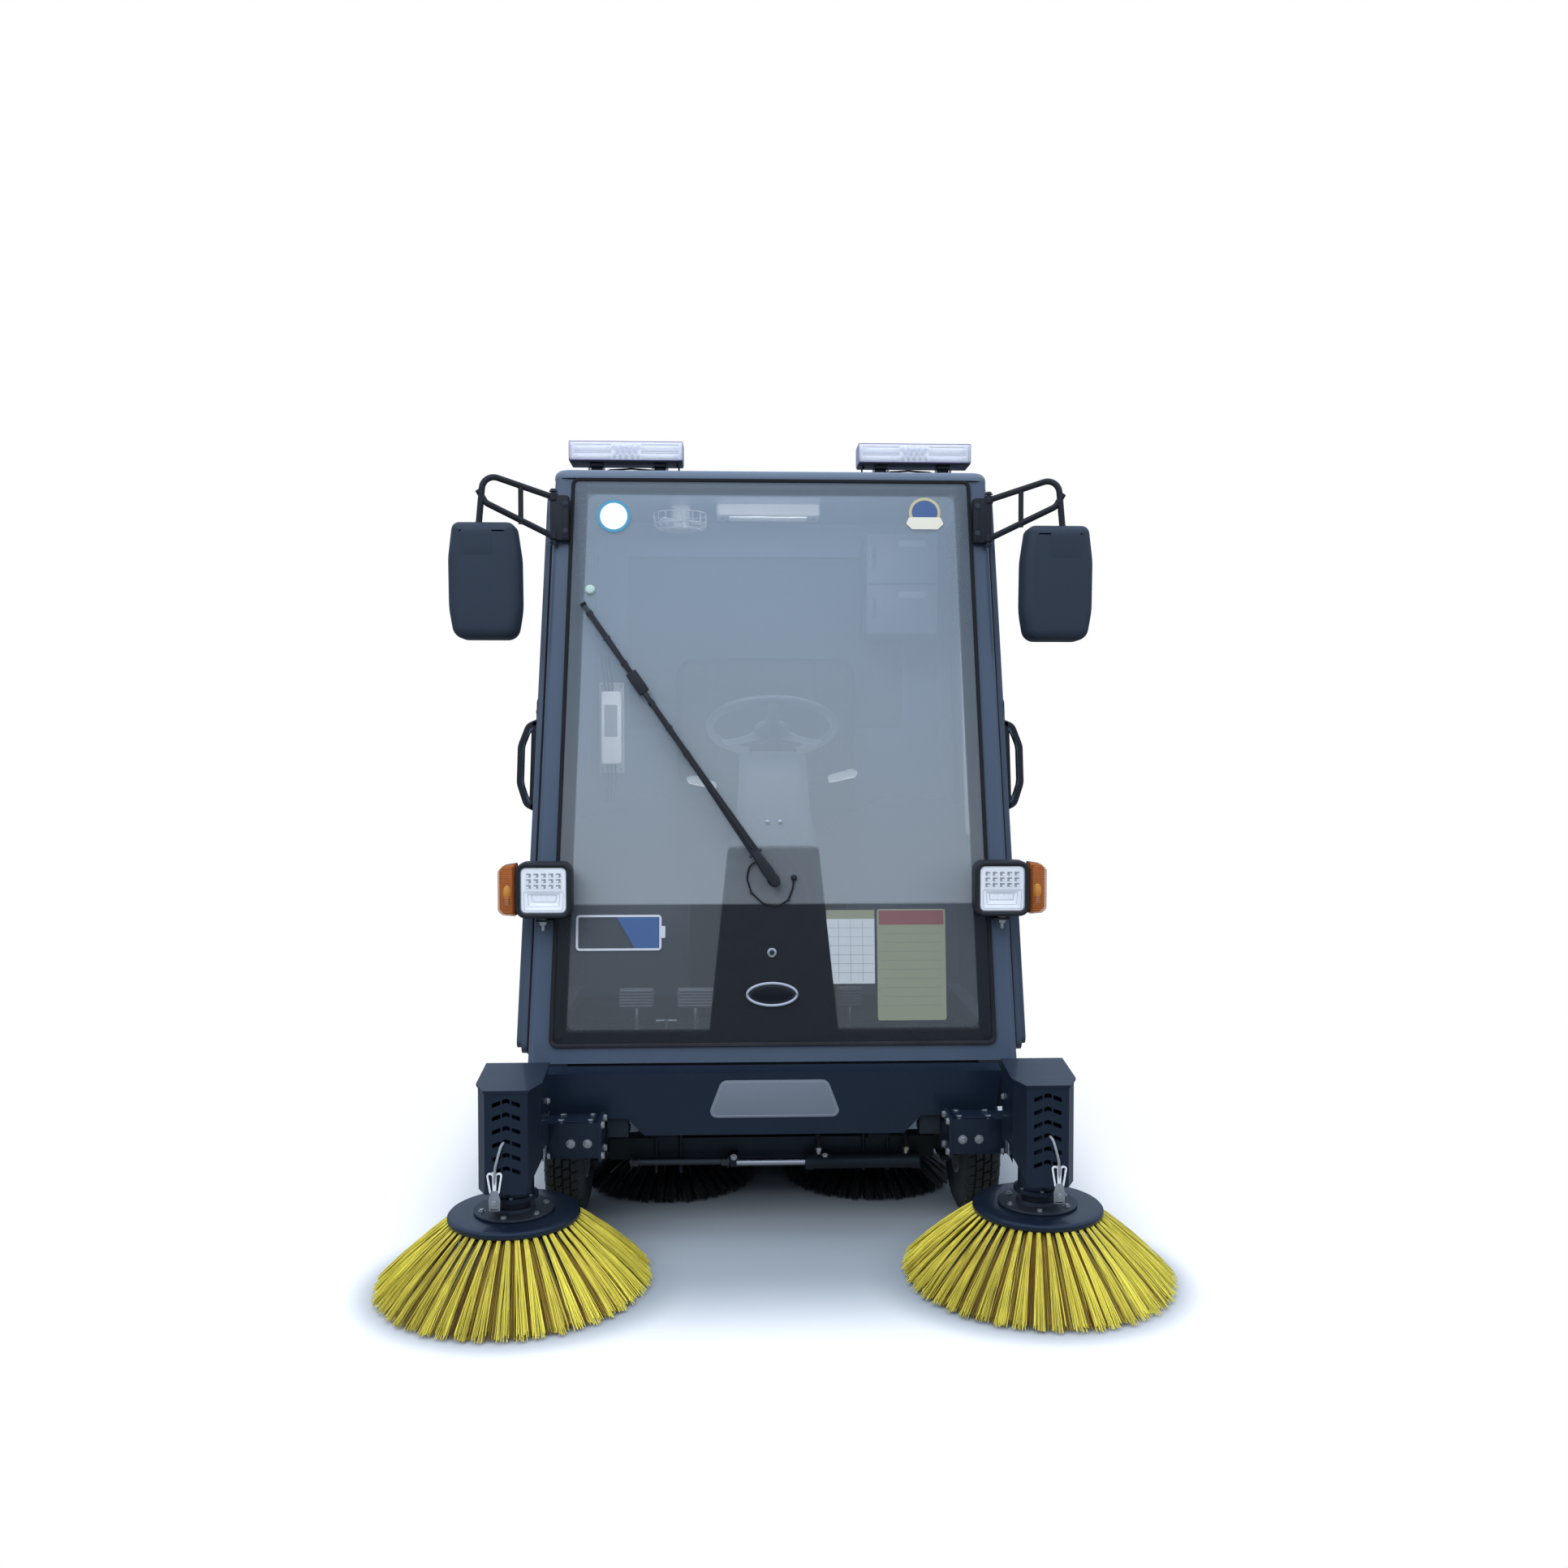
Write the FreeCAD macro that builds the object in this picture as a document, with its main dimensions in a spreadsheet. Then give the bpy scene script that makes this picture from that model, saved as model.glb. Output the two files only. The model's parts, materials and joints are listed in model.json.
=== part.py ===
import FreeCAD, Part
import math
import os

import Sketcher

Vector = FreeCAD.Vector
Rotation = FreeCAD.Rotation
Placement = FreeCAD.Placement

# Compact road sweeper, ride-on, with a closed cab, two wide brushes in front, two dark brushes
# behind the front axle and a roller under the middle.
# Millimetres. +Z is up, the front faces -Y and +X is on the right in a front view. The ground under
# the machine's middle is the origin.

doc = FreeCAD.newDocument("road_sweeper")
sheet = doc.addObject("Spreadsheet::Sheet", "Sizes")

# Driving sizes
SIZES = {
    # cab shell
    "cab_floor_top": 465.0,
    "cab_top": 2045.0,
    "cab_half_width_low": 654.0,
    "cab_half_width_top": 599.0,
    "cab_front_low": -566.0,
    "cab_front_top": -370.0,
    "cab_rear": 400.0,
    "cab_wall": 45.0,
    "cab_corner": 16.0,
    "sill_height": 40.0,
    "header_height": 60.0,
    "door_post_depth": 72.0,
    "rear_post_depth": 66.0,
    "floor_thick": 25.0,
    "roof_thick": 25.0,
    "roof_corner": 45.0,
    "roof_edge": 20.0,
    # glass
    "glass_thick": 5.0,
    "print_thick": 1.0,
    "screen_half_low": 593.0,
    "screen_half_top": 548.0,
    "screen_low_edge": 46.0,
    "screen_top_edge": 4.0,
    "screen_border": 42.0,
    "screen_corner": 22.0,
    "mask_half_low": 176.0,
    "mask_half_top": 122.0,
    "mask_height": 530.0,
    "rear_glass_half": 470.0,
    "rear_glass_low": 1350.0,
    "rear_glass_top": 1950.0,
    # doors
    "door_gap": 0.3,
    "door_thick": 26.0,
    "door_window_low": 1010.0,
    "door_frame": 62.0,
    "door_bulge": 18.0,
    "handle_low": 1128.0,
    "handle_high": 1376.0,
    "handle_reach": 50.0,
    "handle_wide": 24.0,
    "hinge_radius": 9.0,
    # chassis
    "rail_inner": 260.0,
    "rail_wide": 60.0,
    "rail_low": 380.0,
    "rail_high": 440.0,
    "rail_front": -598.0,
    "rail_rear": 1150.0,
    "beam_high": 60.0,
    "beam_wide": 40.0,
    "rear_beam_rear": 1195.0,
    "middle_beam_y": 60.0,
    "tow_bore": 14.0,
    "tow_lug_thick": 20.0,
    # bumper
    "bumper_front": -610.0,
    "bumper_half_top": 600.0,
    "bumper_half_low": 585.0,
    "bumper_top": 448.0,
    "bumper_low": 330.0,
    "bumper_mid_low": 284.0,
    "bumper_mid_half": 342.0,
    "bumper_mid_top_half": 388.0,
    "bumper_sheet": 4.0,
    "bumper_depth": 36.0,
    # wheels
    "tyre_radius": 200.0,
    "tyre_wide": 105.0,
    "rim_radius": 101.5,
    "rim_gap": 0.2,
    "rim_hole": 11.0,
    "rim_hole_circle": 68.0,
    "stud_circle": 47.0,
    "hub_radius": 34.0,
    "spindle_radius": 14.0,
    "running_gap": 0.05,
    "front_axle_y": -360.0,
    "rear_axle_y": 740.0,
    "wheel_x": 565.0,
    "kingpin_x": 485.0,
    "kingpin_radius": 9.0,
    "axle_beam": 60.0,
    "axle_beam_drop": 20.0,
    "axle_beam_half": 455.0,
    "barrel_radius": 22.0,
    "barrel_half": 35.0,
    "spring_thick": 8.0,
    "spring_wide": 56.0,
    "spring_half": 185.0,
    "spring_rise": 58.0,
    "ubolt_radius": 5.0,
    # front brushes
    "brush_x": 640.0,
    "brush_y": -860.0,
    "brush_radius": 335.0,
    "brush_tip": 5.0,
    "disc_radius": 159.0,
    "disc_top": 183.0,
    "disc_thick": 22.0,
    "flange_radius": 105.0,
    "flange_thick": 14.0,
    "cover_low": 250.0,
    "cover_high_front": 492.0,
    "cover_high_rear": 514.0,
    "cover_sheet": 3.0,
    "vent_top": 468.0,
    "vent_pitch": 32.0,
    "vent_high": 10.0,
    "vent_drop": 12.0,
    "tuft_root": 9.0,
    "tuft_tip": 38.0,
    "tuft_deep": 24.0,
    "lid_thick": 6.0,
    "lid_over": 4.0,
    "motor_radius": 48.0,
    "motor_low": 215.0,
    "arm_pivot_y": -575.0,
    "arm_pivot_z": 297.0,
    "arm_pin": 9.0,
    "arm_hub_radius": 16.0,
    "arm_front": -725.0,
    "arm_rear": -650.0,
    "arm_low": 262.0,
    "arm_high": 352.0,
    # second brushes
    "second_x": 300.0,
    "second_y": -80.0,
    "second_radius": 260.0,
    "second_disc_radius": 120.0,
    "second_disc_top": 122.0,
    "second_motor_radius": 45.0,
    "second_motor_low": 140.0,
    "second_motor_high": 255.0,
    "second_pivot_y": -320.0,
    "second_pivot_z": 290.0,
    "second_pin": 9.0,
    # roller brush and its hood
    "roller_y": 400.0,
    "roller_z": 150.0,
    "roller_radius": 140.0,
    "roller_core": 62.0,
    "roller_half": 350.0,
    "roller_shaft": 12.0,
    "hood_inner": 155.0,
    "hood_wall": 8.0,
    "hood_half": 372.0,
    # rear body
    "body_front": 405.0,
    "body_rear": 1150.0,
    "body_half": 620.0,
    "body_low": 300.0,
    "body_top": 1310.0,
    "body_wall": 20.0,
    "body_slope": 150.0,
    "skirt_front": -95.0,
    "skirt_low": 210.0,
    "hopper_rear": 1090.0,
    "arch_radius": 245.0,
    "hatch_margin": 75.0,
    "hatch_low": 480.0,
    "hatch_top": 1130.0,
    "hatch_thick": 22.0,
    "louvre_front": 560.0,
    "louvre_rear": 800.0,
    "louvre_low": 1010.0,
    "louvre_pitch": 28.0,
    "louvre_high": 12.0,
    "tail_lamp_wide": 55.0,
    "tail_lamp_low": 560.0,
    "tail_lamp_high": 740.0,
    "seat_gap": 0.3,
    "battery_half": 450.0,
    "battery_long": 350.0,
    "battery_high": 255.0,
    # lamps, bars and mirrors
    "lamp_wide": 147.0,
    "lamp_deep": 70.0,
    "lamp_x": 604.0,
    "lamp_z": 929.0,
    "lamp_front": -602.0,
    "lamp_corner": 24.0,
    "lamp_bezel": 15.0,
    "chip_pitch": 19.4,
    "chip_rise": 14.9,
    "indicator_wide": 48.0,
    "indicator_high": 138.0,
    "bar_x": 411.0,
    "bar_long": 322.0,
    "bar_deep": 92.0,
    "bar_high": 60.0,
    "bar_front": -285.0,
    "bar_lift": 40.0,
    "bar_rib": 5.0,
    "mirror_x": 770.0,
    "mirror_wide": 192.0,
    "mirror_low": 1592.0,
    "mirror_high": 1902.0,
    "mirror_deep": 84.0,
    "mirror_front": -524.0,
    "mirror_tube": 8.5,
    "mirror_bracket_low": 1868.0,
    "mirror_bracket_high": 1990.0,
    "mirror_bracket_wide": 52.0,
    "mirror_tube_rise": 50.0,
    "fitting_gap": 8.0,
    "control_low": 1215.0,
    "control_high": 1515.0,
    "control_wide": 100.0,
    "cabinet_low": 1660.0,
    "cabinet_high": 1985.0,
    "cabinet_wide": 230.0,
    "cabinet_deep": 200.0,
    "pedal_rear": -250.0,
    "pedal_long": 80.0,
    "pedal_high": 150.0,
    # cab inside
    "wheel_rim_radius": 187.0,
    "wheel_rim_tube": 13.0,
    "steer_x": 9.0,
    "steer_y": -60.0,
    "steer_z": 1362.0,
    "steer_tilt": 25.0,
    "column_half": 128.0,
    "column_top": 1290.0,
    "seat_half": 262.0,
    "seat_front": -20.0,
    "seat_high": 880.0,
    "cushion_thick": 105.0,
    "back_half": 300.0,
    "back_thick": 100.0,
    "back_top": 1600.0,
    # wiper
    "wiper_z": 945.0,
    "wiper_arm": 915.0,
    "wiper_blade": 540.0,
    "wiper_angle": 34.5,
}


class Dim:
    """A number together with the sheet expression that gives it."""

    def __init__(self, value, text):
        self.value = float(value)
        self.text = text

    def __float__(self):
        return self.value

    def __add__(self, other):
        other = dim(other)
        return Dim(self.value + other.value, f"({self.text} + {other.text})")

    def __radd__(self, other):
        return dim(other) + self

    def __sub__(self, other):
        other = dim(other)
        return Dim(self.value - other.value, f"({self.text} - {other.text})")

    def __rsub__(self, other):
        return dim(other) - self

    def __mul__(self, other):
        other = dim(other)
        return Dim(self.value * other.value, f"({self.text} * {other.text})")

    def __rmul__(self, other):
        return dim(other) * self

    def __truediv__(self, other):
        other = dim(other)
        return Dim(self.value / other.value, f"({self.text} / {other.text})")

    def __rtruediv__(self, other):
        return dim(other) / self

    def __neg__(self):
        return dim(0) - self


def dim(value):
    if isinstance(value, Dim):
        return value
    return Dim(value, repr(float(value)))


class Sizes:
    pass


S = Sizes()
for row, (alias, number) in enumerate(SIZES.items(), start=1):
    sheet.set(f"A{row}", alias)
    sheet.set(f"B{row}", str(number))
    sheet.setAlias(f"B{row}", alias)
doc.recompute()
for alias in SIZES:
    setattr(S, alias, Dim(sheet.get(alias), f"Sizes.{alias}"))

nodes = []
X_AXIS = Vector(1, 0, 0)
Y_AXIS = Vector(0, 1, 0)
Z_AXIS = Vector(0, 0, 1)
TURN = {"X": Rotation(Y_AXIS, 90), "Y": Rotation(X_AXIS, -90), "Z": Rotation()}


def bind(obj, prop, size):
    """Sets a property from a size, and ties it to the sheet."""
    obj.setExpression(prop, dim(size).text)


def place(obj, x, y, z):
    bind(obj, "Placement.Base.x", x)
    bind(obj, "Placement.Base.y", y)
    bind(obj, "Placement.Base.z", z)
    return obj


def block(x0, x1, y0, y1, z0, z1, name="Block"):
    """A box between two corners."""
    obj = doc.addObject("Part::Box", name)
    bind(obj, "Length", dim(x1) - x0)
    bind(obj, "Width", dim(y1) - y0)
    bind(obj, "Height", dim(z1) - z0)
    return place(obj, x0, y0, z0)


def rod(axis, x, y, z, radius, length, name="Rod"):
    """A round bar that starts at a point and runs along a positive axis."""
    obj = doc.addObject("Part::Cylinder", name)
    bind(obj, "Radius", radius)
    bind(obj, "Height", length)
    obj.Placement = Placement(Vector(), TURN[axis])
    return place(obj, x, y, z)


def cut(base, *tools, name="Cut"):
    obj = base
    for tool in tools:
        step = doc.addObject("Part::Cut", name)
        step.Base = obj
        step.Tool = tool
        obj = step
    return obj


def fuse(*pieces, name="Fuse"):
    obj = doc.addObject("Part::MultiFuse", name)
    obj.Shapes = list(pieces)
    return obj


def group(*pieces, name="Group"):
    """Separate solids that share a node."""
    obj = doc.addObject("Part::Compound", name)
    obj.Links = list(pieces)
    return obj


def mirror(source, name="Mirror"):
    """The same piece on the other side of the machine's middle plane."""
    obj = doc.addObject("Part::Mirroring", name)
    obj.Source = source
    obj.Base = Vector()
    obj.Normal = X_AXIS
    return obj


def both(source, name="Both"):
    return group(source, mirror(source), name=name)


def origin_plane(body, role):
    for item in body.Origin.OriginFeatures:
        if item.Role == role:
            return item
    raise ValueError(role)


def outline_sketch(body, role, points, offset):
    """A closed outline with straight sides, each corner tied to the sheet."""
    sketch = body.newObject("Sketcher::SketchObject", "Outline")
    sketch.AttachmentSupport = [(origin_plane(body, role), "")]
    sketch.MapMode = "FlatFace"
    bind(sketch, "AttachmentOffset.Base.z", offset)
    corners = [(dim(a), dim(b)) for a, b in points]
    count = len(corners)
    for index in range(count):
        a, b = corners[index]
        c, d = corners[(index + 1) % count]
        line = Part.LineSegment(Vector(a.value, b.value, 0), Vector(c.value, d.value, 0))
        sketch.addGeometry(line, False)
    for index in range(count):
        following = (index + 1) % count
        sketch.addConstraint(Sketcher.Constraint("Coincident", index, 2, following, 1))
    for index, (a, b) in enumerate(corners):
        for kind, size in (("DistanceX", a), ("DistanceY", b)):
            number = sketch.addConstraint(Sketcher.Constraint(kind, -1, 1, index, 1, size.value))
            sketch.setExpression(f"Constraints[{number}]", size.text)
    return sketch


def edges_along(shape, direction, keep):
    names = []
    for index, edge in enumerate(shape.Edges, start=1):
        if not isinstance(edge.Curve, Part.Line):
            continue
        along = edge.Curve.Direction
        if abs(abs(along.dot(direction)) - 1) < 1e-6 and keep(edge.CenterOfMass):
            names.append(f"Edge{index}")
    return names


def anywhere(point):
    return True


PLANE_AXIS = {"XY_Plane": Z_AXIS, "XZ_Plane": Y_AXIS, "YZ_Plane": X_AXIS}


def prism(role, points, low, high, corner=None, keep=anywhere, name="Prism"):
    """An outline in an origin plane, padded between two positions on that plane's axis."""
    body = doc.addObject("PartDesign::Body", name)
    offset = -dim(high) if role == "XZ_Plane" else dim(low)
    sketch = outline_sketch(body, role, points, offset)
    pad = body.newObject("PartDesign::Pad", "Pad")
    pad.Profile = sketch
    bind(pad, "Length", dim(high) - low)
    body.Tip = pad
    doc.recompute()
    if corner is not None:
        rounding = body.newObject("PartDesign::Fillet", "Corners")
        rounding.Base = (pad, edges_along(pad.Shape, PLANE_AXIS[role], keep))
        bind(rounding, "Radius", corner)
        body.Tip = rounding
        doc.recompute()
    return body


def soften(body, radius, choose):
    """Rounds the chosen edges of a body."""
    base = body.Tip
    rounding = body.newObject("PartDesign::Fillet", "Softened")
    names = [
        f"Edge{index}" for index, edge in enumerate(base.Shape.Edges, start=1) if choose(edge)
    ]
    rounding.Base = (base, names)
    bind(rounding, "Radius", radius)
    body.Tip = rounding
    doc.recompute()
    return body


def lathe(points, name="Lathe", axis="Z", x=0, y=0, z=0):
    """A profile of (radius, height) corners, turned a full circle about an axis."""
    body = doc.addObject("PartDesign::Body", name)
    sketch = outline_sketch(body, "XZ_Plane", points, 0)
    turn = body.newObject("PartDesign::Revolution", "Turn")
    turn.Profile = sketch
    turn.ReferenceAxis = (sketch, ["V_Axis"])
    turn.Angle = 360.0
    body.Tip = turn
    body.Placement = Placement(Vector(), TURN[axis])
    return place(body, x, y, z)


def shaped(shape, name="Shaped"):
    obj = doc.addObject("Part::Feature", name)
    obj.Shape = shape
    return obj


def node(label, obj):
    obj.Label = label
    nodes.append(obj)
    return obj


# Planes of the cab shell
SCREEN_RUN = float(S.cab_front_top) - float(S.cab_front_low)
SCREEN_RISE = float(S.cab_top) - float(S.cab_floor_top)
SCREEN_ANGLE = math.degrees(math.atan2(SCREEN_RUN, SCREEN_RISE))
SCREEN_LENGTH = math.hypot(SCREEN_RUN, SCREEN_RISE)
SIDE_ANGLE = math.degrees(
    math.atan2(float(S.cab_half_width_low) - float(S.cab_half_width_top), SCREEN_RISE)
)


def front_at(z):
    """The cab front's place along Y at a height."""
    return S.cab_front_low + (dim(z) - S.cab_floor_top) * (S.cab_front_top - S.cab_front_low) / (
        S.cab_top - S.cab_floor_top
    )


def half_at(z):
    """Half of the cab's width at a height."""
    return S.cab_half_width_low - (dim(z) - S.cab_floor_top) * (
        S.cab_half_width_low - S.cab_half_width_top
    ) / (S.cab_top - S.cab_floor_top)


def rectangle(half, front, rear, z):
    corners = [(-half, front), (half, front), (half, rear), (-half, rear)]
    points = [Vector(float(a), float(b), float(z)) for a, b in corners]
    return Part.makePolygon(points + points[:1])


def cab_loft(inset, low, high):
    """The tapered cab block, set in from the outside on all four sides."""
    wires = []
    for z in (low, high):
        half = float(half_at(z)) - inset
        wires.append(rectangle(half, float(front_at(z)) + inset, float(S.cab_rear) - inset, z))
    return Part.makeLoft(wires, True, True)


def upright_edges(shape, low, high):
    edges = []
    for edge in shape.Edges:
        box = edge.BoundBox
        if box.ZMax - box.ZMin > 0.9 * (high - low):
            edges.append(edge)
    return edges


# Cab shell: posts, sills and the rail above the doors
def door_opening_points():
    low = S.cab_floor_top + S.sill_height
    high = S.cab_top - S.header_height
    return [
        (front_at(low) + S.door_post_depth, low),
        (S.cab_rear - S.rear_post_depth, low),
        (S.cab_rear - S.rear_post_depth, high),
        (front_at(high) + S.door_post_depth, high),
    ]


def make_cab_frame():
    low = float(S.cab_floor_top)
    high = float(S.cab_top)
    outer = cab_loft(0.0, low, high)
    outer = outer.makeFillet(float(S.cab_corner), upright_edges(outer, low, high))
    shell = outer.cut(cab_loft(float(S.cab_wall), low, high))
    wide = 2 * float(S.cab_half_width_low)
    opening = Part.makePolygon(
        [Vector(-wide / 2 - 10, float(a), float(b)) for a, b in door_opening_points()]
        + [Vector(-wide / 2 - 10, *[float(c) for c in door_opening_points()[0]])]
    )
    shell = shell.cut(Part.Face(opening).extrude(Vector(wide + 20, 0, 0)))
    inset = float(S.screen_border) - 10.0
    front = screen_sheet(inset, -60.0, 60.0, 6.0)
    shell = shell.cut(front)
    rear = Part.makeBox(
        2 * float(S.rear_glass_half) - 30,
        3 * float(S.cab_wall),
        float(S.rear_glass_top) - float(S.rear_glass_low) - 30,
        Vector(
            15 - float(S.rear_glass_half),
            float(S.cab_rear) - 2 * float(S.cab_wall),
            float(S.rear_glass_low) + 15,
        ),
    )
    return shaped(shell.cut(rear), "CabFrame")


def screen_outline(inset):
    """The windscreen's four corners in its own plane: across, and up the slope from the cab's foot."""
    low = float(S.screen_low_edge) + inset
    high = SCREEN_LENGTH - float(S.screen_top_edge) - inset
    return [
        (-float(S.screen_half_low) + inset, low),
        (float(S.screen_half_low) - inset, low),
        (float(S.screen_half_top) - inset, high),
        (-float(S.screen_half_top) + inset, high),
    ]


def screen_half_at(z):
    """Half of the windscreen's width at a height."""
    low = float(S.cab_floor_top) + float(S.screen_low_edge)
    share = (z - low) / (float(S.cab_top) - low)
    return float(S.screen_half_low) - share * (float(S.screen_half_low) - float(S.screen_half_top))


SCREEN_PLACE = Placement(
    Vector(0, float(S.cab_front_low), float(S.cab_floor_top)), Rotation(X_AXIS, -SCREEN_ANGLE)
)


def flat_outline(points, y):
    """A closed face in the XZ plane at one depth."""
    corners = [Vector(a, y, b) for a, b in points]
    return Part.Face(Part.makePolygon(corners + corners[:1]))


def round_flat(solid, radius):
    """Rounds the edges that run through a flat sheet."""
    if radius <= 0:
        return solid
    edges = [e for e in solid.Edges if abs(abs(e.tangentAt(e.FirstParameter).y) - 1) < 1e-6]
    return solid.makeFillet(radius, edges)


def screen_sheet(inset, near, far, corner):
    """A sheet in the windscreen's plane, from near (in front) to far (behind), placed on the cab."""
    solid = flat_outline(screen_outline(inset), near).extrude(Vector(0, far - near, 0))
    solid = round_flat(solid, corner)
    solid.Placement = SCREEN_PLACE.multiply(solid.Placement)
    return solid


def make_windscreen():
    far = -float(S.print_thick)
    return shaped(screen_sheet(0.0, far - float(S.glass_thick), far, float(S.screen_corner)), "Glass")


def make_print():
    """The black printed border with the middle panel that stands on its lower edge."""
    near = -float(S.print_thick)
    sheet_solid = screen_sheet(0.0, near, 0.0, float(S.screen_corner))
    border = float(S.screen_border)
    clear = flat_outline(screen_outline(border), near - 1).extrude(Vector(0, 3, 0))
    clear = round_flat(clear, float(S.screen_corner))
    foot = float(S.screen_low_edge)
    mask_points = [
        (-float(S.mask_half_low), foot),
        (float(S.mask_half_low), foot),
        (float(S.mask_half_top), foot + float(S.mask_height)),
        (-float(S.mask_half_top), foot + float(S.mask_height)),
    ]
    mask = flat_outline(mask_points, near - 2).extrude(Vector(0, 5, 0))
    upper = [e for e in mask.Edges if abs(e.tangentAt(e.FirstParameter).y) > 0.99]
    upper = [e for e in upper if e.CenterOfMass.z > foot + 1]
    mask = mask.makeFillet(float(S.screen_corner), upper)
    clear = clear.cut(mask)
    clear.Placement = SCREEN_PLACE.multiply(clear.Placement)
    return shaped(sheet_solid.cut(clear), "Print")


cab_frame = node("cab_frame", make_cab_frame())
node("windscreen", make_windscreen())
node("windscreen_print", make_print())

# Cab floor and roof
node(
    "cab_floor",
    block(
        14 - S.cab_half_width_low,
        S.cab_half_width_low - 14,
        S.cab_front_low + 14,
        S.cab_rear,
        S.cab_floor_top - S.floor_thick,
        S.cab_floor_top,
    ),
)


def roof_points():
    half = S.cab_half_width_top + 4
    front = S.cab_front_top - 8
    rear = S.cab_rear + 6
    return [(-half, front), (half, front), (half, rear), (-half, rear)]


def make_roof():
    top = S.cab_top + S.roof_thick
    slab = prism("XY_Plane", roof_points(), S.cab_top, top, corner=S.roof_corner)
    return soften(slab, S.roof_edge, lambda edge: edge.BoundBox.ZMin > top.value - 0.01)


node("cab_roof", make_roof())
node(
    "rear_window",
    block(
        -S.rear_glass_half,
        S.rear_glass_half,
        S.cab_rear,
        S.cab_rear + S.glass_thick,
        S.rear_glass_low,
        S.rear_glass_top,
    ),
)


# Doors, hung at their rear edges on the outside of the cab shell
def side_local(z):
    """Height of a point in the door's own upright plane."""
    return (float(z) - float(S.cab_floor_top)) / math.cos(math.radians(SIDE_ANGLE))


def door_points(inset, low, high):
    points = []
    for z in (low, high):
        front = float(front_at(z)) + 58 + inset
        rear = float(S.cab_rear) - 40 - inset
        points.append((front, rear, side_local(z)))
    (f0, r0, z0), (f1, r1, z1) = points
    return [(f0, z0), (r0, z0), (r1, z1), (f1, z1)]


def door_sheet(inset, low, high, near, far, corner):
    """A sheet parallel to the right side of the cab, from near to far outside that side."""
    corners = [Vector(near, a, b) for a, b in door_points(inset, low, high)]
    solid = Part.Face(Part.makePolygon(corners + corners[:1])).extrude(Vector(far - near, 0, 0))
    if corner > 0:
        edges = [e for e in solid.Edges if abs(e.tangentAt(e.FirstParameter).x) > 0.99]
        solid = solid.makeFillet(corner, edges)
    solid.Placement = DOOR_PLACE.multiply(solid.Placement)
    return solid


DOOR_PLACE = Placement(
    Vector(float(S.cab_half_width_low), 0, float(S.cab_floor_top)), Rotation(Y_AXIS, -SIDE_ANGLE)
)
DOOR_LOW = float(S.cab_floor_top) + 8
DOOR_HIGH = float(S.cab_top) - 34
WINDOW_LOW = float(S.door_window_low)
WINDOW_HIGH = DOOR_HIGH - float(S.door_frame)
DOOR_NEAR = float(S.door_gap)
DOOR_FAR = DOOR_NEAR + float(S.door_thick)


def handle_solid():
    """The pull handle: a flat loop that stands out from the door near its front edge."""
    low = side_local(S.handle_low)
    high = side_local(S.handle_high)
    middle = (low + high) / 2
    reach = float(S.handle_reach)
    y = float(front_at(float(S.handle_low) / 2 + float(S.handle_high) / 2)) + 84

    def loop(shrink):
        start = Vector(DOOR_FAR - 1, y, low + shrink)
        top = Vector(DOOR_FAR - 1, y, high - shrink)
        peak = Vector(DOOR_FAR + reach - shrink, y, middle)
        lower = Vector(DOOR_FAR + (reach - shrink) * 0.78, y, low + 50)
        upper = Vector(DOOR_FAR + (reach - shrink) * 0.78, y, high - 50)
        curve = Part.BSplineCurve()
        curve.interpolate([start, lower, peak, upper, top])
        wire = Part.Wire([curve.toShape(), Part.makeLine(top, start)])
        return Part.Face(wire).extrude(Vector(0, float(S.handle_wide), 0))

    solid = loop(0.0).cut(loop(14.0))
    solid.Placement = DOOR_PLACE.multiply(solid.Placement)
    return solid


def hinge_solids():
    """Two hinge barrels on the door's rear edge."""
    y = float(S.cab_rear) - 40
    solids = []
    for z in (float(S.cab_floor_top) + 250, float(S.cab_top) - 330):
        barrel = Part.makeCylinder(
            float(S.hinge_radius), 90, Vector(DOOR_FAR - float(S.hinge_radius), y + 8, side_local(z))
        )
        barrel.Placement = DOOR_PLACE.multiply(barrel.Placement)
        solids.append(barrel)
    return solids


def make_door():
    leaf = door_sheet(0.0, DOOR_LOW, DOOR_HIGH, DOOR_NEAR, DOOR_FAR, 30.0)
    window = door_sheet(
        float(S.door_frame), WINDOW_LOW, WINDOW_HIGH, DOOR_NEAR - 5, DOOR_FAR + 5, 40.0
    )
    leaf = leaf.cut(window)
    lower = door_sheet(34.0, DOOR_LOW + 8, 860.0, DOOR_FAR - 1, DOOR_FAR + float(S.door_bulge), 24.0)
    leaf = leaf.fuse(lower)
    leaf = leaf.fuse(handle_solid())
    for barrel in hinge_solids():
        leaf = leaf.fuse(barrel)
    return shaped(leaf.removeSplitter(), "Door")


def make_door_glass():
    near = DOOR_NEAR + 8
    return shaped(
        door_sheet(
            float(S.door_frame) + 0.2,
            WINDOW_LOW + 0.2,
            WINDOW_HIGH - 0.2,
            near,
            near + float(S.glass_thick),
            39.8,
        ),
        "DoorGlass",
    )


door_right = node("door_right", make_door())
glass_right = node("door_right_glass", make_door_glass())
node("door_left", mirror(door_right))
node("door_left_glass", mirror(glass_right))

# Chassis rails and cross members
RAIL_OUTER = S.rail_inner + S.rail_wide
HATCH_HALF = S.body_half - S.hatch_margin
node(
    "chassis_rails",
    both(
        block(
            S.rail_inner,
            RAIL_OUTER,
            S.rail_front,
            S.rail_rear,
            S.rail_low,
            S.rail_high,
        )
    ),
)
BEAM_LOW = S.rail_low - S.beam_high
LUG_IN = 385
LUG_OUT = 440


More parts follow.
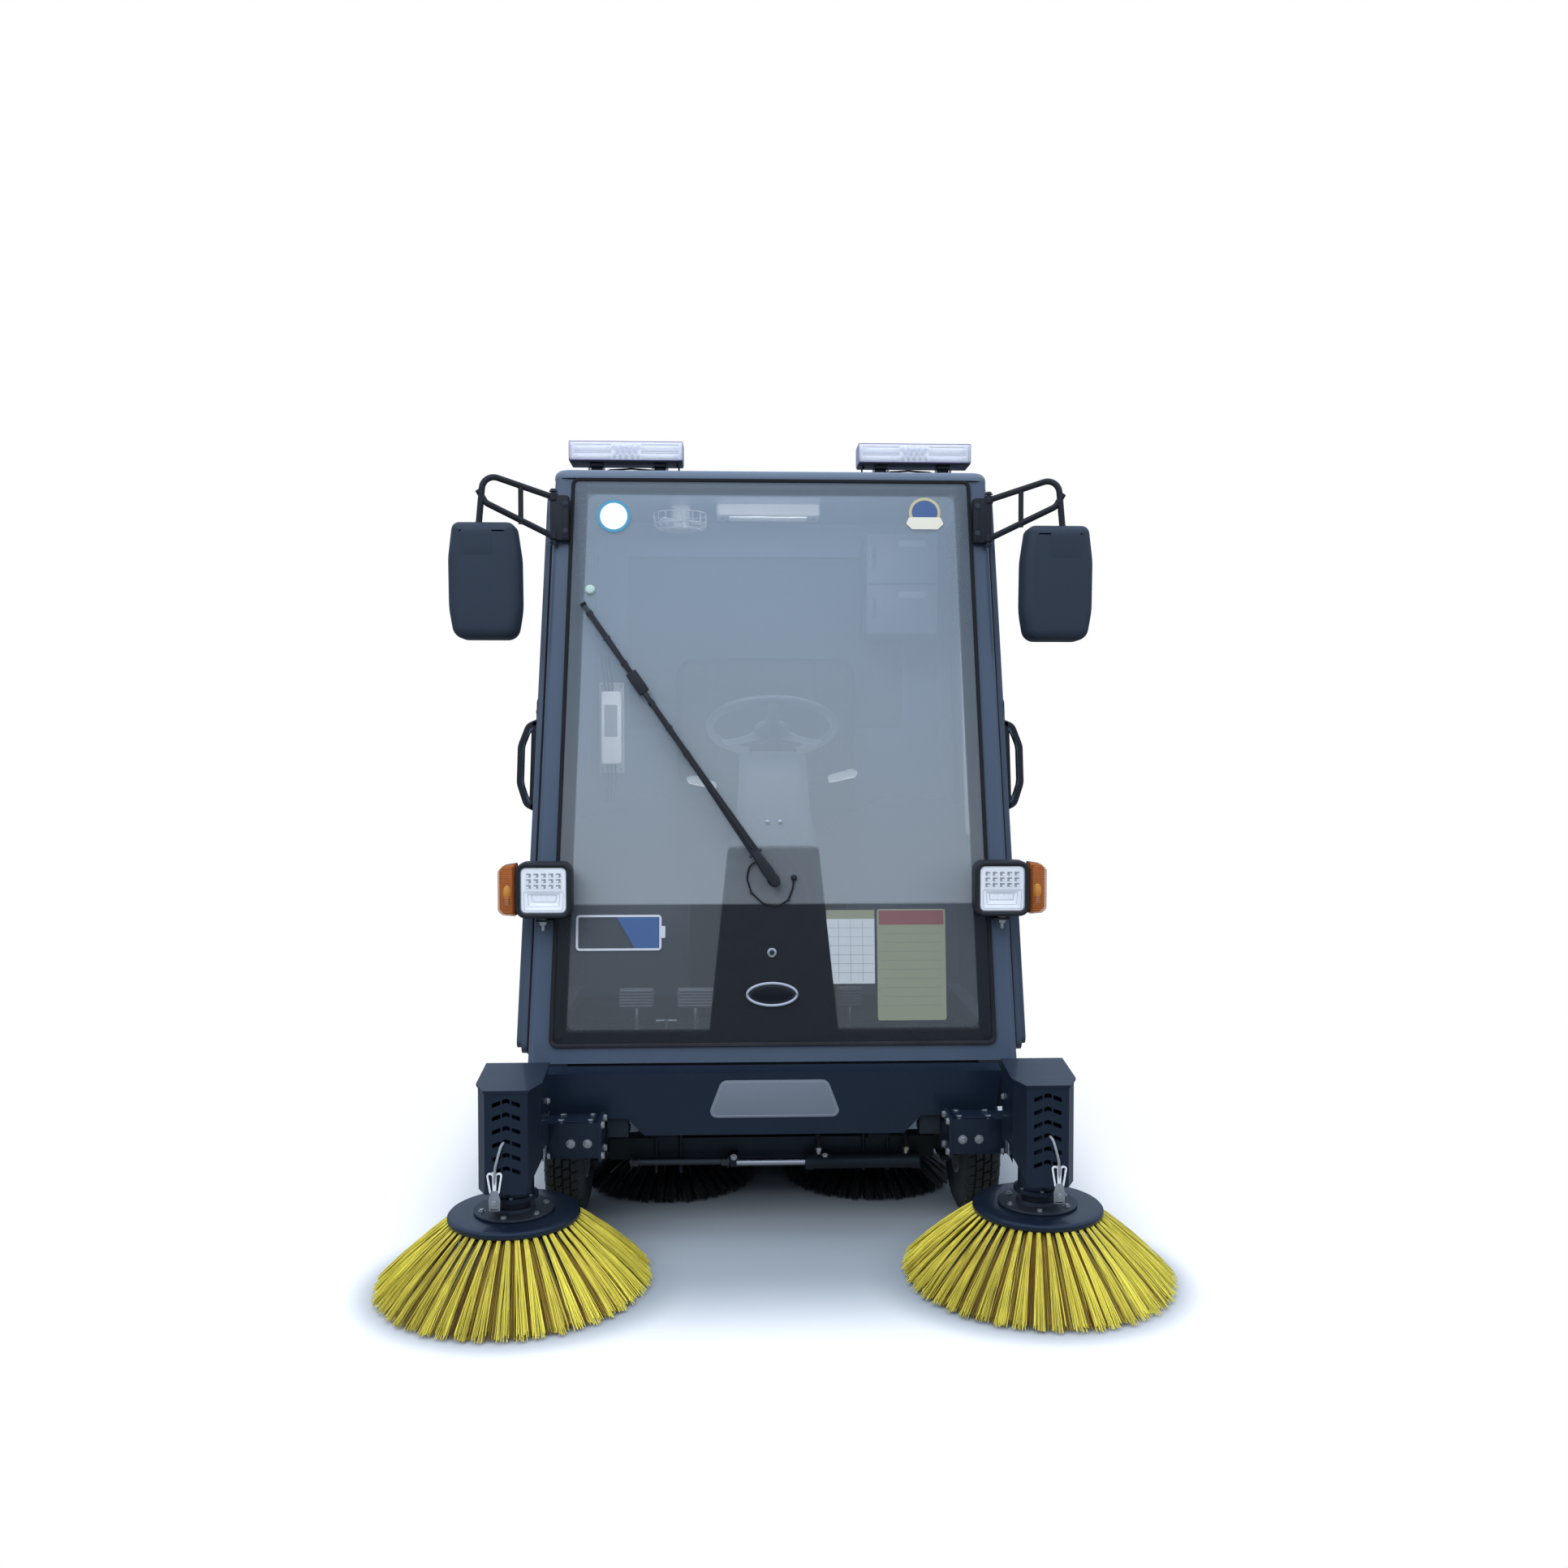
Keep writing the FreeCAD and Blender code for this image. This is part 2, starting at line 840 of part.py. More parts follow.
def front_beam():
    """The front cross beam with the two pivot lugs of the front arms."""
    beam = block(-LUG_OUT, LUG_OUT, S.rail_front, S.rail_front + S.beam_wide, BEAM_LOW, S.rail_low)
    lug = block(
        LUG_IN,
        LUG_OUT,
        S.rail_front,
        S.rail_front + S.beam_wide,
        S.arm_pivot_z - S.arm_hub_radius - 4,
        BEAM_LOW + 2,
    )
    bore = rod(
        "X", LUG_IN - 5, S.arm_pivot_y, S.arm_pivot_z, S.arm_pin + S.running_gap, LUG_OUT - LUG_IN + 10
    )
    lug = cut(lug, bore)
    return fuse(beam, lug, mirror(lug))


SECOND_LUG = 16
SECOND_ARM_IN = 178
SECOND_ARM_OUT = 222


def second_beam():
    """The cross beam over the front axle with the pivot lugs of the second brushes' arms."""
    beam = block(
        -RAIL_OUTER,
        RAIL_OUTER,
        S.second_pivot_y - 22,
        S.second_pivot_y + 22,
        BEAM_LOW,
        S.rail_low,
    )
    pieces = [beam]
    for inner in (SECOND_ARM_IN - 1 - SECOND_LUG, SECOND_ARM_OUT + 1):
        lug = block(
            inner,
            inner + SECOND_LUG,
            S.second_pivot_y - 20,
            S.second_pivot_y + 20,
            S.second_pivot_z - 20,
            BEAM_LOW + 2,
        )
        bore = rod(
            "X",
            inner - 3,
            S.second_pivot_y,
            S.second_pivot_z,
            S.second_pin + S.running_gap,
            SECOND_LUG + 6,
        )
        lug = cut(lug, bore)
        pieces += [lug, mirror(lug)]
    return fuse(*pieces)


def plain_beam(y, half):
    return block(-half, half, y, y + S.beam_wide, BEAM_LOW, S.rail_low)


def rear_beam():
    """The rear bar behind the rails, with the tow lug under its middle."""
    bar = block(
        -S.body_half, S.body_half, S.rail_rear, S.rear_beam_rear, S.rail_low, S.rail_high
    )
    lug = block(-30, 30, S.rear_beam_rear - 45, S.rear_beam_rear, S.rail_low - 60, S.rail_low + 1)
    bore = rod(
        "X", -35, S.rear_beam_rear - 22, S.rail_low - 32, S.tow_bore, 70
    )
    slot = block(-20, 20, S.rear_beam_rear - 50, S.rear_beam_rear + 5, S.rail_low - 65, S.rail_low)
    return fuse(bar, cut(lug, bore, slot))


node(
    "chassis_crossmembers",
    group(
        front_beam(),
        second_beam(),
        plain_beam(S.middle_beam_y, S.body_half - S.beam_high),
        rear_beam(),
    ),
)


# Front bumper: a folded sheet with a deeper middle
def bumper_points(top_half, low_half, top):
    return [
        (-top_half, top),
        (-low_half, S.bumper_low),
        (-S.bumper_mid_top_half, S.bumper_low),
        (-S.bumper_mid_half, S.bumper_mid_low),
        (S.bumper_mid_half, S.bumper_mid_low),
        (S.bumper_mid_top_half, S.bumper_low),
        (low_half, S.bumper_low),
        (top_half, top),
    ]


def make_bumper():
    front = S.bumper_front
    face = prism(
        "XZ_Plane",
        bumper_points(S.bumper_half_top, S.bumper_half_low, S.bumper_top),
        front,
        front + S.bumper_sheet,
    )
    top = prism(
        "YZ_Plane",
        [
            (front, S.bumper_top - S.bumper_sheet),
            (front + S.bumper_depth, S.bumper_top + 8),
            (front + S.bumper_depth, S.bumper_top + 8 + S.bumper_sheet),
            (front, S.bumper_top),
        ],
        -S.bumper_half_top,
        S.bumper_half_top,
    )
    foot = block(
        -S.bumper_mid_half,
        S.bumper_mid_half,
        front,
        front + 26,
        S.bumper_mid_low,
        S.bumper_mid_low + S.bumper_sheet,
    )
    rib = block(
        RAIL_OUTER - 30,
        RAIL_OUTER - 26,
        front + 1,
        S.rail_front,
        S.rail_low - 30,
        S.bumper_top,
    )
    return fuse(face, top, foot, rib, mirror(rib))


node("front_bumper", make_bumper())


# Front brushes: cover, arm with its motor, disc and bristle skirt
def cover_points(grow):
    x = S.brush_x
    y = S.brush_y
    return [
        (x - 48 - grow * 0.6, y - 90 - grow),
        (x + 54 + grow * 0.6, y - 90 - grow),
        (x + 77 + grow, y - 45 - grow * 0.4),
        (x + 77 + grow, y + 80 + grow),
        (x - 72 - grow, y + 80 + grow),
        (x - 72 - grow, y - 45 - grow * 0.4),
    ]


def slope_cut(lift):
    """What lies above the cover's sloping top."""
    y0 = S.brush_y - 90
    y1 = S.brush_y + 80
    rise = S.cover_high_rear - S.cover_high_front
    high = S.cover_high_rear + 80
    run = y1 - y0
    return prism(
        "YZ_Plane",
        [
            (y0 - 20, S.cover_high_front + lift - rise * 20 / run),
            (y1 + 20, S.cover_high_rear + lift + rise * 20 / run),
            (y1 + 20, high),
            (y0 - 20, high),
        ],
        S.brush_x - 110,
        S.brush_x + 110,
    )


def vent_row(z):
    """One chevron of the cover's cooling slots, in three parts with two webs between them."""
    x = S.brush_x + 3
    front = S.brush_y - 90
    high = S.vent_high
    drop = S.vent_drop
    slots = []
    for x0, x1 in ((-33, -13), (13, 33)):
        outer, inner = (x0, x1) if x0 < 0 else (x1, x0)
        low = z - drop * abs(outer) / 33
        rise = z - drop * abs(inner) / 33
        slots.append(
            prism(
                "XZ_Plane",
                [(x + outer, low), (x + inner, rise), (x + inner, rise + high), (x + outer, low + high)],
                front - 6,
                front + 8,
            )
        )
    side = z - drop * 9 / 33
    slots.append(
        prism(
            "XZ_Plane",
            [
                (x - 9, side),
                (x, z),
                (x + 9, side),
                (x + 9, side + high),
                (x, z + high),
                (x - 9, side + high),
            ],
            front - 6,
            front + 8,
        )
    )
    return slots


def make_cover():
    high = S.cover_high_rear + 60
    outer = prism("XY_Plane", cover_points(0), S.cover_low, high)
    inner = prism("XY_Plane", cover_points(-S.cover_sheet), S.cover_low - 5, high + 5)
    wall = cut(outer, inner, slope_cut(0))
    lid = prism("XY_Plane", cover_points(S.lid_over), S.cover_low + 100, high)
    lid = cut(lid, slope_cut(S.lid_thick))
    below = cut(
        prism("XY_Plane", cover_points(S.lid_over + 4), S.cover_low + 90, high + 10), slope_cut(0)
    )
    lid = cut(lid, below)
    inboard = S.brush_x - 72
    corner = prism(
        "XZ_Plane",
        [
            (inboard - 5, S.cover_low - 5),
            (inboard + 32, S.cover_low - 5),
            (inboard - 5, S.cover_low + 75),
        ],
        S.brush_y - 120,
        S.brush_y + 120,
    )
    pocket = block(
        S.brush_x - 45,
        S.brush_x + 45,
        S.brush_y + 60,
        S.brush_y + 100,
        S.cover_low - 5,
        S.arm_high,
    )
    cover = cut(fuse(wall, lid), corner, pocket)
    slots = []
    for row in range(6):
        slots += vent_row(S.vent_top - S.vent_pitch * row)
    return cut(cover, group(*slots))


ARM_IN = 450


def make_front_arm():
    """The lifting arm: pivot pin, hub, tongue, flange, box beam, carrier beam and the brush motor."""
    y = S.arm_pivot_y
    z = S.arm_pivot_z
    hub_in = LUG_OUT + 2
    hub_out = ARM_IN + 22
    pin = rod("X", LUG_IN - 4, y, z, S.arm_pin, hub_in + 4 - LUG_IN)
    hub = rod("X", hub_in, y, z, S.arm_hub_radius, hub_out - hub_in)
    tongue = block(
        hub_in, hub_out, S.arm_rear - 20, y, z - S.arm_hub_radius + 2, z + S.arm_hub_radius - 2
    )
    flange = block(
        ARM_IN - 8, ARM_IN, S.arm_front - 6, S.arm_rear + 2, S.arm_low - 8, S.arm_high + 8
    )
    beam = block(ARM_IN, S.brush_x + 40, S.arm_front, S.arm_rear, S.arm_low, S.arm_high)
    carrier = block(
        S.brush_x - 40, S.brush_x + 40, S.brush_y, S.arm_front + 2, S.arm_low, S.arm_high
    )
    motor = rod(
        "Z", S.brush_x, S.brush_y, S.motor_low, S.motor_radius, S.cover_high_front - 30 - S.motor_low
    )
    plate = rod("Z", S.brush_x, S.brush_y, S.motor_low, S.motor_radius + 10, 10)
    return fuse(pin, hub, tongue, flange, beam, carrier, motor, plate)


def make_disc():
    """The brush's carrier disc with its bolted flange and the drive stub."""
    top = S.disc_top
    return lathe(
        [
            (0, top - S.disc_thick),
            (S.disc_radius - 14, top - S.disc_thick),
            (S.disc_radius, top - S.disc_thick + 6),
            (S.disc_radius, top - 8),
            (S.disc_radius - 6, top),
            (S.flange_radius, top),
            (S.flange_radius, top + S.flange_thick),
            (S.motor_radius - 10, top + S.flange_thick),
            (S.motor_radius - 10, S.motor_low - 0.5),
            (0, S.motor_low - 0.5),
        ],
        x=S.brush_x,
        y=S.brush_y,
    )


def across(radius, wide, deep, z):
    """Corners of a tuft at one height, pointing along -Y."""
    inner = radius - deep
    corners = [(-wide / 2, -inner), (wide / 2, -inner), (wide / 2, -radius), (-wide / 2, -radius)]
    return [Vector(a, b, z) for a, b in corners]


def flat_sided(top, bottom):
    """A solid with flat sides between two outlines of as many corners."""
    count = len(top)
    loops = [top, bottom]
    for index in range(count):
        other = (index + 1) % count
        loops.append([top[index], top[other], bottom[other], bottom[index]])
    faces = [Part.Face(Part.makePolygon(loop + loop[:1])) for loop in loops]
    solid = Part.Solid(Part.makeShell(faces))
    if solid.Volume < 0:
        solid.reverse()
    return solid


def tufts(count, radius, tip, root_radius, root_z, x, y):
    """A ring with tapered tufts that flare out to the tip radius, as one solid."""
    wide = float(S.tuft_tip) * float(radius) / float(S.brush_radius)
    deep = float(S.tuft_deep)
    top = float(root_z)
    root = float(root_radius)
    reach = math.sqrt(float(radius) ** 2 - wide**2 / 4)
    profile = [(root - deep - 6, top), (root, top), (root + 6, top - 12), (root - deep, top - 12)]
    points = [Vector(a, 0, b) for a, b in profile]
    ring = Part.Face(Part.makePolygon(points + points[:1])).revolve(Vector(), Z_AXIS, 360)
    one = flat_sided(
        across(root, float(S.tuft_root), deep - 4, top - 2),
        across(reach, wide, deep, float(tip)),
    )
    turned = []
    start = math.degrees(math.atan2(wide / 2, reach))
    for index in range(count):
        copy = one.copy()
        copy.rotate(Vector(), Z_AXIS, start + 360.0 * index / count)
        turned.append(copy)
    skirt = ring.fuse(turned)
    skirt.translate(Vector(float(x), float(y), 0))
    return skirt


cover = node("brush_cover_right", make_cover())
node("brush_cover_left", mirror(cover))
front_arm = node("front_arm_right", make_front_arm())
node("front_arm_left", mirror(front_arm))
disc = node("front_disc_right", make_disc())
node("front_disc_left", mirror(disc))
skirt = node(
    "front_bristles_right",
    shaped(
        tufts(
            46,
            S.brush_radius,
            S.brush_tip,
            S.disc_radius - 2,
            S.disc_top - S.disc_thick - S.seat_gap,
            S.brush_x,
            S.brush_y,
        ),
        "FrontBristles",
    ),
)
node("front_bristles_left", mirror(skirt))


# Second brushes on trailing arms
def make_second_arm():
    pin = rod(
        "X",
        SECOND_ARM_IN - SECOND_LUG - 2,
        S.second_pivot_y,
        S.second_pivot_z,
        S.second_pin,
        SECOND_ARM_OUT - SECOND_ARM_IN + 2 * SECOND_LUG + 4,
    )
    head = block(
        SECOND_ARM_IN,
        SECOND_ARM_OUT,
        S.second_pivot_y - 18,
        S.second_pivot_y + 18,
        S.second_pivot_z - 35,
        S.second_pivot_z + 15,
    )
    beam = prism(
        "XY_Plane",
        [
            (SECOND_ARM_IN, S.second_pivot_y - 18),
            (SECOND_ARM_OUT, S.second_pivot_y - 18),
            (SECOND_ARM_OUT, S.second_y - 70),
            (S.second_x + 30, S.second_y - 20),
            (S.second_x + 30, S.second_y + 30),
            (S.second_x - 40, S.second_y + 30),
            (SECOND_ARM_IN, S.second_y - 40),
        ],
        S.second_motor_high - 2,
        S.second_motor_high + 18,
    )
    motor = rod(
        "Z",
        S.second_x,
        S.second_y,
        S.second_motor_low,
        S.second_motor_radius,
        S.second_motor_high - S.second_motor_low,
    )
    return fuse(pin, head, beam, motor)


def make_second_brush():
    """Disc and tufts of a second brush, in one piece."""
    top = S.second_disc_top
    radius = S.second_disc_radius
    disc = lathe(
        [
            (0, top - 20),
            (radius, top - 20),
            (radius, top),
            (60, top),
            (60, top + 8),
            (30, top + 8),
            (30, S.second_motor_low - 0.5),
            (0, S.second_motor_low - 0.5),
        ],
        x=S.second_x,
        y=S.second_y,
    )
    doc.recompute()
    ring = tufts(38, S.second_radius, S.brush_tip, radius - 2, top - 15, S.second_x, S.second_y)
    return shaped(disc.Shape.fuse(ring), "SecondBrush")


second_arm = node("second_arm_right", make_second_arm())
node("second_arm_left", mirror(second_arm))
second_brush = node("second_brush_right", make_second_brush())
node("second_brush_left", mirror(second_brush))


# Roller brush under its hood
def make_roller():
    pieces = [
        rod("X", -S.roller_half, S.roller_y, S.roller_z, S.roller_core, 2 * S.roller_half),
        rod(
            "X",
            -S.hood_half,
            S.roller_y,
            S.roller_z,
            S.roller_shaft,
            2 * S.hood_half,
        ),
    ]
    count = 10
    tufts_in_row = 20
    pitch = 2 * S.roller_half / tufts_in_row
    for index in range(count):
        fin = block(
            -S.roller_half, S.roller_half, -9, 9, S.roller_core - 4, S.roller_radius, "Tufts"
        )
        gaps = []
        for gap in range(1, tufts_in_row):
            middle = -S.roller_half + pitch * gap
            gaps.append(
                block(middle - 4, middle + 4, -12, 12, S.roller_core + 8, S.roller_radius + 5)
            )
        turn = Rotation(X_AXIS, 360.0 * index / count)
        holder = doc.addObject("Part::Compound", "TuftRow")
        holder.Links = [cut(fin, group(*gaps))]
        holder.Placement = Placement(Vector(), turn)
        place(holder, 0, S.roller_y, S.roller_z)
        pieces.append(holder)
    return fuse(*pieces)


node("roller_brush", make_roller())


def make_hood():
    half = S.hood_half + S.hood_wall
    outer_radius = S.hood_inner + S.hood_wall
    shell = cut(
        rod("X", -half, S.roller_y, S.roller_z, outer_radius, 2 * half),
        rod("X", -S.hood_half, S.roller_y, S.roller_z, S.hood_inner, 2 * S.hood_half),
        block(
            -half - 5,
            half + 5,
            S.roller_y - outer_radius - 5,
            S.roller_y + outer_radius + 5,
            S.roller_z - outer_radius - 5,
            S.roller_z - 50,
        ),
        rod(
            "X",
            -half - 5,
            S.roller_y,
            S.roller_z,
            S.roller_shaft + S.running_gap,
            2 * half + 10,
        ),
    )
    stay = block(
        S.rail_inner + 10,
        RAIL_OUTER - 10,
        S.roller_y - 30,
        S.roller_y + 30,
        S.roller_z + S.hood_inner + 2,
        S.rail_low,
    )
    return fuse(shell, stay, mirror(stay))


node("roller_hood", make_hood())
node(
    "dust_hopper",
    block(
        5 - S.rail_inner,
        S.rail_inner - 5,
        S.roller_y + S.hood_inner + S.hood_wall + 6,
        S.hopper_rear,
        S.body_low,
        S.rail_high - 0.3,
    ),
)


# Rear body: hollow shell over the rear axle, its hatch and the battery block
def body_side_points(inset, low):
    top = S.body_top - inset
    rear = S.body_rear - inset
    return [
        (S.body_front + inset, low),
        (rear, low),
        (rear, top - S.body_slope),
        (rear - S.body_slope, top),
        (S.body_front + inset, top),
    ]


def make_rear_body():
    outer = prism("YZ_Plane", body_side_points(0, S.body_low), -S.body_half, S.body_half)
    half = S.body_half - S.body_wall
    inner = prism("YZ_Plane", body_side_points(S.body_wall, S.rail_high + 6), -half, half)
    lower = block(
        -half,
        half,
        S.body_front + S.body_wall,
        S.body_rear - S.body_wall,
        S.body_low - 5,
        S.rail_high,
    )
    wide = 2 * S.body_half + 20
    arches = rod("X", -S.body_half - 10, S.rear_axle_y, S.tyre_radius, S.arch_radius, wide)
    rail_slot = block(
        -half,
        half,
        S.body_front - 5,
        S.body_rear + 5,
        S.body_low - 5,
        S.rail_high,
    )
    hatch = block(
        -HATCH_HALF + 20,
        HATCH_HALF - 20,
        S.body_rear - S.body_wall - 5,
        S.body_rear + 5,
        S.hatch_low + 20,
        S.hatch_top - 20,
    )
    slots = []
    for row in range(8):
        z = S.louvre_low + S.louvre_pitch * row
        slots.append(
            block(
                -S.body_half - 10,
                S.body_half + 10,
                S.louvre_front,
                S.louvre_rear,
                z,
                z + S.louvre_high,
            )
        )
    return cut(outer, inner, lower, arches, rail_slot, hatch, group(*slots))


node("rear_body", make_rear_body())


def make_hatch():
    """The rear hatch, hung on a bar along its top edge."""
    leaf = prism(
        "XZ_Plane",
        [
            (-HATCH_HALF, S.hatch_low),
            (HATCH_HALF, S.hatch_low),
            (HATCH_HALF, S.hatch_top),
            (-HATCH_HALF, S.hatch_top),
        ],
        S.body_rear + S.seat_gap,
        S.body_rear + S.seat_gap + S.hatch_thick,
        corner=30,
    )
    bar = rod(
        "X",
        -HATCH_HALF + 60,
        S.body_rear + S.seat_gap + S.hinge_radius,
        S.hatch_top + 2,
        S.hinge_radius,
        2 * HATCH_HALF - 120,
    )
    grip = block(-70, 70, S.body_rear + S.hatch_thick, S.body_rear + S.hatch_thick + 14, 560, 590)
    return fuse(leaf, bar, grip)


node("rear_hatch", make_hatch())
node(
    "battery_block",
    block(
        -S.battery_half,
        S.battery_half,
        S.body_front + 30,
        S.body_front + 30 + S.battery_long,
        S.rail_high + 6,
        S.rail_high + 6 + S.battery_high,
    ),
)
node(
    "tail_lamps",
    both(
        block(
            S.body_half - 12 - S.tail_lamp_wide,
            S.body_half - 12,
            S.body_rear,
            S.body_rear + 22,
            S.tail_lamp_low,
            S.tail_lamp_high,
        )
    ),
)
node(
    "side_skirts",
    both(
        block(
            S.body_half - 18,
            S.body_half,
            S.skirt_front,
            S.body_front - 2,
            S.skirt_low,
            S.cab_floor_top - S.floor_thick,
        )
    ),
)


# Wheels
def make_tyre(x, y):
    """A pneumatic tyre turned about the wheel's axis, with rounded shoulders."""
    half = S.tyre_wide / 2
    body = lathe(
        [
            (S.rim_radius, 8 - half),
            (S.rim_radius + 14, 2 - half),
            (S.tyre_radius - 62, -half),
            (S.tyre_radius - 24, 4 - half),
            (S.tyre_radius - 8, 14 - half),
            (S.tyre_radius, 30 - half),
            (S.tyre_radius, half - 30),
            (S.tyre_radius - 8, half - 14),
            (S.tyre_radius - 24, half - 4),
            (S.tyre_radius - 62, half),
            (S.rim_radius + 14, half - 2),
            (S.rim_radius, half - 8),
        ],
        axis="X",
        x=x,
        y=y,
        z=S.tyre_radius,
    )
    return body


def make_rim(x, y):
    """A pressed steel wheel with a dished centre and a hub."""
    half = S.tyre_wide / 2 - 6
    edge = S.rim_radius - S.rim_gap
    bore = S.spindle_radius + S.running_gap
    body = lathe(
        [
            (bore, -24),
            (S.hub_radius, -24),
            (S.hub_radius, -2),
            (edge - 16, -10),
            (edge - 5, -half),
            (edge, -half),
            (edge, half),
            (edge - 5, half),
            (edge - 12, 4),
            (S.hub_radius + 12, 22),
            (S.hub_radius, 30),
            (bore, 30),
        ],
        axis="X",
        x=x,
        y=y,
        z=S.tyre_radius,
    )
    holes = []
    studs = []
    for index in range(8):
        turn = math.radians(45.0 * index + 22.5)
        hole_y = y + S.rim_hole_circle * math.cos(turn)
        hole_z = S.tyre_radius + S.rim_hole_circle * math.sin(turn)
        holes.append(rod("X", x - half, hole_y, hole_z, S.rim_hole, 2 * half))
    for index in range(5):
        turn = math.radians(72.0 * index + 90)
        stud_y = y + S.stud_circle * math.cos(turn)
        stud_z = S.tyre_radius + S.stud_circle * math.sin(turn)
        studs.append(rod("X", x + 4, stud_y, stud_z, 7, 28))
    return fuse(cut(body, group(*holes)), *studs)


for end, axle_y in (("front", S.front_axle_y), ("rear", S.rear_axle_y)):
    tyre = node(f"tyre_{end}_right", make_tyre(S.wheel_x, axle_y))
    rim = node(f"rim_{end}_right", make_rim(S.wheel_x, axle_y))
    node(f"tyre_{end}_left", mirror(tyre))
    node(f"rim_{end}_left", mirror(rim))


# Front axle with leaf springs, steering knuckles and linkage
AXLE_Z = S.tyre_radius
BEAM_TOP = AXLE_Z + S.axle_beam / 2 - S.axle_beam_drop
BEAM_FOOT = AXLE_Z - S.axle_beam / 2 - S.axle_beam_drop


def leaf_outline(x, base):
    """The stepped side outline of three concentric leaves, and the middle of their eyes."""
    y = float(S.front_axle_y)
    half = float(S.spring_half)
    thick = float(S.spring_thick)
    rise = float(S.spring_rise)
    outer = (half * half + rise * rise) / (2 * rise)
    centre_z = base + outer
    radii = [outer - index * thick for index in range(4)]
    angles = [math.asin(half * share / radii[2]) for share in (0.55, 0.8, 1.0)]

    def at(radius, angle):
        return Vector(x, y + radius * math.sin(angle), centre_z - radius * math.cos(angle))

    def arc(radius, start, end):
        return Part.Arc(
            at(radius, start), at(radius, (start + end) / 2), at(radius, end)
        ).toShape()

    edges = [arc(radii[0], -angles[0], angles[0])]
    for index in range(3):
        edges.append(
            Part.makeLine(at(radii[index], angles[index]), at(radii[index + 1], angles[index]))
        )
        if index < 2:
            edges.append(arc(radii[index + 1], angles[index], angles[index + 1]))
    edges.append(arc(radii[3], angles[2], -angles[2]))
    for index in (2, 1, 0):
        edges.append(
            Part.makeLine(at(radii[index + 1], -angles[index]), at(radii[index], -angles[index]))
        )
        if index > 0:
            edges.append(arc(radii[index], -angles[index], -angles[index - 1]))
    middle = (radii[2] + radii[3]) / 2
    return Part.Face(Part.Wire(edges)), [at(middle, side * angles[2]) for side in (-1, 1)]


def leaf_spring(x):
    """A curved leaf pack seated on the axle beam, with eyes and hangers up to the rail."""
    wide = float(S.spring_wide)
    face, eyes = leaf_outline(x - wide / 2, float(BEAM_TOP))
    pack = face.extrude(Vector(wide, 0, 0))
    pad = Part.makeBox(
        wide - 4,
        float(S.axle_beam) - 8,
        13,
        Vector(x - wide / 2 + 2, float(S.front_axle_y) - float(S.axle_beam) / 2 + 4, float(BEAM_TOP) - 3),
    )
    pack = pack.fuse(pad)
    for eye in eyes:
        pack = pack.fuse(Part.makeCylinder(14, wide, eye, X_AXIS))
        hanger = Part.makeBox(
            wide - 8, 22, float(S.rail_low) - eye.z, Vector(x - wide / 2 + 4, eye.y - 11, eye.z)
        )
        pack = pack.fuse(hanger)
    return pack


def ubolts(x):
    """Two clamp bolts over the spring, with their plate under the beam."""
    y = float(S.front_axle_y)
    radius = float(S.ubolt_radius)
    top = float(BEAM_TOP) + 3 * float(S.spring_thick) + 12
    foot = float(BEAM_FOOT) - 34
    span = float(S.spring_wide) / 2 + radius + 1
    shape = Part.makeBox(
        2 * span + 20,
        float(S.axle_beam) + 24,
        8,
        Vector(x - span - 10, y - float(S.axle_beam) / 2 - 12, float(BEAM_FOOT) - 8),
    )
    for side in (-1, 1):
        bolt_y = y + side * (float(S.axle_beam) / 2 + radius + 1)
        for across in (-1, 1):
            leg = Part.makeCylinder(radius, top - foot, Vector(x + across * span, bolt_y, foot))
            shape = shape.fuse(leg)
        bridge = Part.makeBox(
            2 * span, 7, 7, Vector(x - span, bolt_y - 3.5, top - 9)
        )
        shape = shape.fuse(bridge)
    return shape


def make_front_axle():
    y = float(S.front_axle_y)
    half = float(S.axle_beam_half)
    beam = Part.makeBox(
        2 * half,
        float(S.axle_beam),
        float(S.axle_beam),
        Vector(-half, y - float(S.axle_beam) / 2, float(BEAM_FOOT)),
    )
    for side in (-1, 1):
        barrel = Part.makeCylinder(
            float(S.barrel_radius),
            2 * float(S.barrel_half),
            Vector(side * float(S.kingpin_x), y, float(AXLE_Z) - float(S.barrel_half)),
        )
        web = Part.makeBox(
            float(S.kingpin_x) - half + 6,
            36,
            50,
            Vector(half - 3 if side > 0 else -float(S.kingpin_x) - 3, y - 18, float(AXLE_Z) - 33),
        )
        bore = Part.makeCylinder(
            float(S.kingpin_radius + S.running_gap),
            400,
            Vector(side * float(S.kingpin_x), y, 0),
        )
        beam = beam.fuse([barrel, web]).cut(bore)
        x = side * (float(S.rail_inner) + float(S.rail_wide) / 2)
        beam = beam.fuse([leaf_spring(x), ubolts(x)])
    return shaped(beam.removeSplitter(), "FrontAxle")


node("front_axle", make_front_axle())

EAR_THICK = 14


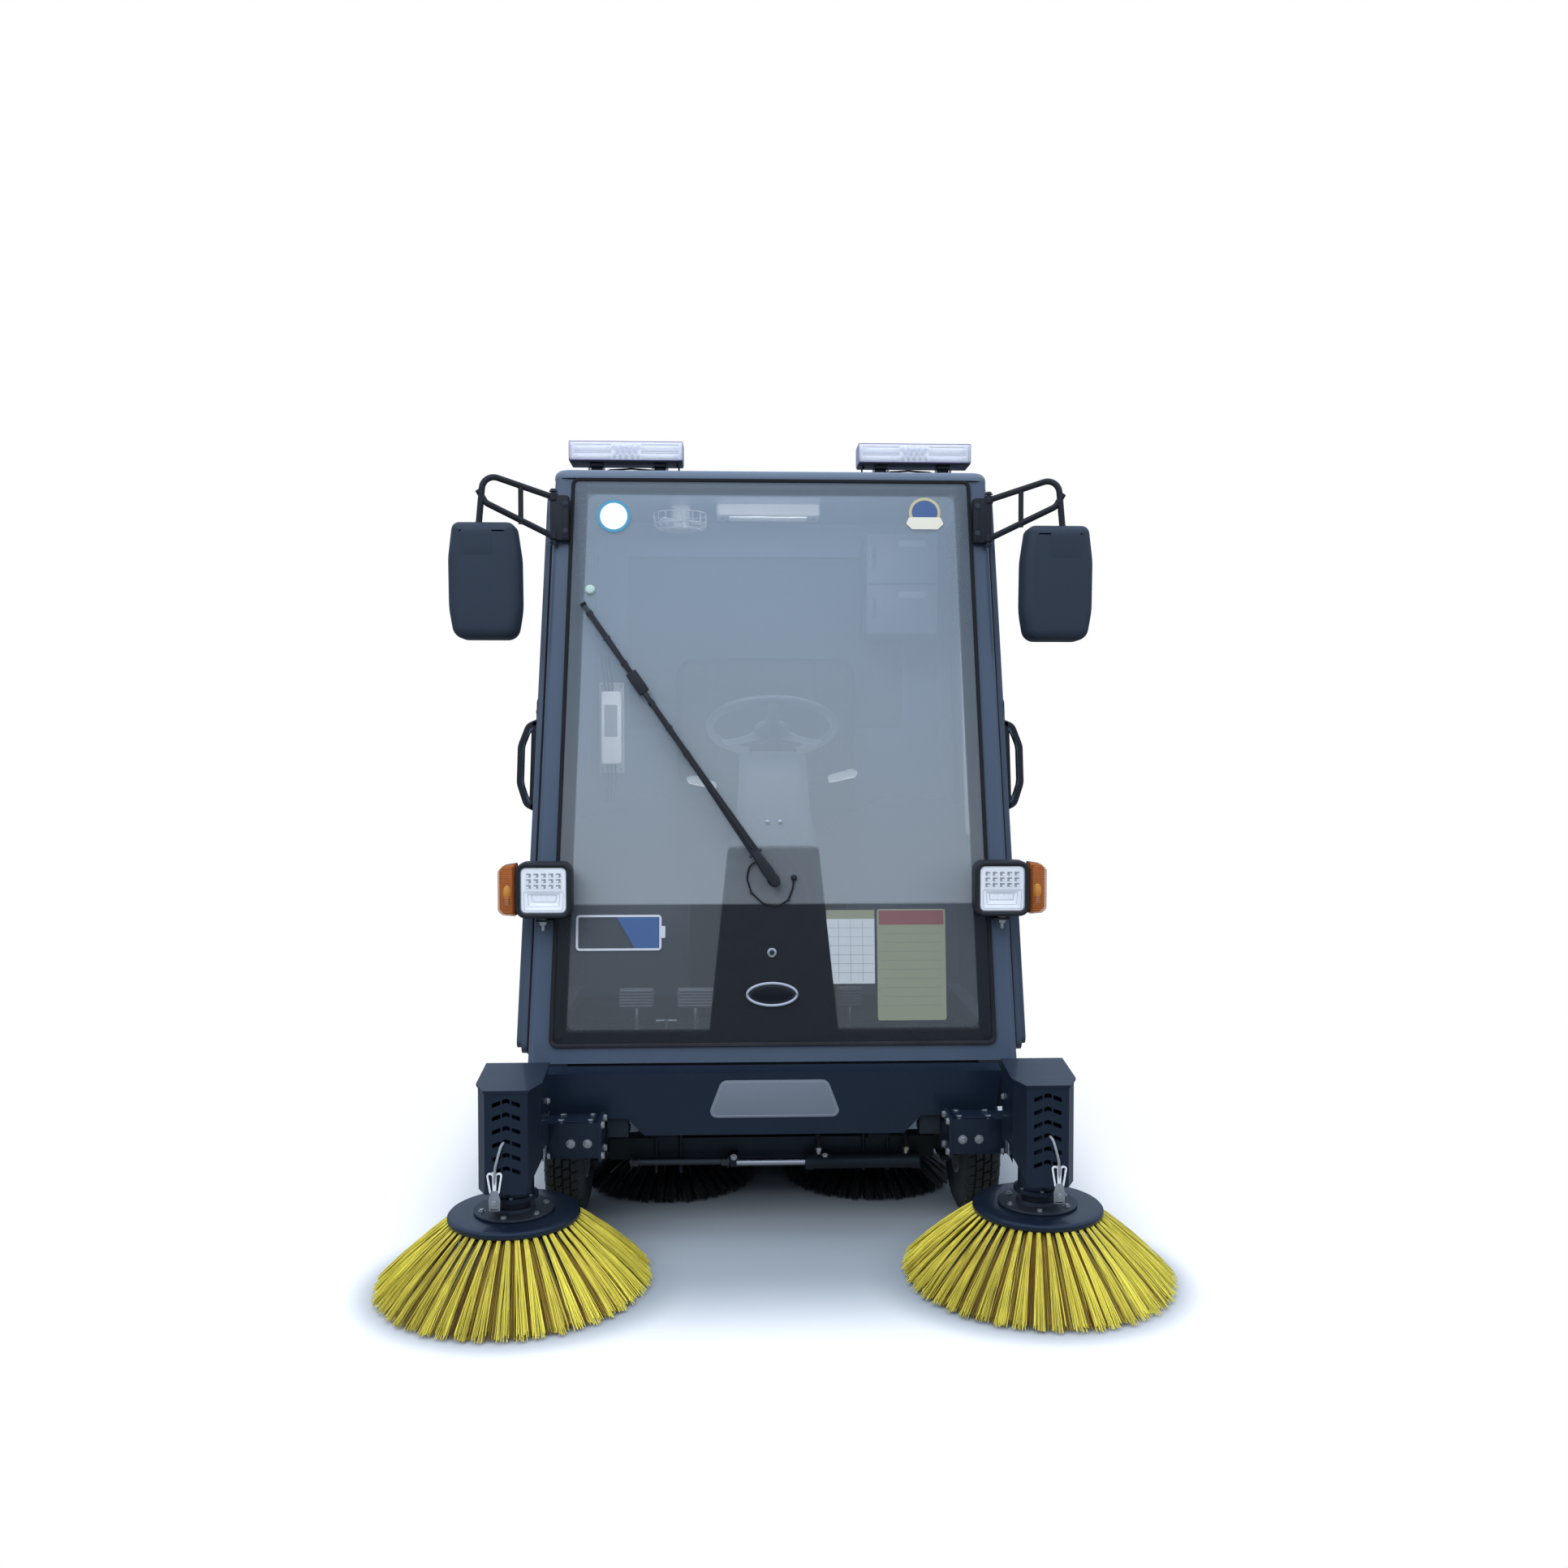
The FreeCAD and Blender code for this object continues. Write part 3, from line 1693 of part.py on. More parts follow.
def make_knuckle():
    """Fork, kingpin, steering lever and wheel spindle of the right front wheel."""
    x = S.kingpin_x
    y = S.front_axle_y
    reach = S.barrel_radius + 8
    ears = []
    for low in (
        AXLE_Z + S.barrel_half + 0.5,
        AXLE_Z - S.barrel_half - 0.5 - EAR_THICK,
    ):
        ears.append(block(x - 18, x + reach + 10, y - 20, y + 20, low, low + EAR_THICK))
    pin_low = AXLE_Z - S.barrel_half - EAR_THICK - 8
    pin = rod("Z", x, y, pin_low, S.kingpin_radius, 2 * (S.barrel_half + EAR_THICK + 8))
    back = block(
        x + reach,
        x + reach + 10,
        y - 24,
        y + 24,
        AXLE_Z - S.barrel_half - 0.5 - EAR_THICK,
        AXLE_Z + S.barrel_half + 0.5 + EAR_THICK,
    )
    spindle = rod(
        "X", x + reach + 5, y, AXLE_Z, S.spindle_radius, S.wheel_x + 34 - x - reach - 5
    )
    lever = block(
        x - 14,
        x + 10,
        y - 74,
        y - 14,
        AXLE_Z - S.barrel_half - 0.5 - EAR_THICK,
        AXLE_Z - S.barrel_half - 0.5,
    )
    return fuse(*ears, pin, back, spindle, lever)


knuckle = node("knuckle_right", make_knuckle())
node("knuckle_left", mirror(knuckle))


def make_linkage():
    """Steering cylinder and tie rod, clamped in front of the axle beam."""
    y = S.front_axle_y - S.axle_beam / 2 - 36
    z = BEAM_FOOT + 2
    body = rod("X", 90, y, z, 23, 320)
    rod_in = rod("X", -100, y, z, 11, 200)
    link = rod("X", -400, y, z + 4, 11, 300)
    clamp = block(130, 160, y - 4, S.front_axle_y - S.axle_beam / 2, z - 10, z + 20)
    clamp_left = block(-120, -96, y - 8, S.front_axle_y - S.axle_beam / 2, z - 12, z + 24)
    return fuse(body, rod_in, link, clamp, clamp_left)


node("steering_linkage", make_linkage())


def make_rear_axle():
    """Axle tube with its drive housing, spring pads and the two spindles."""
    tube = rod("X", -500, S.rear_axle_y, AXLE_Z, 30, 1000)
    case = rod("X", -90, S.rear_axle_y, AXLE_Z, 78, 180)
    motor = rod("Y", 40, S.rear_axle_y + 40, AXLE_Z, 62, 190)
    spindle_end = S.wheel_x + 34
    spindle = rod("X", -spindle_end, S.rear_axle_y, AXLE_Z, S.spindle_radius, 2 * spindle_end)
    pad = block(
        S.rail_inner + 6,
        RAIL_OUTER - 6,
        S.rear_axle_y - 35,
        S.rear_axle_y + 35,
        AXLE_Z + 10,
        S.rail_low,
    )
    return fuse(tube, case, motor, spindle, pad, mirror(pad))


node("rear_axle", make_rear_axle())


# Lamps
def rectangle_points(x, z, half_wide, half_high):
    return [
        (x - half_wide, z - half_high),
        (x + half_wide, z - half_high),
        (x + half_wide, z + half_high),
        (x - half_wide, z + half_high),
    ]


def make_headlamp():
    half = S.lamp_wide / 2
    housing = prism(
        "XZ_Plane",
        rectangle_points(S.lamp_x, S.lamp_z, half, half),
        S.lamp_front,
        S.lamp_front + S.lamp_deep,
        corner=S.lamp_corner,
    )
    inner = half - S.lamp_bezel
    recess = prism(
        "XZ_Plane",
        rectangle_points(S.lamp_x, S.lamp_z, inner, inner),
        S.lamp_front - 5,
        S.lamp_front + 8,
        corner=12,
    )
    reflector = []
    for wide, high, depth in ((50, 25, 13), (40, 17, 18), (31, 10, 24)):
        reflector.append(
            block(
                S.lamp_x - wide,
                S.lamp_x + wide,
                S.lamp_front + 6,
                S.lamp_front + depth,
                S.lamp_z - 28 - high,
                S.lamp_z - 28 + high,
            )
        )
    chips = []
    for row in range(3):
        for column in range(-2, 3):
            x = S.lamp_x + S.chip_pitch * column
            z = S.lamp_z + 10 + S.chip_rise * row
            chips.append(block(x - 6, x + 6, S.lamp_front + 5, S.lamp_front + 10, z - 5, z + 5))
    housing = fuse(cut(housing, recess, *reflector), *chips)
    foot_z = S.lamp_z - half
    stud = rod("Z", S.lamp_x + 6, S.lamp_front + 40, foot_z - 38, 5, 40)
    plate = block(
        S.lamp_x - 20,
        S.lamp_x + 24,
        S.lamp_front + 20,
        front_at(foot_z) + 30,
        foot_z - 16,
        foot_z - 10,
    )
    shell = shaped(
        cab_loft(0.0, float(S.cab_floor_top), float(S.cab_top)), "CabBlock"
    )
    return cut(fuse(housing, stud, plate), shell)


headlamp = make_headlamp()
node("headlamps", both(headlamp))
node(
    "indicator_lamps",
    both(
        prism(
            "XZ_Plane",
            [
                (S.lamp_x + S.lamp_wide / 2, S.lamp_z - S.indicator_high / 2),
                (S.lamp_x + S.lamp_wide / 2 + S.indicator_wide, S.lamp_z - S.indicator_high / 2),
                (S.lamp_x + S.lamp_wide / 2 + S.indicator_wide, S.lamp_z + S.indicator_high / 2),
                (S.lamp_x + S.lamp_wide / 2, S.lamp_z + S.indicator_high / 2),
            ],
            S.lamp_front + 8,
            S.lamp_front + S.lamp_deep - 6,
        )
    ),
)

ROOF_TOP = S.cab_top + S.roof_thick


def make_light_bar():
    low = ROOF_TOP + S.bar_lift
    rib = S.bar_rib
    lens = prism(
        "YZ_Plane",
        [
            (S.bar_front + rib, low),
            (S.bar_front + S.bar_deep - rib, low),
            (S.bar_front + S.bar_deep - rib, low + S.bar_high),
            (S.bar_front + rib, low + S.bar_high),
        ],
        S.bar_x - S.bar_long / 2,
        S.bar_x + S.bar_long / 2,
        corner=8,
    )
    feet = []
    for side in (-95, 85):
        feet.append(
            block(
                S.bar_x + side - 12,
                S.bar_x + side + 12,
                S.bar_front + 20,
                S.bar_front + 60,
                ROOF_TOP,
                low + 1,
            )
        )
    ribs = []
    long = S.bar_long * 0.34
    for face in (S.bar_front + 2 * rib, S.bar_front + S.bar_deep - 2 * rib):
        for z in (low + 0.3 * S.bar_high, low + 0.7 * S.bar_high):
            for x in (S.bar_x - S.bar_long / 2 + 6, S.bar_x + S.bar_long / 2 - 6 - long):
                ribs.append(rod("X", x, face, z, 2 * rib, long))
    for row in range(3):
        for column in range(-2, 3):
            x = S.bar_x + 16 * column
            z = low + S.bar_high / 2 + 15 * (row - 1)
            ribs.append(rod("Y", x, S.bar_front, z, 6, rib + 1))
    return fuse(lens, *feet, *ribs)


node("light_bars", both(make_light_bar()))


# Mirrors on tube arms
def bent_tube(points, radius, bend):
    """A round tube along straight runs joined by tangent arcs."""
    edges = []
    start = points[0]
    for index in range(1, len(points) - 1):
        corner = points[index]
        before = (points[index - 1] - corner).normalize()
        after = (points[index + 1] - corner).normalize()
        half = before.getAngle(after) / 2
        back = bend / math.tan(half)
        first = corner + before * back
        last = corner + after * back
        middle_dir = (before + after).normalize()
        middle = corner + middle_dir * (bend / math.sin(half) - bend)
        edges.append(Part.makeLine(start, first))
        edges.append(Part.Arc(first, middle, last).toShape())
        start = last
    edges.append(Part.makeLine(start, points[-1]))
    path = Part.Wire(edges)
    direction = (points[1] - points[0]).normalize()
    ring = Part.Wire([Part.makeCircle(radius, points[0], direction)])
    return path.makePipeShell([ring], True, False)


def mirror_housing():
    """A shell with bowed sides, rounded corners and a domed front."""
    x = float(S.mirror_x)
    half = float(S.mirror_wide) / 2
    low = float(S.mirror_low)
    top = float(S.mirror_high)
    front = float(S.mirror_front)
    middle = (low + top) / 2
    taper = 13.0
    corners = [
        Vector(x - half + taper, front, low),
        Vector(x + half - taper, front, low),
        Vector(x + half - taper, front, top),
        Vector(x - half + taper, front, top),
    ]
    wire = Part.Wire(
        [
            Part.makeLine(corners[0], corners[1]),
            Part.Arc(corners[1], Vector(x + half, front, middle), corners[2]).toShape(),
            Part.makeLine(corners[2], corners[3]),
            Part.Arc(corners[3], Vector(x - half, front, middle), corners[0]).toShape(),
        ]
    )
    housing = Part.Face(wire).extrude(Vector(0, float(S.mirror_deep), 0))
    corner_edges = [
        e for e in housing.Edges if abs(e.tangentAt(e.FirstParameter).y) > 0.99
    ]
    housing = housing.makeFillet(30, corner_edges)
    front_edges = [e for e in housing.Edges if e.BoundBox.YMax < front + 0.01]
    return housing.makeFillet(22, front_edges)


def make_mirror():
    tube = float(S.mirror_tube)
    middle_z = (float(S.mirror_bracket_low) + float(S.mirror_bracket_high)) / 2
    bracket_in = screen_half_at(float(S.mirror_bracket_low)) + 3
    post_x = bracket_in + float(S.mirror_bracket_wide) - 10
    post_y = float(front_at(middle_z)) - 26
    upper_z = float(S.mirror_bracket_high) - 5
    lower_z = float(S.mirror_bracket_low) + 10
    rise = float(S.mirror_tube_rise)
    mirror_y = float(S.mirror_front) + float(S.mirror_deep) / 2
    top = float(S.mirror_high)
    outer_x = float(S.mirror_x) + 18
    upper = bent_tube(
        [
            Vector(post_x, post_y, upper_z),
            Vector(outer_x - 14, mirror_y, upper_z + rise),
            Vector(outer_x, mirror_y, top - 12),
        ],
        tube,
        28,
    )
    lower = bent_tube(
        [
            Vector(post_x, post_y, lower_z),
            Vector(outer_x - 20, mirror_y + 2, lower_z + rise + 28),
            Vector(outer_x, mirror_y, lower_z + rise + 62),
        ],
        tube,
        18,
    )
    share = 0.46
    strut_x = post_x + share * (outer_x - 14 - post_x)
    strut_y = post_y + share * (mirror_y - post_y)
    strut_high = upper_z + share * rise
    strut = Part.makeCylinder(
        tube * 0.8, upper_z - lower_z - 7, Vector(strut_x, strut_y, strut_high - upper_z + lower_z + 7)
    )
    bracket = Part.makeBox(
        float(S.mirror_bracket_wide),
        34,
        float(S.mirror_bracket_high) - float(S.mirror_bracket_low),
        Vector(
            bracket_in,
            float(front_at(float(S.mirror_bracket_low))) - 26,
            float(S.mirror_bracket_low),
        ),
    )
    bracket = bracket.cut(cab_loft(0.0, float(S.cab_floor_top), float(S.cab_top)))
    pin = Part.makeCylinder(6, upper_z - lower_z + 26, Vector(post_x, post_y, lower_z - 16))
    housing = mirror_housing()
    solid = bracket.fuse([pin, upper, lower, strut, housing])
    return shaped(solid, "MirrorSide")


node("mirrors", both(make_mirror()))


# Inside the cab
def make_column():
    """The steering column's cover, a tapered post from the floor to the wheel."""
    low = float(S.cab_floor_top)
    high = float(S.column_top)
    half = float(S.column_half)
    x = float(S.steer_x)
    y = float(S.steer_y)
    wires = []
    for z, h, front, rear in (
        (low, half, y - 330, y - 120),
        (low + 520, half, y - 290, y - 80),
        (high, half * 0.8, y - 120, y + 28),
    ):
        points = [
            Vector(x - h, front, z),
            Vector(x + h, front, z),
            Vector(x + h, rear, z),
            Vector(x - h, rear, z),
        ]
        wires.append(Part.makePolygon(points + points[:1]))
    collar = Part.makeCylinder(30, 90, Vector(0, 0, -STALK_REACH - 90))
    collar.Placement = STEER_PLACE
    return shaped(Part.makeLoft(wires, True, True).fuse(collar), "Column")


STALK_REACH = 62.0
STEER_PLACE = Placement(
    Vector(float(S.steer_x), float(S.steer_y), float(S.steer_z)),
    Rotation(X_AXIS, -float(S.steer_tilt)),
)
node("steering_column", make_column())


def make_steering_wheel():
    rim = Part.makeTorus(float(S.wheel_rim_radius), float(S.wheel_rim_tube))
    hub = Part.makeCylinder(36, 34, Vector(0, 0, -30))
    stalk_foot = STALK_REACH - float(S.seat_gap)
    stalk = Part.makeCylinder(15, stalk_foot - 20, Vector(0, 0, -stalk_foot))
    solid = hub.fuse(stalk)
    for angle in (35, 145, 270):
        spoke = Part.makeBox(
            float(S.wheel_rim_radius) - 10, 30, 10, Vector(0, -15, -18)
        )
        spoke.rotate(Vector(), Z_AXIS, angle)
        solid = solid.fuse(spoke)
    solid = solid.fuse(rim)
    solid.Placement = STEER_PLACE
    return shaped(solid, "SteeringWheel")


node("steering_wheel", make_steering_wheel())

CUSHION_LOW = S.seat_high
node(
    "seat_base",
    block(
        -S.seat_half + 20,
        S.seat_half - 20,
        S.seat_front + 30,
        S.cab_rear - S.cab_wall - 10,
        S.cab_floor_top,
        CUSHION_LOW,
    ),
)
node(
    "seat_cushion",
    prism(
        "XY_Plane",
        [
            (-S.seat_half, S.seat_front),
            (S.seat_half, S.seat_front),
            (S.seat_half, S.cab_rear - S.cab_wall - 20 - S.back_thick),
            (-S.seat_half, S.cab_rear - S.cab_wall - 20 - S.back_thick),
        ],
        CUSHION_LOW + 0.3,
        CUSHION_LOW + S.cushion_thick,
        corner=45,
    ),
)
node(
    "seat_back",
    prism(
        "XZ_Plane",
        [
            (-S.back_half, CUSHION_LOW + 20),
            (S.back_half, CUSHION_LOW + 20),
            (S.back_half, S.back_top),
            (-S.back_half, S.back_top),
        ],
        S.cab_rear - S.cab_wall - S.back_thick - 0.3,
        S.cab_rear - S.cab_wall - 0.3,
        corner=60,
    ),
)


def make_pedals():
    floor = S.cab_floor_top
    pieces = []
    for x, wide in ((-385, 100), (-216, 105), (225, 74)):
        rear = S.pedal_rear
        high = floor + S.pedal_high
        base = block(x - 20, x + 20, rear - S.pedal_long, rear, floor, floor + 16)
        stem = block(x - 8, x + 8, rear - 50, rear - 34, floor + 10, high - 40)
        pad = block(x - wide / 2, x + wide / 2, rear - 62, rear - 22, high - 60, high)
        pieces.append(fuse(base, stem, pad))
    return group(*pieces)


node("pedals", make_pedals())


def make_fittings():
    """Control box, roof lamp, fan and wall cabinet inside the cab."""
    rear = S.cab_rear - S.cab_wall
    ceiling = S.cab_top
    low_side = half_at(S.control_high) - S.cab_wall - S.fitting_gap
    high_side = half_at(S.cabinet_high) - S.cab_wall - S.fitting_gap
    control_box = block(
        -low_side,
        S.control_wide - low_side,
        rear - S.cab_wall,
        rear,
        S.control_low,
        S.control_high,
    )
    lamp = block(-160, 160, 0, 120, ceiling - 34, ceiling)
    fan = rod("Z", -272, 60, ceiling - 70, 85, 70)
    cabinet = block(
        high_side - S.cabinet_wide,
        high_side,
        rear - S.cabinet_deep,
        rear,
        S.cabinet_low,
        S.cabinet_high,
    )
    return group(control_box, lamp, fan, cabinet)


node("cab_fittings", make_fittings())


# Wiper
def make_wiper():
    """Wiper arm and blade in front of the glass, in the windscreen's own plane."""
    glass_face = -float(S.print_thick) - float(S.glass_thick)
    pivot_up = (float(S.wiper_z) - float(S.cab_floor_top)) / math.cos(math.radians(SCREEN_ANGLE))
    length = float(S.wiper_arm)
    blade = float(S.wiper_blade)
    head = Part.makeCylinder(15, 34, Vector(0, glass_face - 0.3, 0), Vector(0, -1, 0))
    cap = Part.makeBox(26, 16, 70, Vector(-13, glass_face - 34, -10))
    arm = Part.makeBox(14, 8, length - blade / 2 - 20, Vector(-7, glass_face - 34, 40))
    holder = Part.makeBox(10, 16, blade, Vector(-5, glass_face - 26, length - blade))
    rubber = Part.makeBox(5, 12, blade, Vector(-2.5, glass_face - 12.3, length - blade))
    solid = head.fuse([cap, arm, holder, rubber])
    solid.rotate(Vector(), Y_AXIS, -float(S.wiper_angle))
    solid.translate(Vector(0, 0, pivot_up))
    solid.Placement = SCREEN_PLACE.multiply(solid.Placement)
    return shaped(solid, "Wiper")


node("wiper", make_wiper())

# Check and write
doc.recompute()
faults = []
for obj in doc.Objects:
    if "Invalid" in obj.State or "Error" in obj.State:
        faults.append(f"{obj.Name} ({obj.Label}): {obj.State}")
for obj in nodes:
    shape = obj.Shape
    if shape.isNull() or not shape.isValid() or not shape.Solids:
        faults.append(f"{obj.Label}: no valid shape")
if faults:
    raise RuntimeError("\n".join(faults))
os.makedirs("parts", exist_ok=True)
for obj in nodes:
    obj.Shape.exportStep(f"parts/{obj.Label}.step")
    print(obj.Label, len(obj.Shape.Solids), "solids", round(obj.Shape.Volume / 1e6, 3), "litres")
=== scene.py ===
import json
import math

import bmesh
import bpy
from mathutils import Matrix, Vector

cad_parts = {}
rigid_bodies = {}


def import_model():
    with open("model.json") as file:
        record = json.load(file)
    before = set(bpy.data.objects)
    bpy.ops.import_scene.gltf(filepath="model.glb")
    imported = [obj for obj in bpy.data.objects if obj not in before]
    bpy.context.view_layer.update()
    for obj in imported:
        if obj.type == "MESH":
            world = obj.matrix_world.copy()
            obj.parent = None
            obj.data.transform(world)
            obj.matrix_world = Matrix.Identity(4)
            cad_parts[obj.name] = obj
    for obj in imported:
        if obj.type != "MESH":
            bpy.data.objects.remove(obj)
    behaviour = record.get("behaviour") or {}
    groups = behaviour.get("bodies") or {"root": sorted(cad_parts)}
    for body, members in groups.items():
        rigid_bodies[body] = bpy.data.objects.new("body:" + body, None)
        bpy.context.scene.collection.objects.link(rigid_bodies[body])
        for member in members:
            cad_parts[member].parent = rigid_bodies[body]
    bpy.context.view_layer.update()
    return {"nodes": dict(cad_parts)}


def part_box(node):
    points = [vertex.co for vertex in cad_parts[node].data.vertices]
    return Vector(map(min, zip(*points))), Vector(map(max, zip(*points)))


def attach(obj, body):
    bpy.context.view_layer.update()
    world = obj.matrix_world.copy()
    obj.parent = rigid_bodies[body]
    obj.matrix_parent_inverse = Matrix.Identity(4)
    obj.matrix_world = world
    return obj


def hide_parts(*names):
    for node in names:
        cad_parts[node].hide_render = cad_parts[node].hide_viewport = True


# Compact road sweeper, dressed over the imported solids. Metres, +Z up, the front faces -Y.

for item in list(bpy.data.objects):
    bpy.data.objects.remove(item)
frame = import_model()
nodes = frame["nodes"]
SIDES = (("right", 1), ("left", -1))
THIN = 1.0
# the cab's front leans back and its sides lean in as they rise from the sill
SILL_Y, SILL_Z, SILL_HALF = -0.566, 0.465, 0.654
RISE, LEAN, NARROWING = 1.58, 0.196, 0.055


# shader maths
class Value:
    """A node socket that takes part in sums."""

    def __init__(self, graph, socket):
        self.graph = graph
        self.socket = socket

    def _maths(self, operation, *items):
        node = self.graph.make("ShaderNodeMath", {"operation": operation}, {})
        for slot, item in enumerate(items):
            self.graph.feed(node.inputs[slot], item)
        return Value(self.graph, node.outputs[0])

    def __add__(self, other):
        return self._maths("ADD", self, other)

    __radd__ = __add__

    def __sub__(self, other):
        return self._maths("SUBTRACT", self, other)

    def __rsub__(self, other):
        return self._maths("SUBTRACT", other, self)

    def __mul__(self, other):
        return self._maths("MULTIPLY", self, other)

    __rmul__ = __mul__

    def __truediv__(self, other):
        return self._maths("DIVIDE", self, other)

    def floor(self):
        return self._maths("FLOOR", self)

    def sine(self):
        return self._maths("SINE", self)

    def power(self, other):
        return self._maths("POWER", self, other)

    def most(self, other):
        return self._maths("MAXIMUM", self, other)

    def size(self):
        return self._maths("ABSOLUTE", self)

    def ramp(self, low, high):
        """0 at low and 1 at high, with soft ends."""
        inputs = {"Value": self, "From Min": low, "From Max": high}
        return self.graph.value("ShaderNodeMapRange", {"interpolation_type": "SMOOTHSTEP"}, inputs)


class Graph:
    """The node tree of a material, of the sky or of a geometry group."""

    def __init__(self, tree):
        self.tree = tree

    def feed(self, socket, item):
        """Links a value's socket, or sets a plain number, vector or red, green and blue."""
        if isinstance(item, Value):
            item = item.socket
        if isinstance(item, bpy.types.NodeSocket):
            self.tree.links.new(item, socket)
        elif socket.type == "RGBA":
            socket.default_value = (*item, 1.0)
        else:
            socket.default_value = item

    def make(self, kind, settings, inputs):
        node = self.tree.nodes.new(kind)
        for key, item in settings.items():
            setattr(node, key, item)
        for key, item in inputs.items():
            self.feed(node.inputs[key], item)
        return node

    def value(self, kind, settings, inputs, output=0):
        return Value(self, self.make(kind, settings, inputs).outputs[output])

    def mix(self, factor, first, second):
        """A blend of two colours."""
        node = self.make("ShaderNodeMix", {"data_type": "RGBA"}, {})
        for slot, item in ((0, factor), (6, first), (7, second)):
            self.feed(node.inputs[slot], item)
        return Value(self, node.outputs[2])


class Finish(Graph):
    """A material with one Principled shader."""

    def __init__(self, name, base, rough, metallic=0.0, coat=0.0, specular=0.5):
        self.material = bpy.data.materials.new(name)
        self.material.use_nodes = True
        super().__init__(self.material.node_tree)
        self.shader = self.tree.nodes["Principled BSDF"]
        self.base = base
        self.set("Base Color", base)
        self.set("Roughness", rough)
        self.set("Metallic", metallic)
        self.set("Coat Weight", coat)
        self.set("Coat Roughness", 0.08)
        self.set("Specular IOR Level", specular)
        self.material.diffuse_color = (*base, 1.0)
        self.point = self.make("ShaderNodeTexCoord", {}, {}).outputs["Object"]
        self.normal = None

    def set(self, name, item):
        self.feed(self.shader.inputs[name], item)

    def axes(self):
        split = self.make("ShaderNodeSeparateXYZ", {}, {"Vector": self.point})
        return [Value(self, split.outputs[i]) for i in range(3)]

    def noise(self, scale, detail=3.0, rough=0.5):
        inputs = {"Vector": self.point, "Scale": scale, "Detail": detail, "Roughness": rough}
        return self.value("ShaderNodeTexNoise", {}, inputs)

    def bump(self, height, strength, distance=0.001):
        inputs = {"Height": height, "Strength": strength, "Distance": distance}
        if self.normal is not None:
            inputs["Normal"] = self.normal
        self.normal = self.value("ShaderNodeBump", {}, inputs)
        self.set("Normal", self.normal)

    def dusty(self, dust, amount, low=0.0, high=0.9):
        """Road dust that thickens towards the ground, broken up by noise."""
        z = self.axes()[2]
        patches = self.noise(7.0, 6.0, 0.65).ramp(0.35, 0.75)
        fine = self.noise(60.0, 3.0).ramp(0.3, 0.8)
        share = (1.0 - z.ramp(low, high)) * (0.35 + 0.65 * patches) * (0.6 + 0.4 * fine) * amount
        return self.mix(share, self.base, dust), share


DUST = (0.135, 0.14, 0.145)


def paint(name, base, rough, coat, dust):
    finish = Finish(name, base, rough, coat=coat)
    tone, share = finish.dusty(DUST, dust)
    cloud = finish.noise(3.0, 3.0)
    tone = finish.mix(cloud * 0.16, tone, [part * 1.5 for part in base])
    finish.set("Base Color", tone)
    finish.set("Roughness", rough + share * 0.5 + finish.noise(28.0) * 0.06)
    finish.bump(finish.noise(420.0, 2.0), 0.06, 0.0006)
    return finish.material


def plastic(name, base, rough, grain=900.0, depth=0.25, dust=0.25):
    finish = Finish(name, base, rough, specular=0.45)
    tone, share = finish.dusty(DUST, dust)
    finish.set("Base Color", tone)
    finish.set("Roughness", rough + share * 0.3 + finish.noise(35.0) * 0.08)
    finish.bump(finish.noise(grain, 2.0), depth, 0.0005)
    return finish.material


def metal(name, base, rough=0.3, stain=0.3):
    finish = Finish(name, base, rough, metallic=1.0)
    spots = finish.noise(40.0, 5.0, 0.6)
    tone = finish.mix(spots.ramp(0.45, 0.8) * stain, base, (0.16, 0.13, 0.1))
    finish.set("Base Color", tone)
    finish.set("Roughness", rough + spots * 0.25)
    finish.bump(finish.noise(260.0, 3.0), 0.12, 0.0004)
    return finish.material


M = {}
M["slate"] = paint("slate_paint", (0.05, 0.072, 0.108), 0.3, 0.4, 0.22)
M["roof"] = paint("roof_paint", (0.092, 0.122, 0.168), 0.3, 0.5, 0.1)
M["navy"] = paint("navy_paint", (0.0036, 0.0078, 0.0165), 0.34, 0.22, 0.04)
M["chassis"] = paint("chassis_paint", (0.0075, 0.0095, 0.013), 0.42, 0.05, 0.15)
for name in ("navy", "chassis"):
    shader = M[name].node_tree.nodes["Principled BSDF"]
    shader.inputs["Specular Tint"].default_value = (0.62, 0.8, 1.0, 1.0)
M["black"] = plastic("black_plastic", (0.012, 0.013, 0.016), 0.45, dust=0.1)
M["mirror_shell"] = plastic("mirror_shell", (0.019, 0.028, 0.043), 0.5, 1300.0, 0.5, dust=0.0)
M["rubber"] = plastic("rubber", (0.009, 0.009, 0.01), 0.72, 500.0, 0.3, dust=0.3)
M["grey"] = plastic("grey_plastic", (0.3, 0.31, 0.33), 0.5, dust=0.0)
M["white"] = plastic("white_plastic", (0.8, 0.81, 0.82), 0.35, dust=0.0)
M["steel"] = metal("zinc_steel", (0.62, 0.62, 0.6), 0.28)
M["dark_steel"] = metal("dark_steel", (0.125, 0.135, 0.155), 0.42)
M["print"] = plastic("screen_print", (0.0035, 0.0045, 0.007), 0.12, 200.0, 0.02, dust=0.0)
M["rim"] = paint("rim_paint", (0.34, 0.35, 0.36), 0.4, 0.1, 0.7)
M["battery"] = plastic("battery_case", (0.04, 0.04, 0.045), 0.5)


def seat_cover():
    finish = Finish("seat_cover", (0.018, 0.019, 0.022), 0.5)
    cells = finish.value("ShaderNodeTexVoronoi", {}, {"Vector": finish.point, "Scale": 380.0})
    finish.bump(cells, 0.35, 0.0008)
    finish.set("Roughness", 0.42 + finish.noise(30.0) * 0.2)
    return finish.material


M["seat"] = seat_cover()


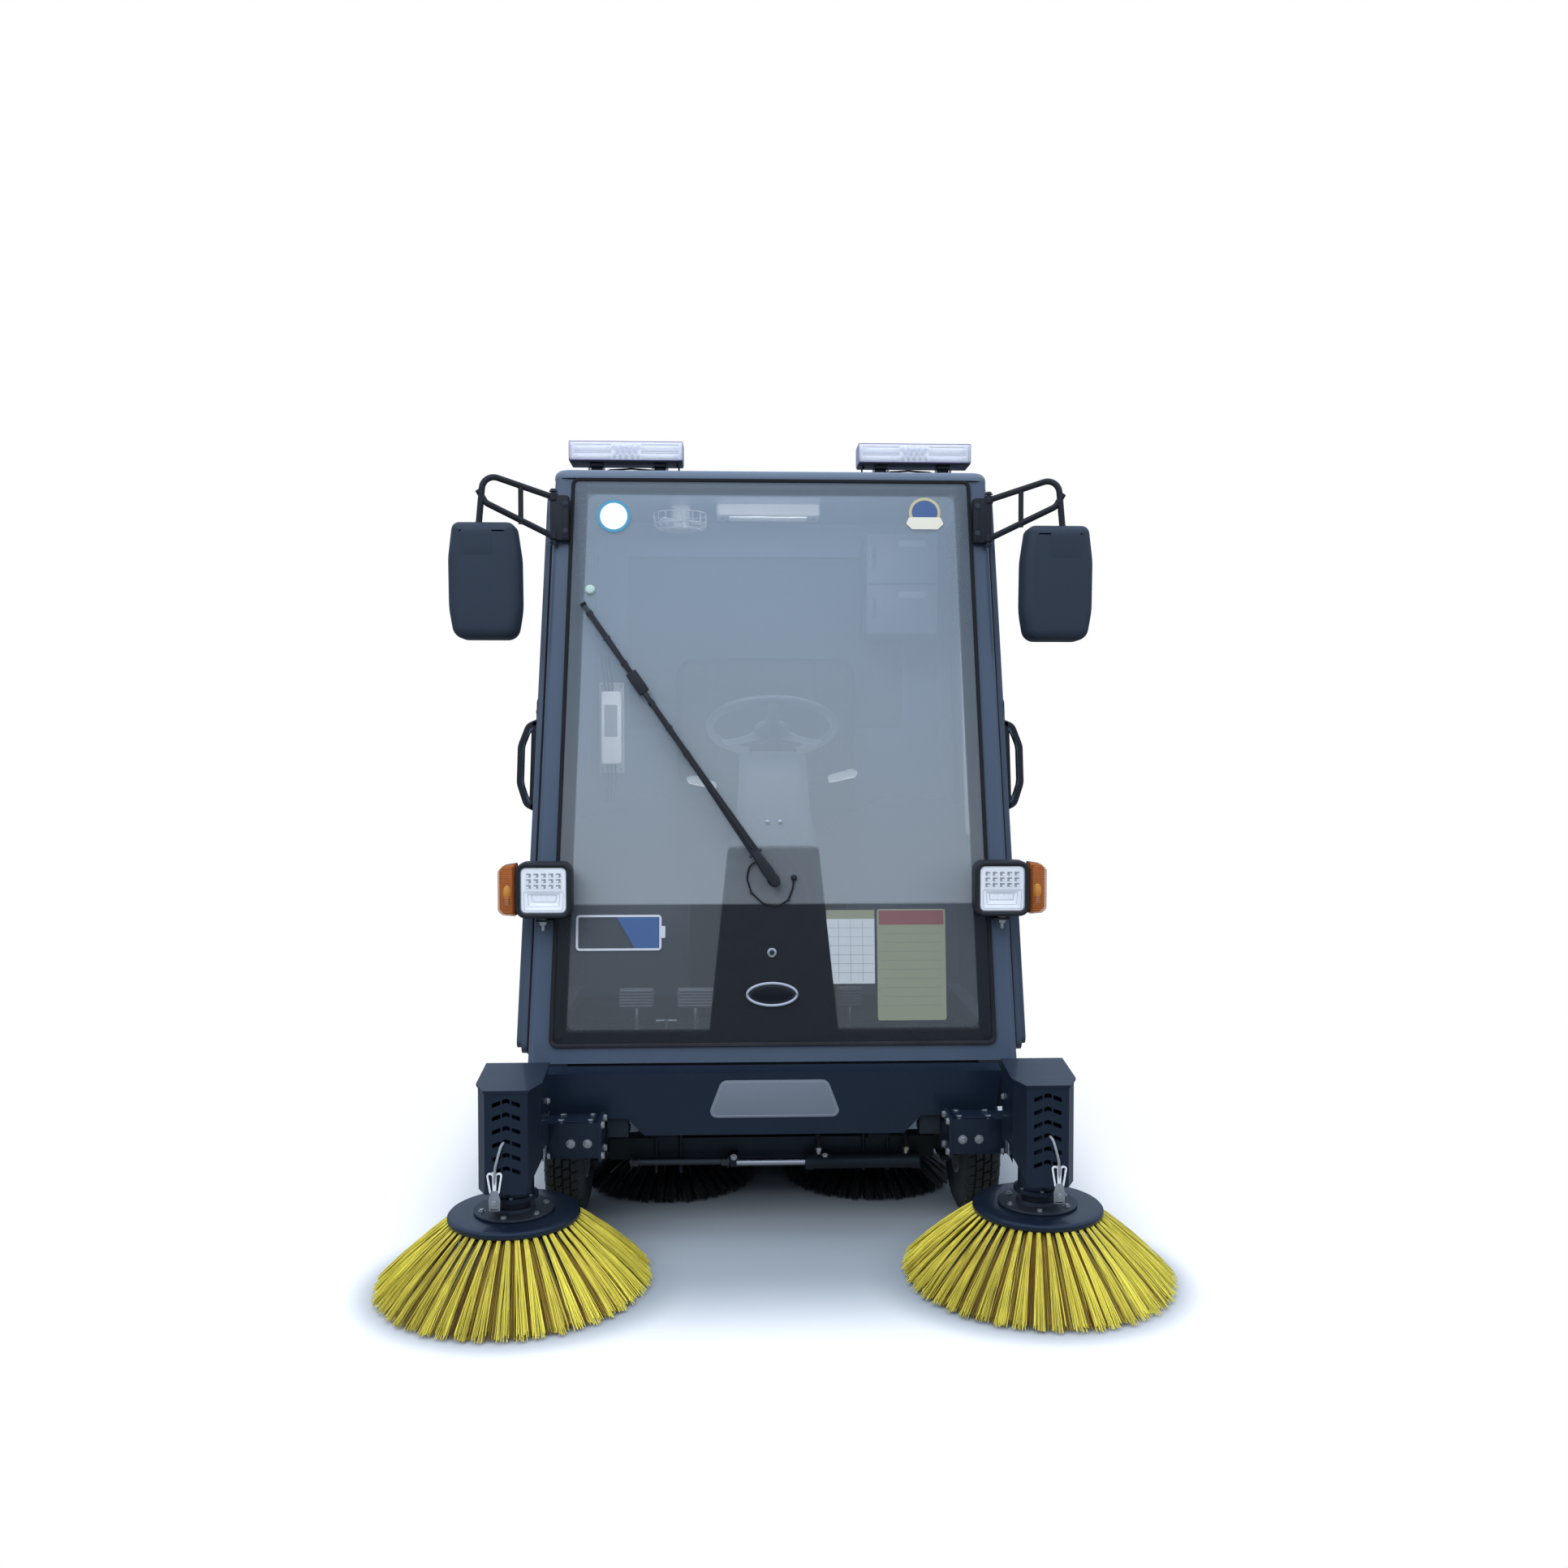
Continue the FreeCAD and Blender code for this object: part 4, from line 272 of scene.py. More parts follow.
def tyre_rubber():
    finish = Finish("tyre_rubber", (0.014, 0.017, 0.021), 0.8)
    finish.set("Base Color", finish.dusty((0.08, 0.086, 0.092), 0.8, 0.0, 0.5)[0])
    finish.bump(finish.noise(320.0, 4.0), 0.35, 0.0008)
    return finish.material


M["tyre"] = tyre_rubber()


def glass(name, tint, veil):
    """Clear sheet with a light veil painted on it as the sky's reflection, so that it stays see-through."""
    finish = Finish(name, tint, 0.03, specular=0.6)
    finish.set("Alpha", veil)
    finish.bump(finish.noise(6.0, 2.0), 0.02, 0.002)
    return finish.material


M["side_glass"] = glass("side_glass", (0.085, 0.11, 0.145), 0.5)
M["rear_glass"] = glass("rear_glass", (0.05, 0.064, 0.084), 0.93)


def screen_glass():
    """The windscreen: a veil painted as the sky's reflection, paler low down and bluer higher up, above the
    dash line, a thin one below it and less over the print.
    """
    finish = Finish("windscreen_veil", (0.2, 0.25, 0.33), 0.02, specular=0.5)
    across = finish.axes()[0].size()
    z = finish.axes()[2]
    # painted reflection of the sky: pale low on the screen and bluer higher up
    climb = z.ramp(0.75, 1.95)
    pale = (0.37, 0.405, 0.425)
    blue = (0.3, 0.365, 0.43)
    rise = z - SILL_Z
    # the print: a border on the screen's rim and the panel that stands up from its foot
    side = (0.5923 - rise * 0.0292 - across).ramp(0.036, 0.044)
    ends = rise.ramp(0.08, 0.092) * (1.0 - rise.ramp(1.53, 1.54))
    panel = (0.1807 - rise * 0.1018 - across).ramp(-0.004, 0.004) * (1.0 - rise.ramp(0.56, 0.572))
    clear = side * ends * (1.0 - panel)
    finish.set("Base Color", finish.mix(climb, pale, blue))
    lower = z.ramp(0.878, 0.886)
    cloud = finish.noise(2.2, 2.0)
    above = (0.5 - 0.08 * climb + (cloud - 0.5) * 0.08) * (0.58 + 0.42 * clear)
    below = 0.018 + 0.075 * clear
    finish.set("Alpha", below + (above - below) * lower)
    return finish.material


M["screen"] = screen_glass()


def lens(name, base, veil, rough=0.08, ribs=None):
    finish = Finish(name, base, rough, specular=0.7)
    finish.set("Alpha", veil)
    if ribs:
        axis, pitch = ribs
        along = finish.axes()[axis]
        finish.bump((along * (2 * math.pi / pitch)).sine(), 0.6, 0.001)
    return finish.material


M["clear_lens"] = lens("clear_lens", (0.8, 0.83, 0.88), 0.16)
M["bar_lens"] = lens("bar_lens", (0.78, 0.8, 0.88), 0.3, 0.06)
M["amber"] = lens("amber_lens", (0.56, 0.15, 0.02), 0.52, 0.1, (2, 0.006))
M["red"] = lens("red_lens", (0.45, 0.012, 0.01), 0.85, 0.1, (2, 0.008))
M["bulb"] = plastic("bulb", (0.95, 0.62, 0.1), 0.2, dust=0.0)
M["reflector"] = metal("reflector", (0.93, 0.94, 0.96), 0.12, 0.0)
M["lamp_white"] = plastic("lamp_white", (0.86, 0.88, 0.9), 0.22, dust=0.0)
# a faint glow painted into this white plastic as light, lifting the shade in the headlamps' recessed
# reflector
glow = M["lamp_white"].node_tree.nodes["Principled BSDF"].inputs
glow["Emission Color"].default_value = (0.8, 0.86, 0.92, 1.0)
glow["Emission Strength"].default_value = 0.08
M["mirror_glass"] = metal("mirror_glass", (0.85, 0.88, 0.9), 0.02, 0.0)
M["chrome"] = metal("chrome", (0.82, 0.83, 0.85), 0.1, 0.05)
M["bar_edge"] = lens("bar_edge", (0.16, 0.14, 0.34), 0.75)
FLAT = {
    "lamp_grey": (0.36, 0.37, 0.39),
    # dark patch of painted shade on the headlamps' chips
    "lamp_dark": (0.03, 0.032, 0.036),
    "led_grey": (0.15, 0.155, 0.165),
    "amber_deep": (0.2, 0.06, 0.016),
    "pale_green": (0.38, 0.52, 0.46),
    "sign_white": (0.8, 0.81, 0.82),
    "sign_teal": (0.045, 0.24, 0.36),
    "sign_gold": (0.46, 0.4, 0.24),
    "sign_blue": (0.055, 0.105, 0.23),
    "sign_cream": (0.66, 0.63, 0.52),
    "sign_silver": (0.5, 0.52, 0.55),
    "sheet_white": (0.55, 0.57, 0.58),
    "sheet_olive": (0.24, 0.25, 0.15),
    "sheet_red": (0.2, 0.045, 0.04),
    "sheet_line": (0.13, 0.14, 0.13),
    "plate_grey": (0.15, 0.176, 0.208),
    "plate_rim": (0.24, 0.27, 0.31),
    # the next two: black plastic of the column, wheel and pedals, given greys as a painted sheen
    "trim_dark": (0.15, 0.175, 0.21),
    "wheel_grey": (0.105, 0.12, 0.145),
    "grip_pale": (0.5, 0.53, 0.55),
    "cabinet": (0.055, 0.07, 0.095),
    "cabinet_light": (0.12, 0.14, 0.17),
}
for name, tone in FLAT.items():
    M[name] = plastic(name, tone, 0.35, 600.0, 0.05, dust=0.0)


def bristle(name, light, deep, rough, low, high):
    """Nylon strands: each has its own shade, and they are painted darker higher up, towards the roots, as
    shade under the disc.
    """
    finish = Finish(name, light, rough, specular=0.4)
    shade = finish.value("ShaderNodeAttribute", {"attribute_name": "shade"}, {}, "Fac")
    # painted shade: darker higher up, where the roots sit under the disc
    root = finish.axes()[2].ramp(low, high)
    tone = finish.mix(shade, light, deep)
    finish.set("Base Color", finish.mix(root * 0.18, tone, deep))
    return finish.material


M["yellow"] = bristle("yellow_bristle", (0.97, 0.86, 0.11), (0.19, 0.1, 0.012), 0.38, 0.06, 0.17)
M["dark_bristle"] = bristle("black_bristle", (0.022, 0.022, 0.024), (0.006, 0.006, 0.007), 0.42, 0.04, 0.12)


# outlines
def circle(radius, count, first=0.0):
    """Points evenly round a circle, from an angle on."""
    turns = [first + 2 * math.pi * k / count for k in range(count)]
    return [(radius * math.cos(a), radius * math.sin(a)) for a in turns]


def oval(rx, rz, steps=40, centre=(0.0, 0.0)):
    return [(centre[0] + rx * c, centre[1] + rz * s) for c, s in circle(1.0, steps)]


def rounded(points, radius, steps=5):
    """A closed 2-D outline with its corners rounded. radius is one number or one for each corner."""
    count = len(points)
    radii = radius if isinstance(radius, (list, tuple)) else [radius] * count
    result = []
    for i in range(count):
        here = Vector(points[i])
        before = Vector(points[i - 1]) - here
        after = Vector(points[(i + 1) % count]) - here
        r = radii[i]
        if r <= 0:
            result.append(tuple(here))
            continue
        u = before.normalized()
        v = after.normalized()
        half = math.acos(max(-1.0, min(1.0, u.dot(v)))) / 2
        reach = min(r / math.tan(half), before.length * 0.48, after.length * 0.48)
        r = reach * math.tan(half)
        centre = here + (u + v).normalized() * (r / math.sin(half))
        start = here + u * reach - centre
        end = here + v * reach - centre
        turn = math.atan2(start.x * end.y - start.y * end.x, start.dot(end))
        for k in range(steps + 1):
            a = turn * k / steps
            c, s = math.cos(a), math.sin(a)
            result.append((centre.x + start.x * c - start.y * s, centre.y + start.x * s + start.y * c))
    return result


def rect(x0, x1, z0, z1, radius=0.0, steps=5):
    return rounded([(x0, z0), (x1, z0), (x1, z1), (x0, z1)], radius, steps)


def twin(half, centre=0.0):
    """An outline from its right half, listed upwards, and the mirror image of that half."""
    points = [(-half[0][0], half[0][1])] + half + [(-x, z) for x, z in half[:0:-1]]
    return [(centre + x, z) for x, z in points]


PLANES = {
    "XZ": lambda a, b, d: Vector((a, d, b)),
    "YZ": lambda a, b, d: Vector((d, a, b)),
    "XY": lambda a, b, d: Vector((a, b, d)),
}


class Piece:
    """Collects faces, each laid by place, and ends as one object on one body."""

    def __init__(self, name):
        self.name = name
        self.mesh = bmesh.new()
        self.materials = []
        self.place = Matrix.Identity(4)

    def use(self, material):
        material = M[material]
        if material not in self.materials:
            self.materials.append(material)
        return self.materials.index(material)

    def vert(self, point):
        return self.mesh.verts.new(self.place @ Vector(point))

    def face(self, verts, index, smooth):
        made = self.mesh.faces.new(verts)
        made.material_index = index
        made.smooth = smooth

    def rings(self, rings, material, caps=(True, True), smooth=True):
        """Skins a list of rings, each a list of points."""
        index = self.use(material)
        rows = [[self.vert(p) for p in ring] for ring in rings]
        count = len(rows[0])
        for low, high in zip(rows, rows[1:]):
            for k in range(count):
                n = (k + 1) % count
                self.face([low[k], low[n], high[n], high[k]], index, smooth)
        if caps[0]:
            self.face(rows[0][::-1], index, False)
        if caps[1]:
            self.face(rows[-1], index, False)

    def shrunk(self, outline, amount):
        """The outline moved inwards by an amount, or outwards by a negative one."""
        area = sum(a[0] * b[1] - b[0] * a[1] for a, b in zip(outline, outline[1:] + outline[:1]))
        turn = 1 if area > 0 else -1
        moved = []
        for before, here, after in zip(outline[-1:] + outline[:-1], outline, outline[1:] + outline[:1]):
            p = Vector(here)
            e0 = (p - Vector(before)).normalized()
            e1 = (Vector(after) - p).normalized()
            n0 = Vector((-e0.y, e0.x)) * turn
            n1 = Vector((-e1.y, e1.x)) * turn
            m = n0 + n1
            m = m / max(m.dot(n0), 0.3)
            moved.append(tuple(p + m * amount))
        return moved

    def slab(self, plane, outline, near, far, material, edge=0.0, steps=3, smooth=True):
        """An outline padded between two depths. edge rounds both rims, or gives each its own size."""
        lift = PLANES[plane]
        if not isinstance(edge, tuple):
            edge = (edge,) * 4
        turns = [math.pi / 2 * k / steps for k in range(steps + 1)]
        rows = [(0.0, near)]
        if edge[0] > 0:
            rows = [(edge[0] * (1 - math.sin(a)), near + edge[1] * (1 - math.cos(a))) for a in turns]
        if edge[2] > 0:
            rows += [(edge[2] * (1 - math.sin(a)), far - edge[3] * (1 - math.cos(a))) for a in turns[::-1]]
        else:
            rows.append((0.0, far))
        rings = [[lift(p[0], p[1], d) for p in self.shrunk(outline, inset)] for inset, d in rows]
        self.rings(rings, material, smooth=smooth)

    def frame(self, plane, outline, profile, material, smooth=True):
        """A closed profile of (inset, depth) corners that runs round an outline."""
        lift = PLANES[plane]
        rings = [[lift(p[0], p[1], d) for p in self.shrunk(outline, inset)] for inset, d in profile]
        self.rings(rings + rings[:1], material, caps=(False, False), smooth=smooth)

    def shell(self, outer, inner, material):
        """A closed skin between two grids of points."""
        index = self.use(material)
        grids = [[[self.vert(p) for p in row] for row in grid] for grid in (outer, inner)]
        rows, columns = len(outer), len(outer[0])
        for grid, turn in zip(grids, (1, -1)):
            for i in range(rows - 1):
                for k in range(columns - 1):
                    quad = [grid[i][k], grid[i][k + 1], grid[i + 1][k + 1], grid[i + 1][k]]
                    self.face(quad[::turn], index, True)
        border = [(0, k) for k in range(columns)] + [(i, columns - 1) for i in range(1, rows)]
        border += [(rows - 1, k) for k in range(columns - 2, -1, -1)]
        border += [(i, 0) for i in range(rows - 2, 0, -1)]
        for (i, k), (m, n) in zip(border, border[1:] + border[:1]):
            self.face([grids[0][i][k], grids[1][i][k], grids[1][m][n], grids[0][m][n]], index, False)

    def box(self, low, high, material, edge=0.002):
        x0, y0, z0 = low
        x1, y1, z1 = high
        self.slab("XZ", [(x0, z0), (x1, z0), (x1, z1), (x0, z1)], y0, y1, material, edge, 2, False)

    def lathe(self, profile, centre, axis, material, steps=48, closed=False, smooth=True):
        """A profile of (radius, height) turned about an axis through a point."""
        axis = Vector(axis).normalized()
        turn = Vector((0, 0, 1)).rotation_difference(axis).to_matrix()
        centre = Vector(centre)
        rings = []
        for radius, height in profile:
            rings.append([centre + turn @ Vector((x, y, height)) for x, y in circle(radius, steps)])
        if closed:
            rings.append(rings[0])
        self.rings(rings, material, caps=(not closed, not closed), smooth=smooth)

    def rod(self, start, end, radius, material, steps=20, edge=0.0):
        start = Vector(start)
        axis = Vector(end) - start
        length = axis.length
        edge = min(edge, radius * 0.6)
        if edge > 0:
            profile = [(radius - edge, 0), (radius, edge), (radius, length - edge), (radius - edge, length)]
        else:
            profile = [(radius, 0), (radius, length)]
        self.lathe(profile, start, axis, material, steps)

    def tube(self, points, radius, material, bend=0.0, steps=12, parts=6):
        """A round tube through points, its corners turned as tangent arcs."""
        points = [Vector(p) for p in points]
        path = [points[0]]
        for i in range(1, len(points) - 1):
            here = points[i]
            u = points[i - 1] - here
            v = points[i + 1] - here
            half = u.angle(v) / 2
            reach = min(bend / math.tan(half) if bend else 0.0, u.length * 0.49, v.length * 0.49)
            if reach <= 1e-6:
                path.append(here)
                continue
            u = u.normalized()
            v = v.normalized()
            r = reach * math.tan(half)
            centre = here + (u + v).normalized() * (r / math.sin(half))
            start = here + u * reach - centre
            end = here + v * reach - centre
            total = start.angle(end)
            normal = start.cross(end).normalized()
            for k in range(parts + 1):
                path.append(centre + Matrix.Rotation(total * k / parts, 3, normal) @ start)
        path.append(points[-1])
        side = None
        rings = []
        for i, here in enumerate(path):
            ahead = path[min(i + 1, len(path) - 1)] - path[max(i - 1, 0)]
            ahead = ahead.normalized()
            if side is None:
                side = ahead.orthogonal().normalized()
            side = (side - ahead * side.dot(ahead)).normalized()
            up = ahead.cross(side)
            rings.append([here + side * x + up * y for x, y in circle(radius, steps)])
        self.rings(rings, material)

    def bolt(self, seat, axis, size, material="steel", tall=0.7, washer=True):
        """A hexagon head on its washer. size is half of the width across the corners."""
        axis = Vector(axis).normalized()
        seat = Vector(seat)
        start = 0.0
        if washer:
            start = size * 0.22
            self.lathe([(size * 1.35, 0), (size * 1.35, start)], seat, axis, material, 20)
        top = start + size * tall
        head = [(size, start), (size, top - size * 0.12), (size * 0.86, top)]
        self.lathe(head, seat, axis, material, 6, smooth=False)

    def baked(self):
        """The faces so far as a mesh."""
        bmesh.ops.recalc_face_normals(self.mesh, faces=self.mesh.faces)
        data = bpy.data.meshes.new(self.name)
        self.mesh.to_mesh(data)
        self.mesh.free()
        for material in self.materials:
            data.materials.append(material)
        return data

    def done(self, body, replaces, sharp_angle):
        """Ends the piece: smooth shading that keeps the edges over an angle sharp."""
        data = self.baked()
        for polygon in data.polygons:
            polygon.use_smooth = True
        data.set_sharp_from_angle(angle=math.radians(sharp_angle))
        ride(self.name, data, body, replaces)


def ride(name, data, body, replaces):
    """An object of the mesh that rides on a body, in place of the named nodes."""
    thing = bpy.data.objects.new(name, data)
    bpy.context.scene.collection.objects.link(thing)
    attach(thing, body)
    if replaces:
        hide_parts(*replaces)


# finishes of the solids
def both(*names):
    """The names of nodes that are there on the right and on the left."""
    return [f"{name}_{side}" for name in names for side, sign in SIDES]


WORN_BY = {
    "slate": ["cab_frame", "rear_body", *both("door")],
    "roof": ["cab_roof"],
    "navy": ["front_bumper", "rear_hatch", *both("brush_cover", "front_arm", "front_disc")],
    "chassis": ["chassis_rails", "chassis_crossmembers", "roller_hood", "dust_hopper", "front_axle",
                "rear_axle", *both("second_arm", "knuckle")],
    "black": ["cab_floor", "side_skirts", "headlamps", "steering_column", "steering_wheel", "seat_base",
              "pedals", "wiper"],
    "screen": ["windscreen"],
    "print": ["windscreen_print"],
    "rear_glass": ["rear_window"],
    "side_glass": ["door_right_glass", "door_left_glass"],
    "yellow": both("front_bristles"),
    "dark_bristle": ["roller_brush", *both("second_brush")],
    "battery": ["battery_block"],
    "red": ["tail_lamps"],
    "amber": ["indicator_lamps"],
    "bar_lens": ["light_bars"],
    "dark_steel": ["steering_linkage"],
    "mirror_shell": ["mirrors"],
    "seat": ["seat_cushion", "seat_back"],
    "grey": ["cab_fittings"],
    "tyre": both("tyre_front", "tyre_rear"),
    "rim": both("rim_front", "rim_rear"),
}
for finish, names in WORN_BY.items():
    for name in names:
        materials = nodes[name].data.materials
        materials.clear()
        materials.append(M[finish])


# bristles, grown by geometry nodes
class Grove(Graph):
    """A geometry node group that ends as a plain mesh."""

    def __init__(self, name, settings):
        tree = bpy.data.node_groups.new(name, "GeometryNodeTree")
        super().__init__(tree)
        tree.interface.new_socket("Geometry", in_out="INPUT", socket_type="NodeSocketGeometry")
        self.settings = settings
        self.sockets = {}
        for key, value in settings.items():
            kind = "NodeSocketInt" if isinstance(value, int) else "NodeSocketFloat"
            self.sockets[key] = tree.interface.new_socket(key, in_out="INPUT", socket_type=kind)
        tree.interface.new_socket("Geometry", in_out="OUTPUT", socket_type="NodeSocketGeometry")
        self.start = tree.nodes.new("NodeGroupInput")
        self.end = tree.nodes.new("NodeGroupOutput")

    def get(self, key):
        return Value(self, self.start.outputs[key])

    def chance(self, seed, low=0.0, high=1.0, key=None):
        """A random number for each strand, or for each tuft where a key is given."""
        node = self.make("FunctionNodeRandomValue", {"data_type": "FLOAT"}, {"Seed": seed})
        self.feed(node.inputs[2], low)
        self.feed(node.inputs[3], high)
        if key is not None:
            self.feed(node.inputs["ID"], key)
        return Value(self, node.outputs[1])

    def vector(self, x, y, z):
        return self.value("ShaderNodeCombineXYZ", {}, {0: x, 1: y, 2: z})

    def strung(self, curves, where, shade, radius):
        """Strands laid out and turned into threads of three sides, each with its shade."""
        laid = self.make("GeometryNodeSetPosition", {}, {"Geometry": curves, "Position": where})
        kind = {"data_type": "FLOAT", "domain": "POINT"}
        inputs = {"Geometry": laid.outputs[0], "Name": "shade", "Value": shade}
        stored = self.make("GeometryNodeStoreNamedAttribute", kind, inputs)
        ring = self.make("GeometryNodeCurvePrimitiveCircle", {}, {"Resolution": 3, "Radius": radius})
        inputs = {"Curve": stored.outputs[0], "Profile Curve": ring.outputs[0], "Fill Caps": True}
        return self.make("GeometryNodeCurveToMesh", {}, inputs).outputs[0]

    def grow(self, name, geometry, material, template=None, smooth=True):
        """Ends the tree, runs it once and returns the mesh. template is the mesh that goes in."""
        finished = self.make("GeometryNodeSetMaterial", {}, {"Geometry": geometry, "Material": material})
        self.feed(self.end.inputs[0], finished.outputs[0])
        carrier = bpy.data.objects.new(name + "_seed", template or bpy.data.meshes.new(name + "_seed"))
        bpy.context.scene.collection.objects.link(carrier)
        modifier = carrier.modifiers.new("grow", "NODES")
        modifier.node_group = self.tree
        for key, value in self.settings.items():
            modifier[self.sockets[key].identifier] = value
        bpy.context.view_layer.update()
        ready = carrier.evaluated_get(bpy.context.evaluated_depsgraph_get())
        mesh = bpy.data.meshes.new_from_object(ready)
        mesh.name = name
        bpy.data.objects.remove(carrier)
        mesh.materials.clear()
        mesh.materials.append(material)
        for polygon in mesh.polygons:
            polygon.use_smooth = smooth
        return mesh


def strands(group, count, segments):
    """count unit curves, with the strand's number and the share along it as fields."""
    line = group.make("GeometryNodeCurvePrimitiveLine", {}, {})
    fine = group.make("GeometryNodeResampleCurve", {}, {"Curve": line.outputs[0], "Count": segments + 1})
    seeds = group.make("GeometryNodeMeshLine", {}, {"Count": count})
    inputs = {"Points": seeds.outputs[0], "Instance": fine.outputs[0]}
    spread = group.make("GeometryNodeInstanceOnPoints", {}, inputs)
    real = group.make("GeometryNodeRealizeInstances", {}, {"Geometry": spread.outputs[0]})
    number = group.value("GeometryNodeCurveOfPoint", {}, {}, 0)
    share = group.value("GeometryNodeSplineParameter", {}, {}, 0)
    return real.outputs[0], number, share


def skirt(name, settings, material):
    """A flared skirt of tufts round +Z, its top ring at root_z and its tips at tip_z."""
    g = Grove(name, settings)
    total = (g.get("tufts") * g.get("rows") * g.get("per_tuft")).floor()
    curves, number, share = strands(g, total, 4)
    tuft = (number / g.get("per_tuft")).floor()
    row = (tuft / g.get("tufts")).floor()
    seed = g.get("seed")
    turn = (tuft + row * 0.5) * (2 * math.pi) / g.get("tufts")
    turn = turn + g.chance(seed + 1, -0.012, 0.012, tuft)
    inward = row * g.get("row_gap")
    # root inside the tuft's hole
    spin = g.chance(seed + 2, 0.0, 6.2832, number)
    reach = g.chance(seed + 3, 0.0, 1.0, number).power(0.5)
    hole = g.get("hole")
    root_r = g.get("root_radius") - inward + reach * spin.sine() * hole
    root_side = reach * (spin + 1.5708).sine() * hole
    # tip, spread out and ragged
    fan = g.get("fan")
    far = g.chance(seed + 4, -1.0, 1.0, number)
    wide = g.chance(seed + 5, -1.0, 1.0, number)
    lean = g.chance(seed + 6, -1.0, 1.0, tuft)
    tip_r = g.get("tip_radius") - inward * 0.5 + (far - 1.0) * fan * 0.6 + lean * fan * 0.15
    tip_side = root_side + (wide * 0.75 + lean * 0.3) * fan
    tip_z = g.get("tip_z") + g.chance(seed + 7, 0.0, 1.0, number).power(2.0) * g.get("ragged")
    bow = share * (1.0 - share) * g.get("bow") * (1.0 + 0.4 * g.chance(seed + 8, -1.0, 1.0, number))
    r = root_r + (tip_r - root_r) * share + bow
    side = root_side + (tip_side - root_side) * share
    z = g.get("root_z") + (tip_z - g.get("root_z")) * share + bow
    c = (turn + 1.5708).sine()
    s = turn.sine()
    where = g.vector(r * c - side * s, r * s + side * c, z)
    # a random tone for each strand and each tuft, plus painted shade on the inner row behind
    shade = g.chance(seed + 9, 0.0, 0.36, number) + g.chance(seed + 10, 0.0, 0.24, tuft) + row * 0.66
    return g.grow(name, g.strung(curves, where, shade, g.get("thick")), material)


def settle(name, mesh, matrix, body, replaces):
    """A copy of a mesh in its place, as an object on a body."""
    copy = mesh.copy()
    copy.transform(matrix)
    ride(name, copy, body, replaces)


BRUSH_X, BRUSH_Y = 0.64, -0.86
DISC_TOP = 0.183
FRONT_SKIRT = {
    "tufts": 46,
    "rows": 2,
    "per_tuft": int(38 * THIN),
    "seed": 3,
    "root_radius": 0.15,
    "row_gap": 0.022,
    "hole": 0.0052,
    "root_z": DISC_TOP - 0.016,
    "tip_radius": 0.334,
    "tip_z": 0.0055,
    "fan": 0.018,
    "ragged": 0.016,
    "bow": 0.016,
    "thick": 0.00095,
}
SECOND_SKIRT = {
    **FRONT_SKIRT,
    "tufts": 38,
    "per_tuft": int(24 * THIN),
    "seed": 40,
    "root_radius": 0.108,
    "row_gap": 0.02,
    "hole": 0.005,
    "root_z": 0.11,
    "tip_radius": 0.259,
    "fan": 0.014,
    "ragged": 0.012,
    "bow": 0.014,
}
SECOND_X, SECOND_Y = 0.3, -0.08
ORIGIN = (0, 0, 0)
UP = (0, 0, 1)
DOWN = (0, 0, -1)
FORWARD = (0, -1, 0)
BACKWARD = (0, 1, 0)
SIDEWAYS = (1, 0, 0)
front_skirt = skirt("front_skirt", FRONT_SKIRT, M["yellow"])
for side, sign in SIDES:
    place = Matrix.Translation((sign * BRUSH_X, BRUSH_Y, 0))
    settle(f"yellow_bristles_{side}", front_skirt, place, f"front_brush_{side}",
           [f"front_bristles_{side}"])
second_skirt = skirt("second_skirt", SECOND_SKIRT, M["dark_bristle"])


# brush discs
def second_brush(side, place):
    body = f"second_brush_{side}"
    settle(f"black_bristles_{side}", second_skirt, place, body, [body])
    disc = Piece(f"second_disc_{side}")
    disc.place = place
    disc.lathe([(0.0, 0.102), (0.112, 0.102), (0.12, 0.108), (0.12, 0.118), (0.116, 0.122), (0.062, 0.122),
                (0.06, 0.13), (0.03, 0.13), (0.03, 0.1395), (0.0, 0.1395)], ORIGIN, UP, "chassis", 48)
    for x, y in circle(0.085, 6, math.pi / 6):
        disc.bolt((x, y, 0.122), UP, 0.0055)
    disc.done(body, (), 35)


def front_disc(side, place):
    disc = Piece(f"brush_disc_{side}")
    disc.place = place
    disc.lathe([(0.0, -0.0215), (0.142, -0.0215), (0.152, -0.0205), (0.1575, -0.017), (0.159, -0.012),
                (0.1585, -0.006), (0.155, -0.0022), (0.149, -0.0008), (0.12, 0.0), (0.112, -0.0006),
                (0.0, -0.0006)], ORIGIN, UP, "navy", 72)
    disc.lathe([(0.0, -0.0004), (0.0945, -0.0004), (0.0965, 0.0015), (0.0965, 0.0042), (0.094, 0.006),
                (0.052, 0.006), (0.05, 0.0135), (0.038, 0.0135), (0.038, 0.031), (0.0, 0.031)], ORIGIN, UP,
               "chassis", 64)
    for x, y in circle(0.078, 6, 0.35 * math.pi / 3):
        disc.bolt((x, y, 0.006), UP, 0.0062)
    # collars of the tufts' holes
    for x, y in circle(0.15, FRONT_SKIRT["tufts"]):
        disc.lathe([(0.0055, 0.0), (0.0072, -0.0012), (0.0075, -0.004)], (x, y, -0.0212), UP, "navy", 8)
    disc.done(f"front_brush_{side}", [f"front_disc_{side}"], 35)


for side, sign in SIDES:
    second_brush(side, Matrix.Translation((sign * SECOND_X, SECOND_Y, 0)))
for side, sign in SIDES:
    front_disc(side, Matrix.Translation((sign * BRUSH_X, BRUSH_Y, DISC_TOP)))


